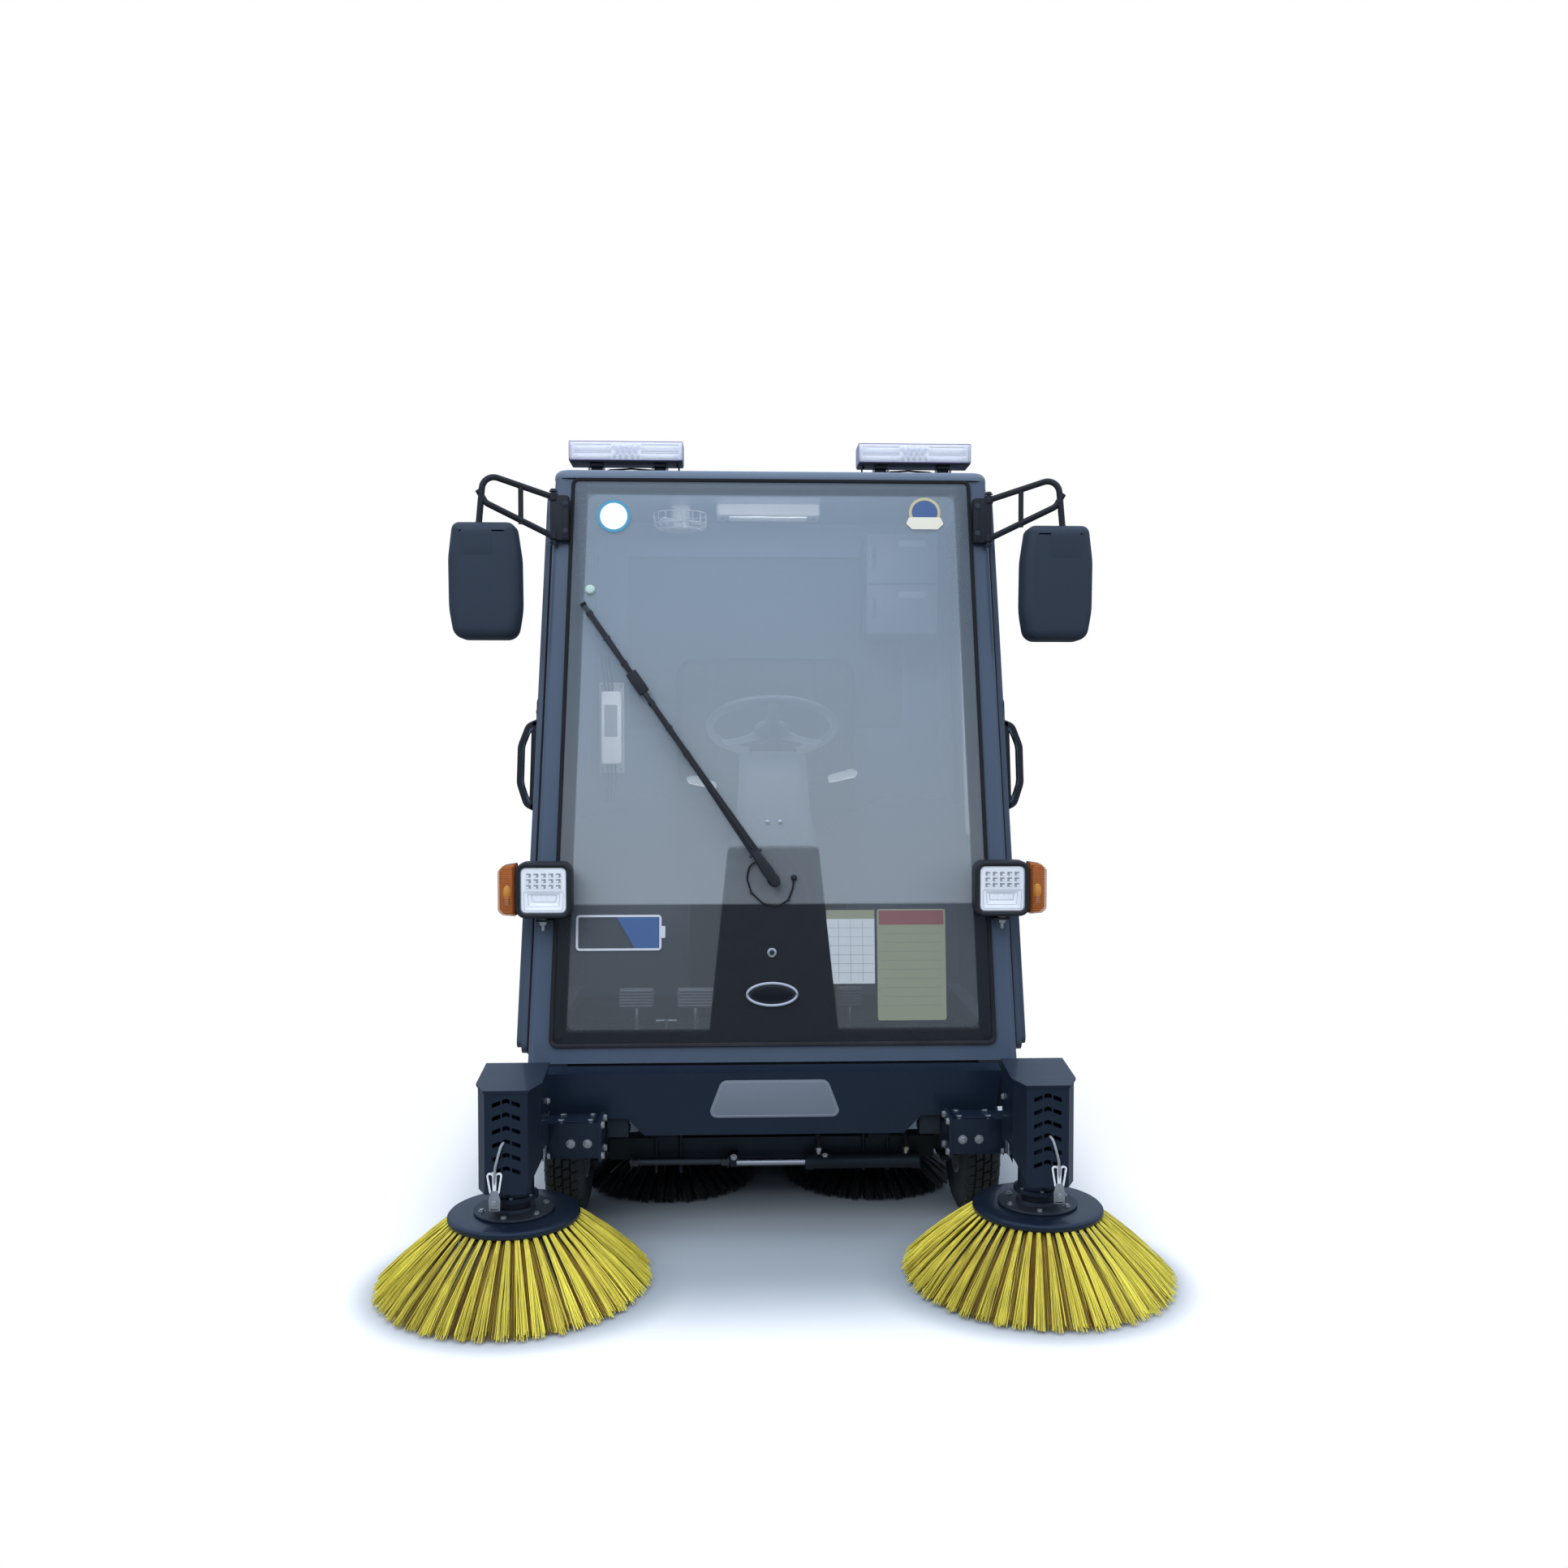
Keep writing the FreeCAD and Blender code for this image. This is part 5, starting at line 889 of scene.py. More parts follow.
# places on the machine
SCREEN_SLOPE = math.atan2(LEAN, RISE)
SCREEN = Matrix.Translation((0, SILL_Y, SILL_Z)) @ Matrix.Rotation(-SCREEN_SLOPE, 4, "X")
SIDE_SLOPE = math.atan2(NARROWING, RISE)
DOOR = Matrix.Translation((SILL_HALF, 0, SILL_Z)) @ Matrix.Rotation(-SIDE_SLOPE, 4, "Y")
FLIP = {1: Matrix.Identity(4), -1: Matrix.Diagonal((-1, 1, 1, 1))}
# the outer face of the windscreen, in its own frame
GLASS_FACE = -0.006


def front_at(z):
    return SILL_Y + (z - SILL_Z) * LEAN / RISE


def half_at(z):
    return SILL_HALF - (z - SILL_Z) * NARROWING / RISE


# mirrors
MIRROR_FRONT, MIRROR_REAR = -0.524, -0.44


def mirror_panel(piece):
    """A panel raised a little on the upper part of the shell, following its rounded rim."""
    top, foot = 1.8995, 1.813

    def face(z, lift):
        gap = max(0.0, min(1.0, (1.9015 - z) / 0.028))
        return MIRROR_FRONT + 0.03 * (1 - math.sqrt(max(0.0, 1 - (1 - gap) ** 2))) - lift

    outer, inner = [], []
    for k in range(10):
        z = top - (top - foot) * (k / 9) ** 1.6
        row = [(0.745 + 0.081 * n / 8, 0.0 if k in (0, 9) or n in (0, 8) else 1.0) for n in range(9)]
        outer.append([(x, face(z, 0.0003 + 0.0011 * inside), z) for x, inside in row])
        inner.append([(x, face(z, -0.002), z) for x, inside in row])
    piece.shell(outer, inner, "mirror_shell")


def mirror_mount(piece):
    """Two tubes, the hinge post and the bracket on the cab's corner."""
    post = (0.5982, -0.4104)
    piece.tube([(*post, 1.985), (0.774, -0.482, 2.035), (0.788, -0.482, 1.885)], 0.0085, "black", 0.034,
               16, 8)
    piece.tube([(*post, 1.878), (0.768, -0.48, 1.956), (0.788, -0.482, 1.99)], 0.0085, "black", 0.022,
               16, 6)
    piece.rod((0.681, -0.4443, 2.0085), (0.681, -0.4443, 1.906), 0.007, "black", 14)
    piece.lathe([(0.0125, 0), (0.0125, 0.008), (0.0095, 0.011)], (0.788, -0.482, 1.893), UP, "rubber", 20)
    piece.slab("XZ", rect(0.5565, 0.606, 1.868, 1.99, 0.004, 2), -0.4175, -0.386, "black", 0.0015)
    piece.slab("XZ", rect(0.5585, 0.572, 1.872, 1.986, 0.003, 2), -0.4195, -0.416, "black", 0.001)
    piece.rod((*post, 1.861), (*post, 2.002), 0.006, "dark_steel", 16, 0.001)
    for z in (1.871, 1.976):
        piece.rod((*post, z), (*post, z + 0.02), 0.0125, "black", 20, 0.001)
    piece.bolt((*post, 2.0), UP, 0.0085, "dark_steel")
    piece.bolt((*post, 1.863), DOWN, 0.0085, "dark_steel")
    for z in (1.892, 1.966):
        piece.bolt((0.5655, -0.4195, z), FORWARD, 0.0065, "dark_steel")


def mirrors():
    piece = Piece("mirror_pair")
    outline = rounded([(-0.08, 0.31), (-0.094, 0.215), (-0.0955, 0.08), (-0.082, 0.0), (0.08, 0.0),
                       (0.094, 0.08), (0.0955, 0.215), (0.084, 0.31)],
                      [0.022, 0.25, 0.25, 0.034, 0.034, 0.25, 0.25, 0.022], 6)
    outline = [(a + 0.77, b + 1.592) for a, b in outline]
    rear = MIRROR_REAR
    for flip in FLIP.values():
        piece.place = flip
        piece.slab("XZ", outline, MIRROR_FRONT, rear, "mirror_shell", (0.028, 0.03, 0.004, 0.004), 7)
        piece.frame("XZ", outline, [(0.004, rear - 0.001), (0.004, rear + 0.004), (0.01, rear + 0.004),
                                    (0.012, rear - 0.001)], "mirror_shell")
        piece.slab("XZ", piece.shrunk(outline, 0.011), rear - 0.001, rear + 0.0012, "mirror_glass")
        mirror_panel(piece)
        mirror_mount(piece)
    piece.done("chassis", ["mirrors"], 32)


mirrors()


# lamps
LAMP_X, LAMP_Z, LAMP_FRONT, LAMP_HALF = 0.604, 0.929, -0.602, 0.0735


def lamp_step(half, low, high, radius):
    """One outline of the stepped reflector under the lights: a little wider at its upper edge."""
    points = twin([(half, LAMP_Z - low), (half + 0.002, LAMP_Z - high)], LAMP_X)
    return rounded(points, radius, 6)


def lamp_face(piece, outer):
    """White face with the stepped reflector and three rows of lights."""
    y = LAMP_FRONT
    line = piece.shrunk(outer, 0.0155)
    hole = lamp_step(0.05, 0.053, 0.003, 0.004)
    mid = lamp_step(0.04, 0.043, 0.009, 0.003)
    deep = lamp_step(0.031, 0.032, 0.013, 0.002)
    steps = ((line, 0.03), (line, 0.0085), (piece.shrunk(line, 0.001), 0.0075), (hole, 0.0075),
             (mid, 0.0115), (piece.shrunk(mid, 0.003), 0.0125), (deep, 0.0175))
    piece.rings([[(a, y + back, b) for a, b in ring] for ring, back in steps], "lamp_white", smooth=False)
    for ring, at in ((hole, y + 0.0072), (mid, y + 0.0112), (deep, y + 0.0171)):
        piece.frame("XZ", ring, [(-0.0003, at - 0.0003), (-0.0003, at + 0.0007), (0.0008, at + 0.0007),
                                 (0.0008, at - 0.0003)], "lamp_grey", False)
    for k in range(5):
        x = LAMP_X - 0.026 + 0.013 * k
        piece.box((x - 0.0042, y + 0.0145, LAMP_Z - 0.0305), (x + 0.0042, y + 0.019, LAMP_Z - 0.0145),
                  "lamp_white", 0.001)
    for row in range(3):
        for column in range(5):
            x = LAMP_X - 0.0388 + 0.0194 * column
            z = LAMP_Z + 0.0395 - 0.0149 * row
            piece.box((x - 0.0064, y + 0.0062, z - 0.0052), (x + 0.0064, y + 0.009, z + 0.0052), "led_grey",
                      0.0008)
            # on each chip, a white patch at its lower right is a painted highlight and a dark patch at its
            # upper left is painted shade, as on a glossy dome
            piece.box((x - 0.0001, y + 0.0056, z - 0.0046), (x + 0.0058, y + 0.0066, z + 0.0002),
                      "lamp_white", 0.0006)
            piece.box((x - 0.005, y + 0.0056, z + 0.0012), (x - 0.0012, y + 0.0066, z + 0.0044),
                      "lamp_dark", 0.0006)


def lamp_foot(piece):
    """Stud, plate and nut underneath, and the lamp's cable."""
    x, y = LAMP_X + 0.006, LAMP_FRONT + 0.04
    low = LAMP_Z - LAMP_HALF
    piece.rod((x, y, low - 0.037), (x, y, low + 0.003), 0.0045, "steel", 16, 0.001)
    piece.lathe([(0.012, 0), (0.012, 0.0025)], (x, y, low - 0.006), UP, "steel", 24)
    piece.lathe([(0.015, 0), (0.0145, 0.006)], (x, y, low - 0.0035), UP, "black", 24)
    piece.slab("XY", rounded([(LAMP_X - 0.02, y - 0.018), (LAMP_X + 0.024, y - 0.018),
                              (LAMP_X + 0.026, y + 0.06), (LAMP_X - 0.022, y + 0.06)], 0.008, 4),
               low - 0.012, low - 0.006, "black", 0.0008, 2)
    piece.bolt((x, y, low - 0.012), DOWN, 0.0095, "steel", 0.85)
    piece.tube([(LAMP_X - 0.02, y + 0.026, LAMP_Z - 0.03), (LAMP_X - 0.03, y + 0.045, LAMP_Z - 0.05),
                (LAMP_X - 0.036, front_at(0.86) + 0.004, LAMP_Z - 0.072)], 0.0035, "rubber", 0.03, 10)


def headlamps():
    piece = Piece("headlamp_pair")
    lens = Piece("headlamp_lenses")
    outer = rect(LAMP_X - LAMP_HALF, LAMP_X + LAMP_HALF, LAMP_Z - LAMP_HALF, LAMP_Z + LAMP_HALF, 0.027, 6)
    y = LAMP_FRONT
    for flip in FLIP.values():
        piece.place = flip
        lens.place = flip
        piece.slab("XZ", outer, y + 0.0205, y + 0.07, "black", (0.0, 0.0, 0.018, 0.02), 4)
        piece.frame("XZ", outer, [(0.0, y + 0.022), (0.0005, y + 0.005), (0.003, y + 0.0012), (0.007, y),
                                  (0.0105, y + 0.001), (0.0135, y + 0.004), (0.0145, y + 0.022)], "black")
        lamp_face(piece, outer)
        lens.slab("XZ", piece.shrunk(outer, 0.0138), y + 0.0028, y + 0.0046, "clear_lens", 0.0006, 2)
        lamp_foot(piece)
    piece.done("chassis", ["headlamps"], 30)
    lens.done("chassis", (), 30)


headlamps()


def amber_lamps():
    piece = Piece("amber_pair")
    core = Piece("amber_cores")
    x0 = LAMP_X + LAMP_HALF
    y = LAMP_FRONT + 0.008
    points = [(x0 + 0.0006, -0.069), (x0 + 0.0006, 0.069), (x0 + 0.034, 0.0635), (x0 + 0.0472, 0.05),
              (x0 + 0.0472, -0.054), (x0 + 0.036, -0.066)]
    outline = rounded(points, [0.003, 0.003, 0.014, 0.012, 0.012, 0.014], 4)
    outline = [(a, b + LAMP_Z) for a, b in outline]
    for flip in FLIP.values():
        piece.place = flip
        core.place = flip
        piece.slab("XZ", outline, y, y + 0.036, "amber", (0.007, 0.01, 0.0, 0.0), 5)
        piece.frame("XZ", piece.shrunk(outline, 0.0085), [(0.0, y + 0.002), (0.0004, y - 0.0006),
                                                          (0.0022, y - 0.0006), (0.0026, y + 0.002)], "amber")
        core.slab("XZ", piece.shrunk(outline, -0.0002), y + 0.036, y + 0.054, "black",
                  (0.0, 0.0, 0.006, 0.006), 3)
        core.slab("XZ", piece.shrunk(outline, 0.006), y + 0.024, y + 0.0362, "amber_deep", 0.002, 2)
        # bulb in its socket
        bulb = (x0 + 0.024, y + 0.016)
        core.rod((*bulb, LAMP_Z - 0.04), (*bulb, LAMP_Z - 0.022), 0.0065, "reflector", 16, 0.001)
        core.lathe([(0.0065, 0.0), (0.01, 0.006), (0.0115, 0.015), (0.0105, 0.024), (0.006, 0.031),
                    (0.0015, 0.034)], (*bulb, LAMP_Z - 0.022), UP, "bulb", 20)
    core.done("chassis", (), 30)
    piece.done("chassis", ["indicator_lamps"], 30)


amber_lamps()


# light bars
BAR_LEFT, BAR_RIGHT = 0.25, 0.572
BAR_LOW, BAR_HIGH = 2.11, 2.1695
BAR_FRONT, BAR_REAR = -0.285, -0.193
BAR_MIDDLE = (BAR_LEFT + BAR_RIGHT) / 2
ROOF_TOP = 2.0702


def bar_insides(body):
    """The tray and, on both faces of the white core, two rows of tubes with diamonds between them."""
    low, high, front, rear = BAR_LOW, BAR_HIGH, BAR_FRONT, BAR_REAR
    body.slab("YZ", rect(front + 0.003, rear - 0.003, low, low + 0.006, 0.002, 2), BAR_LEFT + 0.002,
              BAR_RIGHT - 0.002, "black", 0.001)
    body.slab("YZ", rounded([(front + 0.016, low + 0.006), (rear - 0.016, low + 0.006),
                             (rear - 0.02, high - 0.006), (front + 0.02, high - 0.006)], 0.003, 2),
              BAR_LEFT + 0.006, BAR_RIGHT - 0.006, "lamp_white", 0.001)
    wide = BAR_RIGHT - BAR_LEFT - 0.012
    for y, out in ((front + 0.0185, -1), (rear - 0.0185, 1)):
        for end in (-1, 1):
            near = BAR_MIDDLE + end * wide * 0.135
            far = BAR_MIDDLE + end * wide * 0.48
            for z in (low + 0.0185, low + 0.0425):
                body.rod((near, y, z), (far, y, z), 0.0072, "lamp_white", 12, 0.001)
                for lift in (0.0098, -0.0098):
                    body.rod((near, y, z + lift), (far, y, z + lift), 0.0016, "lamp_grey", 12, 0.001)
                for spot in (0.93, 0.08):
                    x = far + (near - far) * spot
                    body.lathe([(0.0105, 0.0), (0.001, 0.011)], (x, y, z), (0, out, 0), "reflector", 3,
                               smooth=False)
        for row, (count, start) in enumerate(((5, -2.0), (4, -1.5), (5, -2.0))):
            for column in range(count):
                x = BAR_MIDDLE + (start + column) * wide * 0.054
                z = low + 0.0175 + 0.013 * row
                body.lathe([(0.01, 0.0), (0.006, 0.004), (0.0008, 0.0075)], (x, y, z), (0, out, 0),
                           "reflector", 4, smooth=False)


def bar_cover(cover):
    """Clear cover with tinted end plates and edges."""
    x0, x1, low, high, front, rear = BAR_LEFT, BAR_RIGHT, BAR_LOW, BAR_HIGH, BAR_FRONT, BAR_REAR
    cover.frame("YZ", rect(front, rear, low + 0.004, high, 0.008, 4),
                [(0.0, x0), (0.0, x1), (0.0022, x1), (0.0022, x0)], "bar_lens")
    for x in (x0, x1 - 0.002):
        cover.slab("YZ", rect(front + 0.001, rear - 0.001, low + 0.005, high - 0.001, 0.007, 4), x, x + 0.002,
                   "bar_edge", 0.0005, 2)
    for y in (front + 0.0025, rear - 0.0025):
        for z in (low + 0.005, high - 0.0025):
            cover.rod((x0 + 0.001, y, z), (x1 - 0.001, y, z), 0.0012, "bar_edge", 8)


def bar_feet(body):
    """Feet on the roof, and the cable from the bar's end to the roof."""
    front, low, roof = BAR_FRONT, BAR_LOW, ROOF_TOP
    foot = rounded([(front + 0.02, roof), (front + 0.062, roof), (front + 0.062, roof + 0.0043),
                    (front + 0.05, roof + 0.0043), (front + 0.05, low + 0.001),
                    (front + 0.03, low + 0.001), (front + 0.03, roof + 0.0043),
                    (front + 0.02, roof + 0.0043)], 0.001, 1)
    pad = rect(front + 0.016, front + 0.058, low - 0.01, low + 0.001, 0.002, 2)
    for shift in (-0.095, 0.085):
        x = BAR_MIDDLE + shift
        body.slab("YZ", foot, x - 0.016, x + 0.016, "black", 0.0008, 2)
        body.slab("YZ", pad, x - 0.018, x + 0.018, "black", 0.0008, 2)
        for end in (-1, 1):
            body.bolt((x + 0.018 * end, front + 0.03, low - 0.016), (end, 0, 0), 0.0055, "steel", 0.8)
    cable = ((0.02, 0.045, 0.002), (0.012, 0.036, -0.01), (0.012, 0.028, -0.024), (0.026, 0.03, -0.034),
             (0.044, 0.04, -0.026), (0.07, 0.055, -0.014), (0.15, 0.06, -0.008), (0.215, 0.06, -0.012),
             (0.24, 0.062, -0.038))
    body.tube([(BAR_LEFT + x, front + y, low + z) for x, y, z in cable], 0.0026, "rubber", 0.012, 10, 4)


def light_bars():
    body = Piece("bar_bodies")
    cover = Piece("bar_covers")
    for flip in FLIP.values():
        body.place = flip
        cover.place = flip
        bar_insides(body)
        bar_cover(cover)
        bar_feet(body)
    body.done("chassis", ["light_bars"], 30)
    cover.done("chassis", (), 30)


light_bars()


# wiper, washer hose and nozzle
def wiper_arm(piece, base):
    """Pivot and cap, then the arm, which is a little wider than its outline."""
    face = GLASS_FACE
    piece.lathe([(0.017, 0.0003), (0.017, 0.004), (0.0125, 0.008), (0.0125, 0.024)], (0, face, 0), FORWARD,
                "black", 32)
    cap = rounded(twin([(0.013, -0.02), (0.0155, 0.03), (0.011, 0.092)]),
                  [0.012, 0.012, 0.05, 0.006, 0.006, 0.05], 5)
    piece.slab("XZ", cap, face - 0.0335, face - 0.016, "black", (0.005, 0.006, 0.001, 0.001), 5)
    piece.place = base @ Matrix.Diagonal((1.4, 1, 1, 1))
    arm = rounded(twin([(0.0095, 0.086), (0.0065, 0.33), (0.0045, 0.56), (0.004, 0.64)]), 0.001, 1)
    piece.slab("XZ", arm, face - 0.031, face - 0.0245, "black", (0.0012, 0.0012, 0.0005, 0.0005), 2)
    piece.rod((0, face - 0.0305, 0.1), (0, face - 0.0305, 0.3), 0.0028, "black", 10)
    piece.rod((-0.0135, face - 0.024, 0.086), (0.0135, face - 0.024, 0.086), 0.0045, "dark_steel", 14)


def wiper_blade(piece):
    """Bridge, yokes with their claws, spine and rubber lip."""
    face = GLASS_FACE
    low, high = 0.378, 0.914
    middle = (low + high) / 2
    piece.slab("XZ", rect(-0.011, 0.011, middle - 0.034, middle + 0.034, 0.004, 3), face - 0.0325,
               face - 0.019, "black", 0.0015, 2)
    for reach in (-0.15, 0.15):
        at = middle + reach
        bridge = rounded(twin([(0.0055, middle), (0.0042, at)]), 0.001, 1)
        piece.slab("XZ", bridge, face - 0.026, face - 0.0185, "black", 0.0008, 2)
        yoke = rounded(twin([(0.005, at - 0.086), (0.0058, at), (0.005, at + 0.086)]), 0.002, 2)
        piece.slab("XZ", yoke, face - 0.0205, face - 0.0145, "black", 0.0008, 2)
        piece.rod((-0.0075, face - 0.0205, at), (0.0075, face - 0.0205, at), 0.0035, "dark_steel", 12)
        for claw in (at - 0.084, at + 0.084):
            piece.box((-0.0068, face - 0.017, claw - 0.006), (0.0068, face - 0.0095, claw + 0.006), "black",
                      0.0008)
    piece.box((-0.0045, face - 0.0135, low), (0.0045, face - 0.01, high), "dark_steel", 0.0004)
    lip = twin([(0.0038, face - 0.0105), (0.003, face - 0.0075), (0.001, face - 0.0062),
                (0.0007, face - 0.0004)])
    piece.slab("XY", rounded(lip, 0.0002, 1), low, high, "rubber", 0.0, 1)
    for end in (low - 0.001, high - 0.008):
        piece.box((-0.0062, face - 0.0145, end), (0.0062, face - 0.008, end + 0.009), "rubber", 0.0008)


def wiper():
    piece = Piece("wiper_dressed")
    base = SCREEN @ Matrix.Translation((0, 0, 0.48 / math.cos(SCREEN_SLOPE)))
    base = base @ Matrix.Rotation(math.radians(-34.5), 4, "Y")
    piece.place = base
    wiper_arm(piece, base)
    wiper_blade(piece)
    piece.done("wiper", ["wiper"], 30)


def washer_hose():
    hose = Piece("washer_hose")
    hose.place = SCREEN
    face = GLASS_FACE
    y = face - 0.003
    hose.tube([(-0.017, y - 0.006, 0.5), (-0.045, y - 0.006, 0.535), (-0.066, y - 0.003, 0.52),
               (-0.072, y, 0.488), (-0.06, y, 0.45), (-0.028, y, 0.42), (0.01, y, 0.411),
               (0.04, y, 0.43), (0.052, y, 0.462), (0.0545, y - 0.002, 0.484)], 0.0024, "rubber", 0.03,
              10, 5)
    hose.lathe([(0.0085, 0.0), (0.0085, 0.003), (0.0065, 0.006), (0.0062, 0.011), (0.003, 0.0135)],
               (0.055, face, 0.489), FORWARD, "black", 24)
    for x, z in ((-0.06, 0.45), (0.04, 0.43)):
        hose.box((x - 0.004, face - 0.0058, z - 0.003), (x + 0.004, face, z + 0.003), "black", 0.0008)
    hose.done("chassis", (), 30)


wiper()
washer_hose()


# windscreen seal, emblem, lock, plate and blank signs
def screen_line(inset):
    """The windscreen's outline in its own frame, moved inwards."""
    low, high = 0.046, math.hypot(LEAN, RISE) - 0.004
    points = []
    for u in (low + inset, high - inset):
        share = (u - low) / (high - low)
        points.append((0.593 - share * 0.045 - inset, u))
    return rounded(twin(points), 0.022, 6)


def screen_seal():
    seal = Piece("screen_seal")
    seal.place = SCREEN
    seal.frame("XZ", screen_line(-0.0045), [(0.0, 0.0), (0.0, -0.006), (0.0015, -0.0088), (0.006, -0.0092),
                                           (0.0095, -0.0082), (0.011, -0.0062), (0.0047, -0.0062),
                                           (0.0047, 0.0)], "rubber")
    seal.done("chassis", (), 40)


def front_badges():
    """Plain oval emblem, lock, two washer nozzles and a pale stud on the glass."""
    trim = Piece("front_badges")
    trim.place = SCREEN
    face = GLASS_FACE
    x = -0.005
    emblem = oval(0.0715, 0.034, 56, (x, 0.179))
    trim.slab("XZ", emblem, face - 0.0035, face, "black", (0.001, 0.001, 0.0, 0.0), 2)
    trim.frame("XZ", emblem, [(0.0, face - 0.001), (0.0015, face - 0.0052), (0.0045, face - 0.0062),
                              (0.0078, face - 0.0052), (0.009, face - 0.001)], "chrome")
    trim.slab("XZ", oval(0.056, 0.0215, 56, (x, 0.179)), face - 0.0048, face - 0.002, "print",
              (0.003, 0.0015, 0.0, 0.0), 3)
    trim.lathe([(0.0125, 0.0), (0.0125, 0.003), (0.0105, 0.0045), (0.007, 0.0045), (0.0062, 0.0025)],
               (x, face, 0.289), FORWARD, "chrome", 36)
    trim.lathe([(0.006, 0.0), (0.006, 0.0036), (0.0045, 0.0042)], (x, face, 0.289), FORWARD, "black", 24)
    trim.lathe([(0.0135, 0.0), (0.0135, 0.002), (0.01, 0.0065), (0.004, 0.0075)], (-0.499, face, 1.277),
               FORWARD, "pale_green", 28)
    nozzle = [(0.0055, 0.0), (0.0055, 0.0015), (0.003, 0.0025)]
    for x in (-0.016, 0.018):
        trim.lathe(nozzle, (x, face, 0.64), FORWARD, "chrome", 18)
    trim.done("chassis", (), 35)


def blank_signs():
    """A white disc with its ring, a crest with a band, and a battery shape, all without print."""
    signs = Piece("blank_signs")
    signs.place = SCREEN
    face = GLASS_FACE
    near, far = face - 0.0006, face - 0.0001
    disc = oval(0.046, 0.046, 56, (-0.436, 1.484))
    signs.slab("XZ", disc, near, far, "sign_white")
    signs.frame("XZ", disc, [(0.0, face - 0.0003), (0.0, near - 0.0003), (0.0085, near - 0.0003),
                             (0.0085, face - 0.0003)], "sign_teal")
    crest = (0.424, 1.5)
    signs.slab("XZ", oval(0.044, 0.042, 56, crest), near, far, "sign_gold")
    signs.slab("XZ", oval(0.036, 0.034, 56, crest), near - 0.0004, face - 0.0003, "sign_blue")
    band = rounded([(0.372, 1.468), (0.388, 1.452), (0.46, 1.452), (0.476, 1.468), (0.468, 1.486),
                    (0.38, 1.486)], 0.004, 3)
    signs.slab("XZ", band, near - 0.0008, face - 0.0005, "sign_cream")
    battery = rect(-0.528, -0.3, 0.297, 0.392, 0.01, 4)
    signs.frame("XZ", battery, [(0.0, far), (0.0, near), (0.006, near), (0.006, far)], "sign_silver")
    signs.slab("XZ", rect(-0.3, -0.29, 0.33, 0.362, 0.002, 2), near, far, "sign_silver")
    signs.slab("XZ", [(-0.372, 0.303), (-0.306, 0.303), (-0.306, 0.386), (-0.42, 0.386)], near, far,
               "sign_blue")
    signs.done("chassis", (), 40)


def blank_notices():
    """Two sheets behind the glass, ruled but without print."""
    notes = Piece("blank_notices")
    notes.place = SCREEN
    near, far = 0.0003, 0.0009
    for outline, front, colour_name in (
        (rect(0.142, 0.272, 0.205, 0.378), near, "sheet_white"),
        (rect(0.142, 0.272, 0.378, 0.402), near, "sheet_olive"),
        (rect(0.279, 0.464, 0.107, 0.404, 0.006, 3), near, "sheet_olive"),
        (rect(0.284, 0.459, 0.362, 0.4), near - 0.0003, "sheet_red"),
    ):
        notes.slab("XZ", outline, front, far, colour_name)
    rules = [rect(0.29, 0.453, 0.338 - 0.024 * k, 0.3387 - 0.024 * k) for k in range(9)]
    rules += [rect(0.146, 0.268, 0.378 - 0.024 * k, 0.3787 - 0.024 * k) for k in range(1, 7)]
    rules += [rect(0.142 + 0.0325 * k, 0.1427 + 0.0325 * k, 0.209, 0.376) for k in range(1, 4)]
    for rule in rules:
        notes.slab("XZ", rule, near - 0.0003, near, "sheet_line")
    notes.done("chassis", (), 40)


def bumper_plate():
    plate = Piece("bumper_plate")
    front = -0.61
    outline = rounded(twin([(0.178, 0.329), (0.14, 0.428)]), [0.018, 0.018, 0.022, 0.022], 6)
    plate.slab("XZ", outline, front - 0.0028, front, "plate_grey", (0.0012, 0.0012, 0.0, 0.0), 3)
    plate.frame("XZ", plate.shrunk(outline, 0.0045), [(0.0, front - 0.002), (0.0006, front - 0.0034),
                (0.0018, front - 0.0034), (0.0024, front - 0.002)], "plate_rim")
    plate.done("chassis", (), 35)


screen_seal()
front_badges()
blank_signs()
blank_notices()
bumper_plate()


# front arms, clips and covers
def arm_bolts(piece):
    """Bolts on the flange and on the box beam, and the hinge pin's cap."""
    for y in (-0.722, -0.658):
        for z in (0.268, 0.346):
            piece.bolt((0.4425, y, z), (-1, 0, 0), 0.0085)
    for x in (0.47, 0.545):
        for y in (-0.712, -0.663):
            piece.bolt((x, y, 0.352), UP, 0.008)
    piece.slab("XY", rect(0.458, 0.56, -0.722, -0.653, 0.006, 3), 0.352, 0.356, "navy", 0.001, 2)
    for x in (0.478, 0.52):
        piece.bolt((x, -0.725, 0.3), FORWARD, 0.0085)
    piece.lathe([(0.02, 0.0), (0.02, 0.004), (0.012, 0.006)], (0.472, -0.575, 0.297), SIDEWAYS,
                "dark_steel", 28)
    piece.bolt((0.478, -0.575, 0.297), SIDEWAYS, 0.0105)


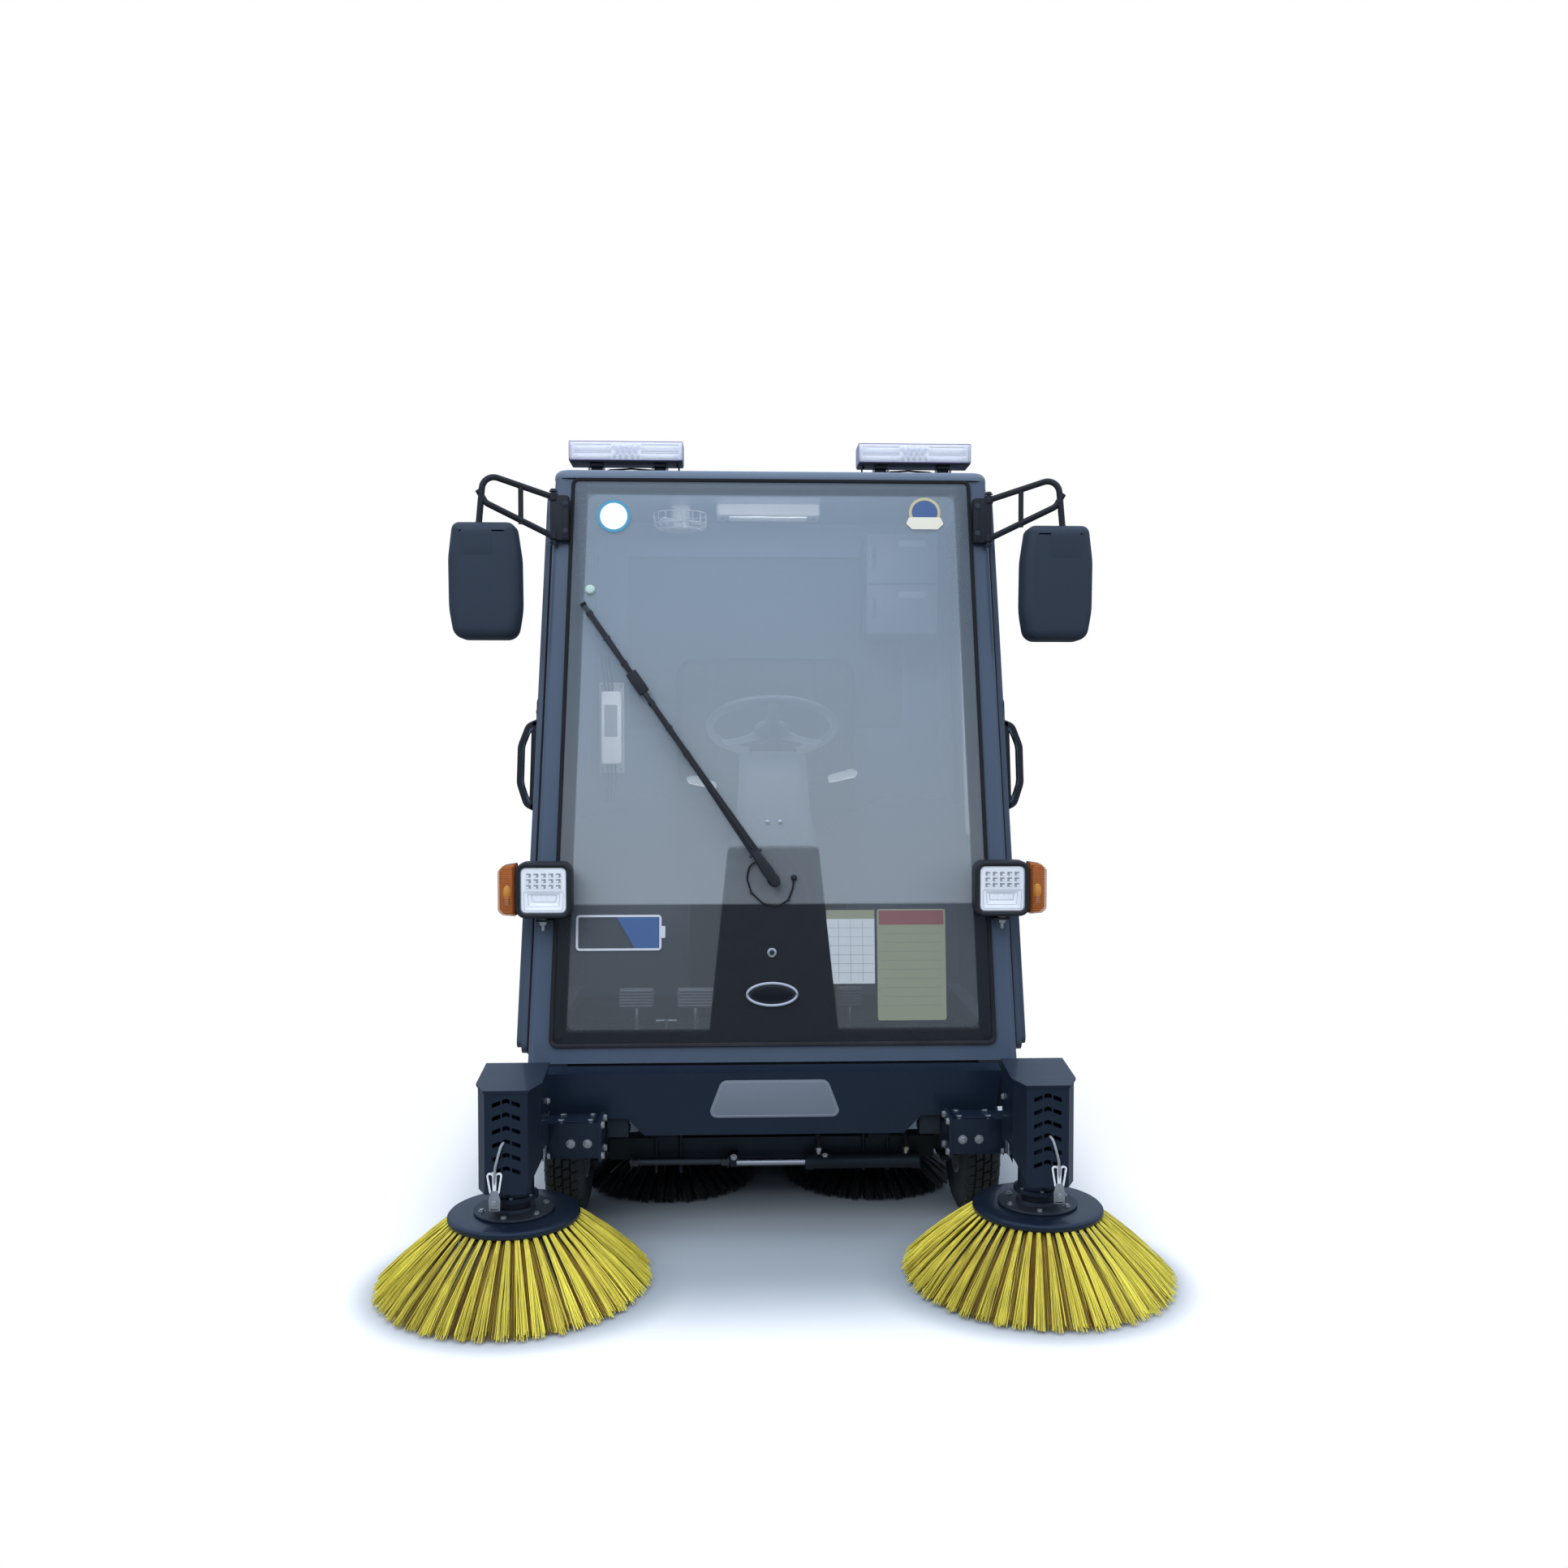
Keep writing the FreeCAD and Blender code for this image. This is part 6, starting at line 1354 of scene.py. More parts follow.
def cover_details(piece):
    """Side screws, the motor's cable out of a slot, and the motor plate's screws."""
    for z in (0.292, 0.43):
        piece.bolt((0.5675, -0.8, z), (-1, 0, 0), 0.007)
        piece.bolt((0.7175, -0.8, z), SIDEWAYS, 0.007)
    piece.slab("XZ", rect(0.566, 0.572, 0.3, 0.33, 0.002, 2), -0.862, -0.83, "steel", 0.0008, 2)
    piece.tube([(0.65, -0.944, 0.372), (0.654, -0.957, 0.368), (0.66, -0.963, 0.345),
                (0.667, -0.962, 0.318), (0.67, -0.958, 0.292), (0.67, -0.951, 0.262)],
               0.0031, "grey", 0.03, 10, 5)
    for x, y in circle(0.05, 6, math.pi / 6):
        piece.bolt((BRUSH_X + x, BRUSH_Y + y, 0.225), UP, 0.0048, "steel", 0.7, False)


def cable_clip(piece):
    """Two loops on a small bracket under the cover."""
    x, y = 0.67, -0.957
    for lean in (-1, 1):
        low, high = x + lean * 0.0055, x + lean * 0.0105
        loop = rounded([(low - 0.0058, 0.253), (low + 0.0058, 0.253), (high + 0.009, 0.304),
                        (high - 0.009, 0.304)], [0.0055, 0.0055, 0.0088, 0.0088], 6)
        section = [(0.0, y), (0.0, y + 0.004), (0.004, y + 0.004), (0.004, y)]
        piece.frame("XZ", loop, section, "white", False)
    bracket = rounded(twin([(0.013, 0.212), (0.014, 0.24), (0.008, 0.262)], x), 0.003, 3)
    piece.slab("XZ", bracket, y - 0.001, y + 0.005, "steel", 0.0008, 2)
    piece.slab("XY", rect(0.659, 0.681, -0.958, -0.905, 0.002, 2), 0.2155, 0.2185, "steel", 0.0006, 2)
    piece.bolt((x, y - 0.001, 0.233), FORWARD, 0.0072)


for side, sign in SIDES:
    piece = Piece(f"arm_details_{side}")
    piece.place = FLIP[sign]
    arm_bolts(piece)
    cover_details(piece)
    cable_clip(piece)
    piece.done(f"front_arm_{side}", (), 32)


# doors: seals, window rubbers, locks
DOOR_FACE = 0.0263


def up_door(z):
    """The height on the leaning door, from a height over the ground."""
    return (z - SILL_Z) / math.cos(SIDE_SLOPE)


def door_line(inset, low, high, corner):
    points = [(front_at(z) + 0.058 + inset, 0.36 - inset, up_door(z)) for z in (low, high)]
    (f0, r0, z0), (f1, r1, z1) = points
    return rounded([(f0, z0), (r0, z0), (r1, z1), (f1, z1)], corner, 6)


def door_rubbers(piece):
    """Seal round the leaf, and a rubber on each side of the window and between its panes."""
    near, far = 0.0003, DOOR_FACE
    leaf = door_line(0.0, 0.473, 2.011, 0.03)
    piece.frame("YZ", leaf, [(-0.0035, near + 0.0006), (-0.0035, near + 0.01), (0.001, near + 0.012),
                             (0.001, near + 0.0006)], "rubber")
    window = door_line(0.062, 1.01, 1.949, 0.04)
    outer, inner = far + 0.003, near - 0.003
    for profile in ([(-0.008, far), (-0.007, outer), (0.004, outer), (0.0055, far)],
                    [(-0.008, near), (-0.007, inner), (0.004, inner), (0.0055, near)],
                    [(-0.0005, near + 0.002), (-0.0005, far - 0.002), (0.006, far - 0.004),
                     (0.006, far - 0.01)]):
        piece.frame("YZ", window, profile, "rubber")


def door_handle(piece):
    """Lock under the handle, its screws and plate, and the pull handle."""
    far = DOOR_FACE
    y = front_at(1.252) + 0.096
    for z in (1.105, 1.4):
        piece.bolt((far, y, z - SILL_Z), SIDEWAYS, 0.0058, "dark_steel", 0.7)
    piece.lathe([(0.017, 0.0), (0.017, 0.003), (0.0145, 0.005), (0.006, 0.005), (0.006, 0.0035)],
                (far, y + 0.004, 1.06 - SILL_Z), SIDEWAYS, "chrome", 32)
    plate = rect(y - 0.022, y + 0.03, 0.64, 0.97, 0.012, 4)
    piece.slab("YZ", plate, far, far + 0.0016, "black", 0.0008, 2)
    low, high, y = 0.659, 0.915, front_at(1.252) + 0.084
    grip = rounded([(far - 0.001, low), (far + 0.03, low + 0.014), (far + 0.0515, low + 0.075),
                    (far + 0.0515, high - 0.075), (far + 0.03, high - 0.014), (far - 0.001, high)],
                   [0.004, 0.03, 0.06, 0.06, 0.03, 0.004], 5)
    piece.frame("XZ", grip, [(-0.001, y + 0.003), (0.003, y - 0.001), (0.013, y - 0.001),
                             (0.017, y + 0.003), (0.017, y + 0.021), (0.013, y + 0.025),
                             (0.003, y + 0.025), (-0.001, y + 0.021)], "black")


def door_hinges(piece):
    far = DOOR_FACE
    for z in (0.715, 1.715):
        up = up_door(z)
        piece.slab("YZ", rect(0.308, 0.36, up + 0.012, up + 0.078, 0.006, 3), far, far + 0.004, "black",
                   0.001, 2)
        for y in (0.324, 0.344):
            for lift in (0.028, 0.062):
                piece.bolt((far + 0.004, y, up + lift), SIDEWAYS, 0.0045, "dark_steel", 0.6, False)


for side, sign in SIDES:
    piece = Piece(f"door_trim_{side}")
    piece.place = FLIP[sign] @ DOOR
    door_rubbers(piece)
    door_handle(piece)
    door_hinges(piece)
    piece.done(f"door_{side}", (), 35)


# cab inside
STEER_X, STEER_Y = 0.009, -0.06
STEER = Matrix.Translation((STEER_X, STEER_Y, 1.362)) @ Matrix.Rotation(math.radians(-25), 4, "X")


def steering_wheel():
    piece = Piece("steering_wheel_dressed")
    piece.place = STEER
    # the wheel's greys are a painted sheen on black plastic
    piece.lathe([(0.187 + x, y) for x, y in circle(0.013, 16)], ORIGIN, UP, "wheel_grey", 72, closed=True)
    piece.lathe([(0.03, -0.0615), (0.0155, -0.06), (0.0155, -0.032), (0.034, -0.03), (0.052, -0.02),
                 (0.056, -0.008), (0.052, 0.0), (0.04, 0.005), (0.018, 0.007)], ORIGIN, UP, "wheel_grey",
                40)
    section = ((-1, -0.4), (-0.6, -1), (0.6, -1), (1, -0.4), (1, 0.4), (0.6, 1), (-0.6, 1), (-1, 0.4))
    spoke = [[(x, a * half, z + b * tall) for a, b in section] for x, half, z, tall in
             ((0.04, 0.024, -0.012, 0.01), (0.09, 0.017, -0.013, 0.007), (0.14, 0.015, -0.01, 0.006),
              (0.181, 0.021, -0.003, 0.006))]
    for angle in (35, 145, 270):
        piece.place = STEER @ Matrix.Rotation(math.radians(angle), 4, "Z")
        piece.rings(spoke, "trim_dark")
    piece.done("steering_wheel", ["steering_wheel"], 40)


def steering_column():
    column = Piece("column_cover")
    stations = (
        (0.4655, 0.128, -0.33, -0.12, 0.02), (0.76, 0.126, -0.312, -0.104, 0.022),
        (0.985, 0.124, -0.292, -0.084, 0.026), (1.06, 0.116, -0.262, -0.064, 0.032),
        (1.13, 0.104, -0.226, -0.03, 0.04), (1.215, 0.1, -0.172, 0.006, 0.046),
        (1.275, 0.098, -0.132, 0.022, 0.046), (1.29, 0.088, -0.118, 0.014, 0.044),
    )
    # the column cover's grey is a painted sheen on black plastic
    column.rings([[(STEER_X + a, STEER_Y + b, z) for a, b in rect(-half, half, front, rear, corner, 5)]
                  for z, half, front, rear, corner in stations], "trim_dark")
    column.place = STEER
    column.lathe([(0.034, -0.15), (0.034, -0.072), (0.03, -0.0625)], ORIGIN, UP, "black", 32)
    column.place = Matrix.Identity(4)
    for x in (-0.044, 0.048):
        column.lathe([(0.0075, 0.0), (0.0075, 0.0018), (0.0045, 0.0036)], (STEER_X + x, -0.2052, 1.236),
                     (0, -0.92, 0.39), "chrome", 20)
    # a stalk with a pale grip on each side
    for sign, y_tip, z_tip in ((1, -0.085, 1.215), (-1, -0.08, 1.196)):
        column.tube([(STEER_X + sign * 0.08, -0.07, 1.188), (STEER_X + sign * 0.15, -0.078, 1.196),
                     (STEER_X + sign * 0.185, y_tip, z_tip - 0.006)], 0.0055, "black", 0.05, 12)
        grip = ((0.168, -0.022), (0.25, -0.004), (0.262, 0.014), (0.24, 0.022), (0.168, 0.002))
        column.slab("XZ", rounded([(STEER_X + sign * x, z_tip + z) for x, z in grip], 0.008, 4),
                    y_tip - 0.012, y_tip + 0.01, "grip_pale", 0.006, 3)
    # small instrument hood
    column.slab("XZ", rect(STEER_X - 0.07, STEER_X + 0.07, 1.282, 1.3, 0.006, 3), -0.175, -0.085, "black",
                0.004, 3)
    column.done("chassis", ["steering_column"], 40)


steering_wheel()
steering_column()


def control_box(piece):
    """A box on the rear wall with its back plate, screws and cables."""
    x0, x1, y = -0.5645, -0.4645, 0.31
    for outline, near, far, material, edge, steps in (
        (rect(x0 + 0.012, x1 - 0.006, 1.215, 1.515, 0.004, 3), y + 0.028, y + 0.045, "grey", 0.001, 2),
        (rect(x0 + 0.02, x1 - 0.014, 1.245, 1.485, 0.01, 4), y - 0.002, y + 0.03, "lamp_white", 0.006, 3),
        (rect(x0 + 0.032, x1 - 0.026, 1.335, 1.44, 0.004, 3), y - 0.0035, y, "grey", 0.001, 2),
    ):
        piece.slab("XZ", outline, near, far, material, edge, steps)
    for z in (1.228, 1.502):
        for x in (x0 + 0.022, x1 - 0.016):
            piece.bolt((x, y + 0.028, z), FORWARD, 0.0042, "dark_steel", 0.6, False)
    for k in range(3):
        x = x0 + 0.034 + 0.012 * k
        piece.tube([(x, y + 0.016, 1.486), (x - 0.004, y + 0.012, 1.53), (x - 0.01, y + 0.024, 1.56),
                    (x - 0.014, y + 0.04, 1.6)], 0.0028, "rubber", 0.03, 8)
        piece.tube([(x + 0.006, y + 0.016, 1.246), (x + 0.01, y + 0.01, 1.2),
                    (x + 0.004, y + 0.026, 1.15), (x, y + 0.042, 1.12)], 0.0028, "rubber", 0.03, 8)


def roof_lamp(piece):
    piece.slab("XY", rect(-0.16, 0.16, 0.0, 0.12, 0.014, 4), 2.011, 2.0448, "grey",
               (0.006, 0.008, 0, 0), 3)
    piece.slab("XY", rect(-0.12, 0.12, 0.022, 0.098, 0.008, 4), 2.0085, 2.013, "lamp_white", 0.002, 2)
    for x in (-0.142, 0.142):
        piece.bolt((x, 0.06, 2.011), DOWN, 0.005, "dark_steel", 0.5, False)


def roof_fan(piece):
    """Cage of hoops and wires, motor and five blades."""
    cx, cy, cz = -0.272, 0.06, 2.01
    for radius, z in ((0.083, cz - 0.02), (0.083, cz + 0.012), (0.06, cz - 0.034), (0.034, cz - 0.0345)):
        hoop = [(radius + x, y) for x, y in circle(0.0018, 6)]
        piece.lathe(hoop, (cx, cy, z), UP, "grey", 36, closed=True)
    for c, s in circle(1.0, 18):
        wire = ((0.02, -0.034), (0.074, -0.0335), (0.083, -0.012), (0.083, 0.012))
        piece.tube([(cx + r * c, cy + r * s, cz + z) for r, z in wire], 0.0013, "grey", 0.012, 6, 3)
    piece.lathe([(0.022, -0.036), (0.026, -0.03), (0.03, 0.0), (0.03, 0.03), (0.034, 0.0348)],
                (cx, cy, cz), UP, "grey", 28)
    blade = rounded([(0.02, -0.01), (0.07, -0.026), (0.074, 0.018), (0.022, 0.012)], 0.008, 3)
    for k in range(5):
        turn = Matrix.Translation((cx, cy, cz - 0.012)) @ Matrix.Rotation(2 * math.pi * k / 5, 4, "Z")
        piece.place = turn @ Matrix.Rotation(math.radians(24), 4, "X")
        piece.slab("XY", blade, -0.0012, 0.0012, "grey", 0.0004, 1)
    piece.place = Matrix.Identity(4)


def wall_cabinet(piece):
    """A cabinet with two doors, each with its handle and a blank label."""
    x1 = half_at(1.985) - 0.053
    x0 = x1 - 0.23
    y = 0.155
    piece.slab("XZ", rect(x0, x1, 1.66, 1.985, 0.006, 3), y + 0.004, 0.3548, "cabinet", 0.002, 2)
    for z0, z1 in ((1.664, 1.818), (1.824, 1.981)):
        middle = (z0 + z1) / 2
        piece.slab("XZ", rect(x0 + 0.004, x1 - 0.004, z0, z1, 0.005, 3), y - 0.006, y + 0.004, "cabinet",
                   0.002, 2)
        piece.slab("XZ", rect(x0 + 0.016, x0 + 0.026, middle - 0.03, middle + 0.03, 0.003, 3), y - 0.014,
                   y - 0.005, "steel", 0.002, 2)
        piece.slab("XZ", rect(x0 + 0.1, x0 + 0.19, z1 - 0.04, z1 - 0.02, 0.004, 3), y - 0.0075,
                   y - 0.0055, "cabinet_light", 0.0006, 2)


def cab_interior():
    piece = Piece("cab_interior")
    control_box(piece)
    roof_lamp(piece)
    roof_fan(piece)
    wall_cabinet(piece)
    piece.done("chassis", ["cab_fittings"], 35)


def pedals():
    piece = Piece("pedals_dressed")
    for x, wide in ((-0.385, 0.1), (-0.216, 0.105), (0.225, 0.074)):
        piece.slab("XY", rect(x - 0.02, x + 0.02, -0.33, -0.25, 0.005, 3), SILL_Z, SILL_Z + 0.01,
                   "chassis", 0.001, 2)
        for y in (-0.318, -0.262):
            piece.bolt((x, y, SILL_Z + 0.01), UP, 0.006, "steel", 0.6)
        piece.tube([(x, -0.292, SILL_Z + 0.008), (x, -0.292, SILL_Z + 0.07), (x, -0.286, SILL_Z + 0.112)],
                   0.0085, "steel", 0.04, 14)
        piece.slab("XZ", rect(x - wide / 2, x + wide / 2, SILL_Z + 0.092, SILL_Z + 0.149, 0.008, 4), -0.3,
                   -0.286, "wheel_grey", 0.002, 2)
        for k in range(6):
            z = SILL_Z + 0.098 + 0.0085 * k
            piece.box((x - wide / 2 + 0.006, -0.307, z), (x + wide / 2 - 0.006, -0.299, z + 0.0045),
                      "trim_dark", 0.001)
    # lever on the left
    piece.rod((-0.3, -0.3, SILL_Z), (-0.3, -0.3, SILL_Z + 0.06), 0.007, "steel", 14, 0.001)
    piece.rod((-0.33, -0.3, SILL_Z + 0.056), (-0.27, -0.3, SILL_Z + 0.056), 0.005, "steel", 14, 0.001)
    piece.done("chassis", ["pedals"], 35)


def cab_mat():
    """Two ribbed mats, one on each side of the column."""
    mat = Piece("cab_mat")
    for x0, x1 in ((-0.59, -0.15), (0.17, 0.59)):
        mat.slab("XY", rect(x0, x1, -0.48, -0.03, 0.02, 4), SILL_Z, SILL_Z + 0.004, "rubber", 0.001, 2)
        for k in range(12):
            y = -0.465 + 0.036 * k
            mat.box((x0 + 0.02, y, SILL_Z + 0.003), (x1 - 0.02, y + 0.01, SILL_Z + 0.0065), "rubber",
                    0.001)
    mat.done("chassis", (), 35)


cab_interior()
pedals()
cab_mat()


# seat: two stuffed pads with sewn channels
def stuffed(name, node, outline, plane, near, far, seams, voxel):
    """A pad blown up as cloth, held along its seams and kept within its solid's room."""
    cap = 0.012
    start = Piece(name)
    start.slab(plane, outline, near, far, "seat", (0.03, 0.03, 0.022, 0.022), 4)
    thing = bpy.data.objects.new(name, start.baked())
    bpy.context.scene.collection.objects.link(thing)
    remesh = thing.modifiers.new("even", "REMESH")
    remesh.mode = "VOXEL"
    remesh.voxel_size = voxel * 1.0

    def bake():
        bpy.context.view_layer.update()
        ready = thing.evaluated_get(bpy.context.evaluated_depsgraph_get())
        mesh = bpy.data.meshes.new_from_object(ready)
        thing.modifiers.clear()
        thing.data = mesh

    bake()
    rest = [v.co.copy() for v in thing.data.vertices]

    def seam_share(p):
        """1 on a sewn line, falling to 0 beside it."""
        return max(0.0, 1.0 - min(abs(p[axis] - at) for axis, at in seams) / 0.01)

    group = thing.vertex_groups.new(name="sewn")
    for index, p in enumerate(rest):
        if seam_share(p) > 0.45:
            group.add([index], 1.0, "REPLACE")
    cloth = thing.modifiers.new("stuffing", "CLOTH")
    cloth.settings.effector_weights.gravity = 0.0
    for key, value in (
        ("vertex_group_mass", "sewn"), ("use_pressure", True), ("uniform_pressure_force", 4.0),
        ("quality", 4), ("tension_stiffness", 20.0), ("compression_stiffness", 20.0),
        ("bending_stiffness", 2.0),
    ):
        setattr(cloth.settings, key, value)
    for frame_number in range(1, 21):
        bpy.context.scene.frame_set(frame_number)
    bake()
    low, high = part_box(node)
    for vertex, before in zip(thing.data.vertices, rest):
        move = vertex.co - before
        if move.length > cap:
            move *= cap / move.length
        place = before + move
        vertex.co = [min(max(place[i], low[i] + 0.001), high[i] - 0.001) for i in range(3)]
        vertex.co -= Vector(vertex.normal) * 0.006 * seam_share(before)
    bpy.context.scene.frame_set(1)
    thing.data.materials.clear()
    thing.data.materials.append(M["seat"])
    for polygon in thing.data.polygons:
        polygon.use_smooth = True
    finer = thing.modifiers.new("finer", "SUBSURF")
    finer.levels = finer.render_levels = 1
    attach(thing, "chassis")
    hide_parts(node)


stuffed("seat_cushion_pad", "seat_cushion", rect(-0.256, 0.256, -0.014, 0.229, 0.045, 5), "XY", 0.884, 0.974,
        [(0, -0.15), (0, 0.15), (1, 0.06), (1, 0.14)], 0.0075)
stuffed("seat_back_pad", "seat_back", rect(-0.294, 0.294, 0.906, 1.594, 0.06, 5), "XZ", 0.264, 0.35,
        [(0, -0.17), (0, 0.17), (2, 1.08), (2, 1.2), (2, 1.32), (2, 1.44)], 0.0095)


# wheels: carcass, tread blocks grown round it, nuts and cap
WHEEL_X, WHEEL_Z = 0.565, 0.2
AXLES = {"front": -0.36, "rear": 0.74}
BLOCKS = 44


def tread_template():
    """One pitch of the tread: four blocks, the outer two sloping over the shoulder."""
    piece = Piece("tread_pitch")
    pitch = 2 * math.pi / BLOCKS
    for middle, wide, top_in, top_out, shift in (
        (-0.0315, 0.0175, 0.1993, 0.1968, 0.0), (-0.0105, 0.0165, 0.1999, 0.1999, 0.35),
        (0.0105, 0.0165, 0.1999, 0.1999, 0.85), (0.0315, 0.0175, 0.1993, 0.1968, 0.5),
    ):
        sign = 1 if middle > 0 else -1
        rings = []
        for lift in (0, 1):
            ring = []
            for x_side, a_side in ((-1, -1), (1, -1), (1, 1), (-1, 1)):
                x = middle + x_side * wide / 2 * (1.0 if lift == 0 else 0.93)
                outer = x_side * sign > 0
                radius = 0.1905 if lift == 0 else (top_out if outer else top_in)
                a = pitch * (shift + a_side * (0.39 if lift == 0 else 0.36)) + x * 2.2
                ring.append((x, radius * math.sin(a), radius * math.cos(a)))
            rings.append(ring)
        piece.rings(rings, "tyre", smooth=False)
    return piece.baked()


def ring_of(name, template, count, material):
    """count copies of a mesh turned evenly about the X axis, by geometry nodes."""
    g = Grove(name, {"count": count})
    seeds = g.make("GeometryNodeMeshLine", {}, {"Count": g.get("count"), "Offset": (0.0, 0.0, 0.0)})
    number = g.value("GeometryNodeInputIndex", {}, {})
    turn = g.vector(number * (2 * math.pi) / g.get("count"), 0.0, 0.0)
    inputs = {"Points": seeds.outputs[0], "Instance": g.start.outputs[0], "Rotation": turn}
    spread = g.make("GeometryNodeInstanceOnPoints", {}, inputs)
    real = g.make("GeometryNodeRealizeInstances", {}, {"Geometry": spread.outputs[0]})
    return g.grow(name, real.outputs[0], material, template, False)


def tyre_mesh():
    piece = Piece("carcass")
    half = [(0.1015, 0.0445), (0.104, 0.0475), (0.1155, 0.0503), (0.119, 0.0515), (0.1215, 0.0503),
            (0.138, 0.0522), (0.15, 0.0524), (0.1515, 0.0516), (0.154, 0.0516), (0.1555, 0.0523),
            (0.17, 0.0508), (0.18, 0.0478), (0.187, 0.0435), (0.1905, 0.04), (0.1915, 0.03),
            (0.1915, 0.01)]
    profile = [(r, -x) for r, x in half] + [(r, x) for r, x in half[::-1]]
    piece.lathe(profile, ORIGIN, SIDEWAYS, "tyre", 96, closed=True)
    # short ribs on both shoulders
    for k in range(36):
        a = 2 * math.pi * k / 36
        quad = [(0.172, 0.0495, a - 0.02), (0.172, 0.0495, a + 0.02), (0.188, 0.0425, a + 0.02),
                (0.188, 0.0425, a - 0.02)]
        for x in (-1, 1):
            rings = [[(x * (h + lift), r * math.sin(b), r * math.cos(b)) for r, h, b in quad]
                     for lift in (-0.001, 0.0018)]
            piece.rings(rings, "tyre", smooth=False)
    data = piece.baked()
    blocks = ring_of("tread_ring", tread_template(), BLOCKS, M["tyre"])
    whole = bmesh.new()
    whole.from_mesh(data)
    whole.from_mesh(blocks)
    whole.to_mesh(data)
    whole.free()
    return data


def wheel_hub(name, body, place):
    """Cap, nuts, valve and the rim's edge."""
    hub = Piece(name)
    hub.place = place
    hub.lathe([(0.0, 0.044), (0.012, 0.0435), (0.022, 0.0405), (0.026, 0.035), (0.0265, 0.0302)], ORIGIN,
              SIDEWAYS, "dark_steel", 36)
    for y, z in circle(0.047, 5, math.pi / 2):
        hub.bolt((0.0235, y, z), SIDEWAYS, 0.01, "steel", 0.75)
    hub.lathe([(0.0035, 0.0), (0.0035, 0.01), (0.0045, 0.011), (0.0045, 0.018), (0.003, 0.02)],
              (0.02, 0.082, 0.01), (1, 0.15, 0), "rubber", 12)
    hub.frame("YZ", circle(0.0985, 72), [(0.0, 0.0462), (0.0, 0.049), (0.0035, 0.049),
                                        (0.005, 0.0462)], "rim")
    hub.done(body, (), 35)


tyre = tyre_mesh()
for end, axle_y in AXLES.items():
    for side, sign in SIDES:
        name = f"{end}_{side}"
        place = Matrix.Translation((sign * WHEEL_X, axle_y, WHEEL_Z))
        if sign < 0:
            place = place @ Matrix.Rotation(math.pi, 4, "Z")
        settle(f"tyre_tread_{name}", tyre, place, f"wheel_{name}", [f"tyre_{name}"])
        place = FLIP[sign] @ Matrix.Translation((WHEEL_X, axle_y, WHEEL_Z))
        wheel_hub(f"wheel_hub_{name}", f"wheel_{name}", place)


# roller brush: core with tufts in ten rows, grown by geometry nodes
ROLLER = Matrix.Translation((0, 0.4, 0.15))
ROLLER_TUFTS = {
    "rows": 10,
    "tufts": 34,
    "per_tuft": int(10 * THIN) + 1,
    "seed": 70,
    "half": 0.342,
    "core": 0.058,
    "reach": 0.1392,
    "twist": 0.3,
}


def roller_tufts():
    g = Grove("roller_tufts", ROLLER_TUFTS)
    total = g.get("rows") * g.get("tufts") * g.get("per_tuft")
    curves, number, share = strands(g, total, 3)
    tuft = (number / g.get("per_tuft")).floor()
    row = (tuft / g.get("tufts")).floor()
    along = (tuft - row * g.get("tufts") + 0.5) / g.get("tufts") * 2.0 - 1.0
    seed = g.get("seed")
    turn = row * (2 * math.pi) / g.get("rows") + along.size() * g.get("twist")
    root_x = g.chance(seed + 1, -0.0045, 0.0045, number)
    root_a = g.chance(seed + 2, -0.05, 0.05, number)
    tip_x = g.chance(seed + 3, -0.0125, 0.0125, number)
    tip_a = g.chance(seed + 4, -0.075, 0.075, number)
    tip_r = g.get("reach") - g.chance(seed + 5, 0.0, 0.004, number)
    x = along * g.get("half") + root_x + (tip_x - root_x) * share
    r = g.get("core") + (tip_r - g.get("core")) * share
    angle = turn + root_a + (tip_a - root_a) * share
    where = g.vector(x, r * (angle + 1.5708).sine(), r * angle.sine())
    shade = g.chance(seed + 6, 0.0, 1.0, number)
    mesh = g.grow("roller_tufts", g.strung(curves, where, shade, 0.0011), M["dark_bristle"])
    settle("roller_tufts", mesh, ROLLER, "roller", ["roller_brush"])


def roller_core():
    core = Piece("roller_core")
    core.place = ROLLER
    core.lathe([(0.0122, -0.372), (0.0122, -0.352), (0.05, -0.35), (0.06, -0.346), (0.0605, 0.346),
                (0.05, 0.35), (0.0122, 0.352), (0.0122, 0.372)], ORIGIN, SIDEWAYS, "chassis", 40)
    for out in (-1, 1):
        for y, z in circle(0.034, 4, 0.4):
            core.bolt((0.3495 * out, y, z), (out, 0, 0), 0.0055, "steel", 0.6, False)
    core.done("roller", (), 35)


roller_tufts()
roller_core()


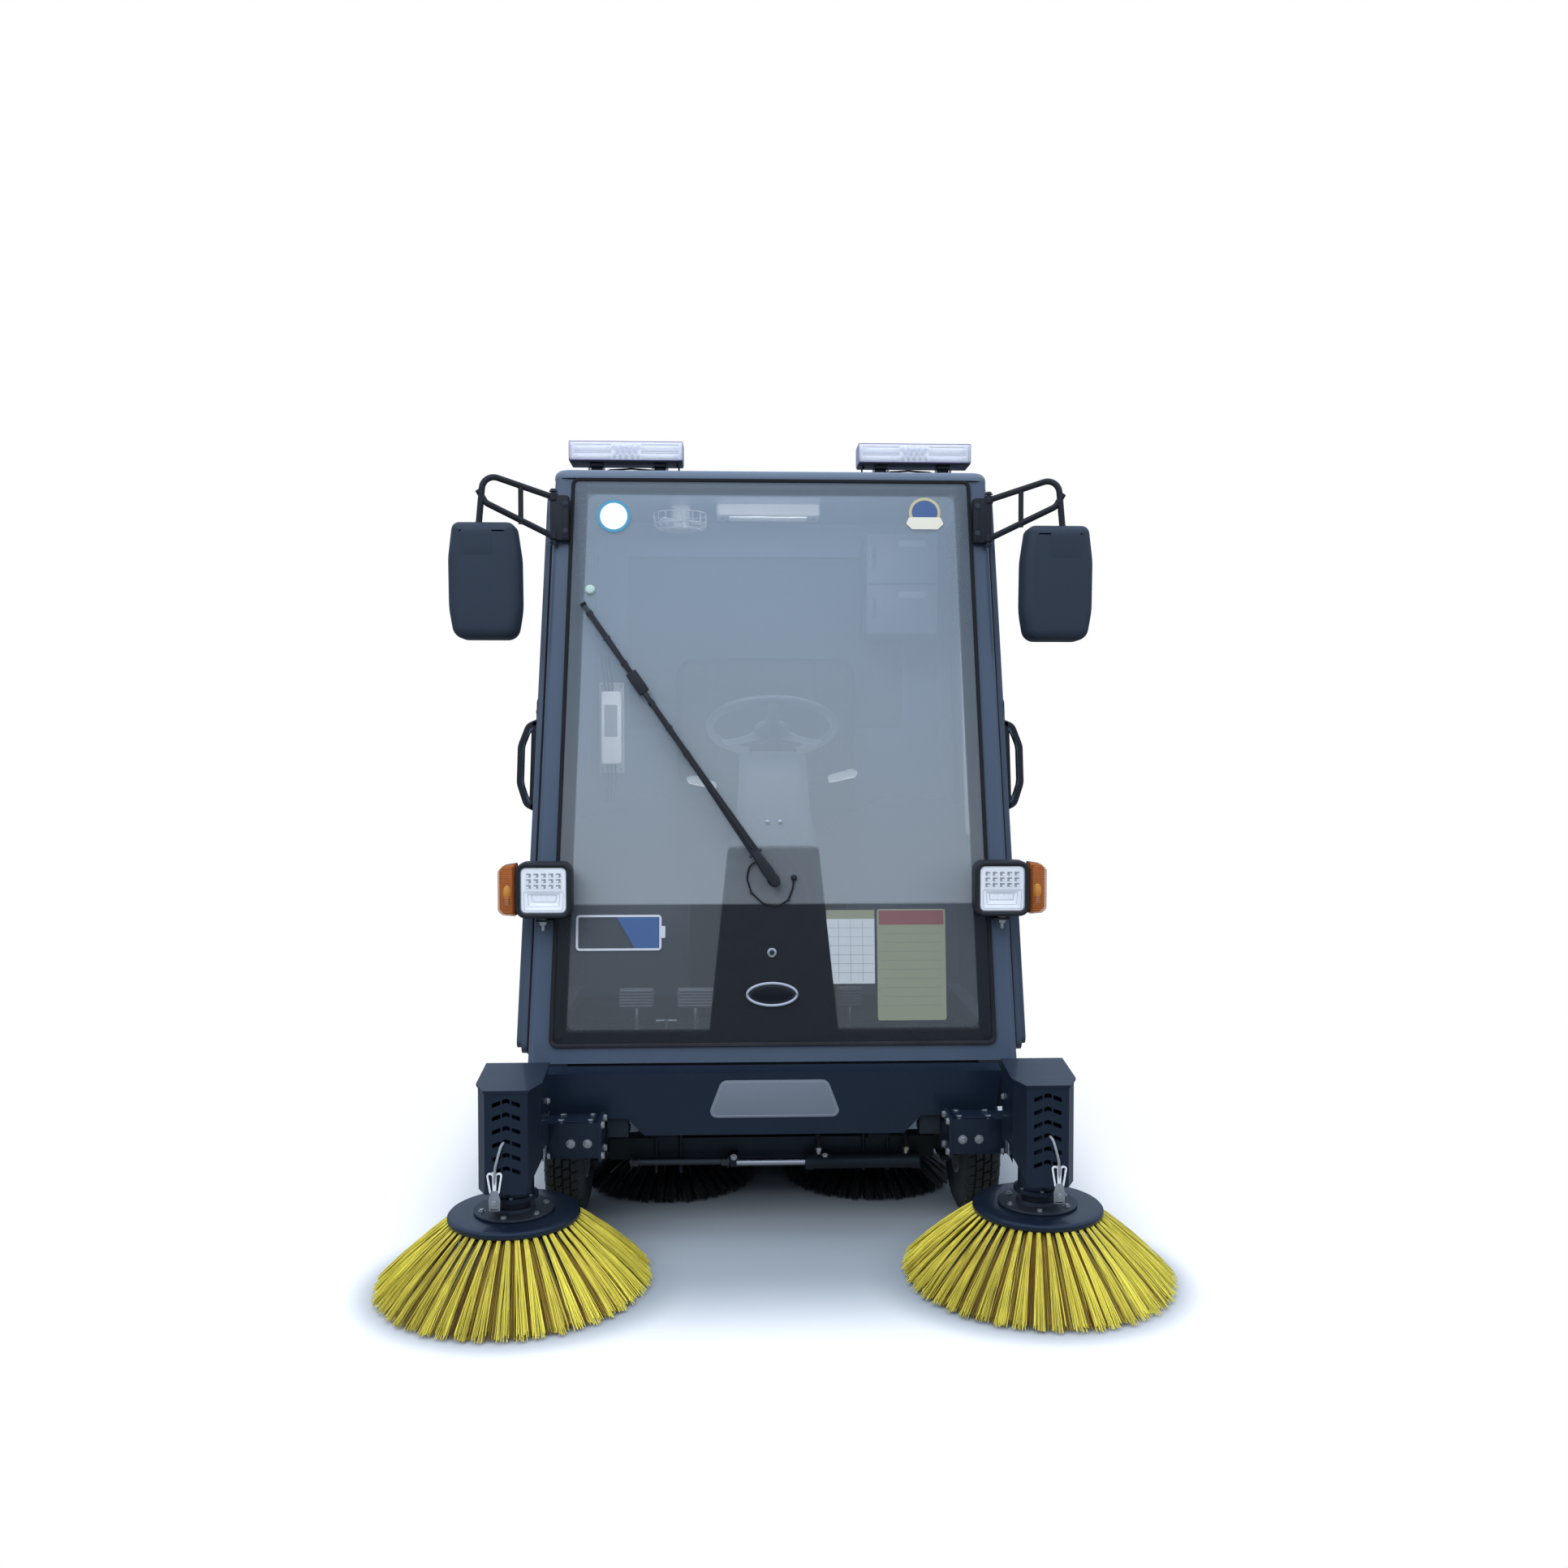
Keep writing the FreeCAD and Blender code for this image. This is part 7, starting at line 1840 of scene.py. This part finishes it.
# steering cylinder, tie rod and what shows of the axle
def steering_ram():
    piece = Piece("steering_ram")
    y, z = -0.426, 0.152
    piece.lathe([(0.019, 0.09), (0.023, 0.092), (0.023, 0.112), (0.0205, 0.116), (0.0205, 0.386),
                 (0.023, 0.39), (0.023, 0.408), (0.019, 0.41)], (0, y, z), SIDEWAYS, "chassis", 32)
    piece.rod((-0.1, y, z), (0.092, y, z), 0.0105, "chrome", 24)
    piece.rod((-0.396, y, z + 0.004), (-0.118, y, z + 0.004), 0.0105, "dark_steel", 24, 0.001)
    for x, out in ((-0.392, 1), (-0.122, -1)):
        piece.bolt((x, y, z + 0.004), (out, 0, 0), 0.015, "dark_steel", 1.2)
    for x0, x1 in ((0.13, 0.16), (-0.12, -0.096)):
        piece.box((x0, y - 0.008, z - 0.012), (x1, -0.39, z + 0.022), "chassis", 0.002)
        piece.bolt(((x0 + x1) / 2, y - 0.008, z + 0.016), FORWARD, 0.0065)
    # a hose at each end of the cylinder
    for x in (0.128, 0.372):
        piece.rod((x, y, z + 0.02), (x, y, z + 0.038), 0.008, "steel", 16, 0.001)
        piece.bolt((x, y, z + 0.03), UP, 0.0115, "steel", 0.9, False)
        piece.tube([(x, y, z + 0.036), (x + 0.002, y + 0.006, z + 0.066), (x - 0.02, y + 0.03, z + 0.098),
                    (x - 0.045, y + 0.03, z + 0.13), (x - 0.07, y + 0.04, z + 0.18),
                    (0.245, y + 0.06, 0.384)], 0.0065, "rubber", 0.05, 12, 5)
    piece.done("chassis", ["steering_linkage"], 35)


def axle_fasteners():
    more = Piece("axle_fasteners")
    for flip in FLIP.values():
        more.place = flip
        for x in (0.262, 0.318):
            for y in (-0.396, -0.324):
                more.bolt((x, y, 0.1495), DOWN, 0.008, "steel", 0.8)
        more.slab("XY", rect(0.25, 0.33, -0.404, -0.316, 0.006, 3), 0.1432, 0.1498, "chassis", 0.001, 2)
    more.done("chassis", (), 35)


def valance():
    """A folded sheet under each of the cab's front corners."""
    piece = Piece("front_valance")
    outline = rounded([(0.548, 0.4655), (0.6475, 0.4655), (0.6475, 0.418), (0.634, 0.402), (0.634, 0.339),
                       (0.586, 0.339), (0.586, 0.406), (0.548, 0.406)],
                      [0.001, 0.001, 0.006, 0.006, 0.004, 0.004, 0.001, 0.001], 3)
    for flip in FLIP.values():
        piece.place = flip
        piece.slab("XZ", outline, -0.5655, -0.561, "chassis", 0.0008, 2)
        for x in (0.566, 0.63):
            piece.bolt((x, -0.5655, 0.454), FORWARD, 0.005, "dark_steel", 0.6)
    piece.done("chassis", (), 35)


steering_ram()
axle_fasteners()
valance()


# rear: window rubber, tail lamps, hatch fittings, louvre surrounds
def window_rubber():
    rubber = Piece("rear_window_rubber")
    rubber.frame("XZ", rect(-0.47, 0.47, 1.35, 1.95, 0.001, 2),
                 [(-0.008, 0.4002), (-0.007, 0.4085), (0.01, 0.4085), (0.012, 0.4052), (0.0002, 0.4052),
                  (0.0002, 0.4002)], "rubber")
    rubber.done("chassis", (), 40)


def tail_lamps():
    lamps = Piece("tail_lamp_pair")
    panes = ((0.5635, 0.615, "red"), (0.6175, 0.6515, "clear_lens"), (0.654, 0.694, "amber"),
             (0.6965, 0.7365, "red"))
    for flip in FLIP.values():
        lamps.place = flip
        lamps.slab("XZ", rect(0.553, 0.608, 0.56, 0.74, 0.008, 4), 1.1502, 1.16, "black", 0.001, 2)
        for z0, z1, material in panes:
            lamps.slab("XZ", rect(0.5565, 0.6045, z0, z1, 0.005, 3), 1.158, 1.1705, material,
                       (0.0, 0.0, 0.003, 0.004), 3)
            lamps.slab("XZ", rect(0.561, 0.6, z0 + 0.004, z1 - 0.004, 0.004, 3), 1.1585, 1.1615,
                       "reflector", 0.0008, 1)
        for z in (0.5695, 0.7305):
            lamps.bolt((0.5805, 1.15, z), BACKWARD, 0.003, "steel", 0.6, False)
    lamps.done("chassis", ["tail_lamps"], 30)


def hatch_fittings():
    """Seal, raised panel, two turning locks and four hinges."""
    hatch = Piece("hatch_fittings")
    rear = 1.1723
    hatch.frame("XZ", rect(-0.545, 0.545, 0.48, 1.13, 0.03, 5),
                [(-0.003, 1.1512), (-0.003, 1.158), (0.001, 1.158), (0.001, 1.1512)], "rubber")
    hatch.slab("XZ", rect(-0.5, 0.5, 0.64, 1.085, 0.028, 5), rear - 0.001, rear + 0.0035, "navy",
               (0.0, 0.0, 0.004, 0.0035), 3)
    for x in (-0.42, 0.42):
        hatch.slab("XZ", rect(x - 0.028, x + 0.028, 0.546, 0.602, 0.008, 4), rear - 0.0005, rear + 0.003,
                   "chrome", 0.001, 2)
        hatch.lathe([(0.019, 0.0), (0.019, 0.006), (0.016, 0.009), (0.006, 0.009), (0.006, 0.006)],
                    (x, rear + 0.002, 0.574), BACKWARD, "black", 32)
        hatch.slab("XZ", rect(x - 0.0045, x + 0.0045, 0.56, 0.588, 0.004, 3), rear + 0.008, rear + 0.014,
                   "black", 0.002, 2)
    for x in (-0.38, -0.13, 0.13, 0.38):
        hatch.slab("XZ", rect(x - 0.032, x + 0.032, 1.082, 1.126, 0.008, 4), rear - 0.0005, rear + 0.004,
                   "black", 0.001, 2)
        for side in (-0.018, 0.018):
            hatch.bolt((x + side, rear + 0.004, 1.1), BACKWARD, 0.006, "steel", 0.6)
    hatch.done("hatch", (), 35)


def louvre_surrounds():
    louvres = Piece("louvre_surrounds")
    for flip in FLIP.values():
        louvres.place = flip
        louvres.frame("YZ", rect(0.545, 0.815, 0.992, 1.236, 0.014, 4),
                      [(0.0, 0.6202), (0.0015, 0.6225), (0.0065, 0.6225), (0.008, 0.6202)], "black")
        for row in range(8):
            z = 1.01 + 0.028 * row
            louvres.rings([[(0.6203, y, z + 0.0125), (0.6265, y, z + 0.006), (0.6255, y, z + 0.005),
                            (0.6195, y, z + 0.0122)] for y in (0.562, 0.798)], "slate", smooth=False)
        for y in (0.551, 0.809):
            for z in (0.998, 1.23):
                louvres.bolt((0.6224, y, z), SIDEWAYS, 0.0034, "dark_steel", 0.6, False)
        # screws of the side sheet
        for y, z in ((0.46, 0.36), (0.46, 0.9), (0.46, 1.2), (1.09, 0.36), (1.09, 0.9)):
            louvres.bolt((0.62, y, z), SIDEWAYS, 0.0065, "dark_steel", 0.6)
    louvres.done("chassis", (), 35)


window_rubber()
tail_lamps()
hatch_fittings()
louvre_surrounds()


# rounded edges on the solids that stay
BEVELS = {
    0.0008: both("brush_cover"),
    0.0014: both("knuckle"),
    0.0016: ["front_bumper", *both("second_arm")],
    0.002: ["chassis_rails", "chassis_crossmembers", "rear_axle", "cab_floor", *both("front_arm")],
    0.0022: ["cab_frame", *both("door")],
    0.003: ["rear_hatch", "side_skirts"],
    0.0035: ["rear_body"],
    0.004: ["seat_base", "dust_hopper"],
}
for width, name in [(width, name) for width, names in BEVELS.items() for name in names]:
    bevel = nodes[name].modifiers.new("edges", "BEVEL")
    bevel.width = width
    bevel.segments = 2
    bevel.limit_method = "ANGLE"
    bevel.angle_limit = math.radians(40)


# camera and light
def aimed(name, data, place, ahead):
    """An object that stands at a place and looks along a direction."""
    thing = bpy.data.objects.new(name, data)
    bpy.context.scene.collection.objects.link(thing)
    thing.location = place
    thing.rotation_mode = "QUATERNION"
    thing.rotation_quaternion = Vector(ahead).to_track_quat("-Z", "Y")
    return thing


def look(place, yaw, pitch, lens):
    data = bpy.data.cameras.new("view")
    data.lens = lens
    data.sensor_width = 36.0
    flat = math.cos(pitch)
    ahead = (math.sin(yaw) * flat, math.cos(yaw) * flat, -math.sin(pitch))
    bpy.context.scene.camera = aimed("view", data, place, ahead)


def area_light(name, place, target, size, power, tint=(1, 1, 1)):
    data = bpy.data.lights.new(name, "AREA")
    data.shape = "RECTANGLE"
    data.size, data.size_y = size
    data.energy = power
    data.color = tint
    aimed(name, data, place, Vector(target) - Vector(place)).visible_glossy = False


look((-0.105, -4.019, 1.313), 0.038, 0.031, 29.98)
area_light("sky_front", (-2.2, -5.0, 5.0), (0, 0, 0.9), (5.0, 4.0), 330.0, (0.93, 0.965, 1.0))
area_light("sky_top", (0.3, -0.2, 6.5), (0, 0, 0), (6.0, 6.0), 210.0, (0.95, 0.975, 1.0))
area_light("fill_right", (5.0, -3.0, 2.5), (0, 0, 0.9), (3.0, 4.0), 70.0)
# light inside the cab, so that its fittings show through the veil
area_light("cab_down", (0.0, -0.3, 1.96), (0, 0.35, 1.15), (0.9, 0.12), 9.0)
area_light("cab_up", (0.0, -0.1, 1.1), (0, -0.02, 2.05), (0.9, 0.3), 3.0)


def sky():
    """White behind the machine, and a dimmer sky for what it lights and what is mirrored."""
    world = bpy.data.worlds.new("sky")
    world.use_nodes = True
    bpy.context.scene.world = world
    g = Graph(world.node_tree)
    path = g.make("ShaderNodeLightPath", {}, {})
    point = g.make("ShaderNodeTexCoord", {}, {}).outputs["Generated"]
    height = Value(g, g.make("ShaderNodeSeparateXYZ", {}, {"Vector": point}).outputs[2])
    tone = g.mix(height.ramp(-0.25, 0.7), (0.1, 0.115, 0.14), (0.62, 0.76, 1.0))
    seen = g.mix(path.outputs["Is Camera Ray"], tone, (1.0, 1.0, 1.0))
    g.feed(world.node_tree.nodes["Background"].inputs["Color"], seen)


sky()


def floor():
    """A pale floor, painted darker as a shadow under and around the machine and round each brush, that turns
    plain white farther out.
    """
    mesh = bmesh.new()
    bmesh.ops.create_circle(mesh, cap_ends=True, segments=64, radius=40.0)
    data = bpy.data.meshes.new("floor")
    mesh.to_mesh(data)
    mesh.free()
    finish = Finish("floor", (0.86, 0.89, 0.93), 0.9, specular=0.0)
    seen = finish.value("ShaderNodeLightPath", {}, {}, "Is Camera Ray")
    x, y = finish.axes()[:2]
    out_x = (x.size() - 0.55).most(0.0)
    out_y = ((y + 0.05).size() - 0.75).most(0.0)
    away = (out_x * out_x + out_y * out_y).power(0.5)
    # painted shadow: darker within the machine's footprint, fading to pale 0.6 m out
    near = finish.mix(away.ramp(0.0, 0.6), (0.29, 0.322, 0.35), (0.95, 0.94, 0.93))
    # painted shadow under and round each brush, strongest inside the bristles' tips
    side_x = x.size() - BRUSH_X
    ahead_y = y - BRUSH_Y
    spot = 1.0 - (side_x * side_x + ahead_y * ahead_y).power(0.5).ramp(0.31, 0.44)
    near = finish.mix(spot * 0.75, near, (0.24, 0.27, 0.3))
    finish.set("Base Color", finish.mix(seen, (0.2, 0.21, 0.23), near))
    glow = finish.make("ShaderNodeEmission", {}, {"Color": (1.0, 1.0, 1.0), "Strength": 1.0})
    blend = finish.make("ShaderNodeMixShader", {}, {})
    # the white glow farther out is held back over the painted shadow round the brushes
    finish.feed(blend.inputs[0], away.ramp(0.2, 0.85) * (1.0 - spot * 0.8) * seen)
    finish.feed(blend.inputs[1], finish.shader.outputs[0])
    finish.feed(blend.inputs[2], glow.outputs[0])
    # seen from below, the floor is clear
    clear = finish.make("ShaderNodeBsdfTransparent", {}, {})
    under = finish.make("ShaderNodeNewGeometry", {}, {}).outputs["Backfacing"]
    sides = finish.make("ShaderNodeMixShader", {}, {"Fac": under})
    finish.feed(sides.inputs[1], blend.outputs[0])
    finish.feed(sides.inputs[2], clear.outputs[0])
    finish.feed(finish.tree.nodes["Material Output"].inputs["Surface"], sides.outputs[0])
    data.materials.append(finish.material)
    thing = bpy.data.objects.new("floor", data)
    bpy.context.scene.collection.objects.link(thing)


floor()
bpy.context.scene.view_settings.view_transform = "Standard"
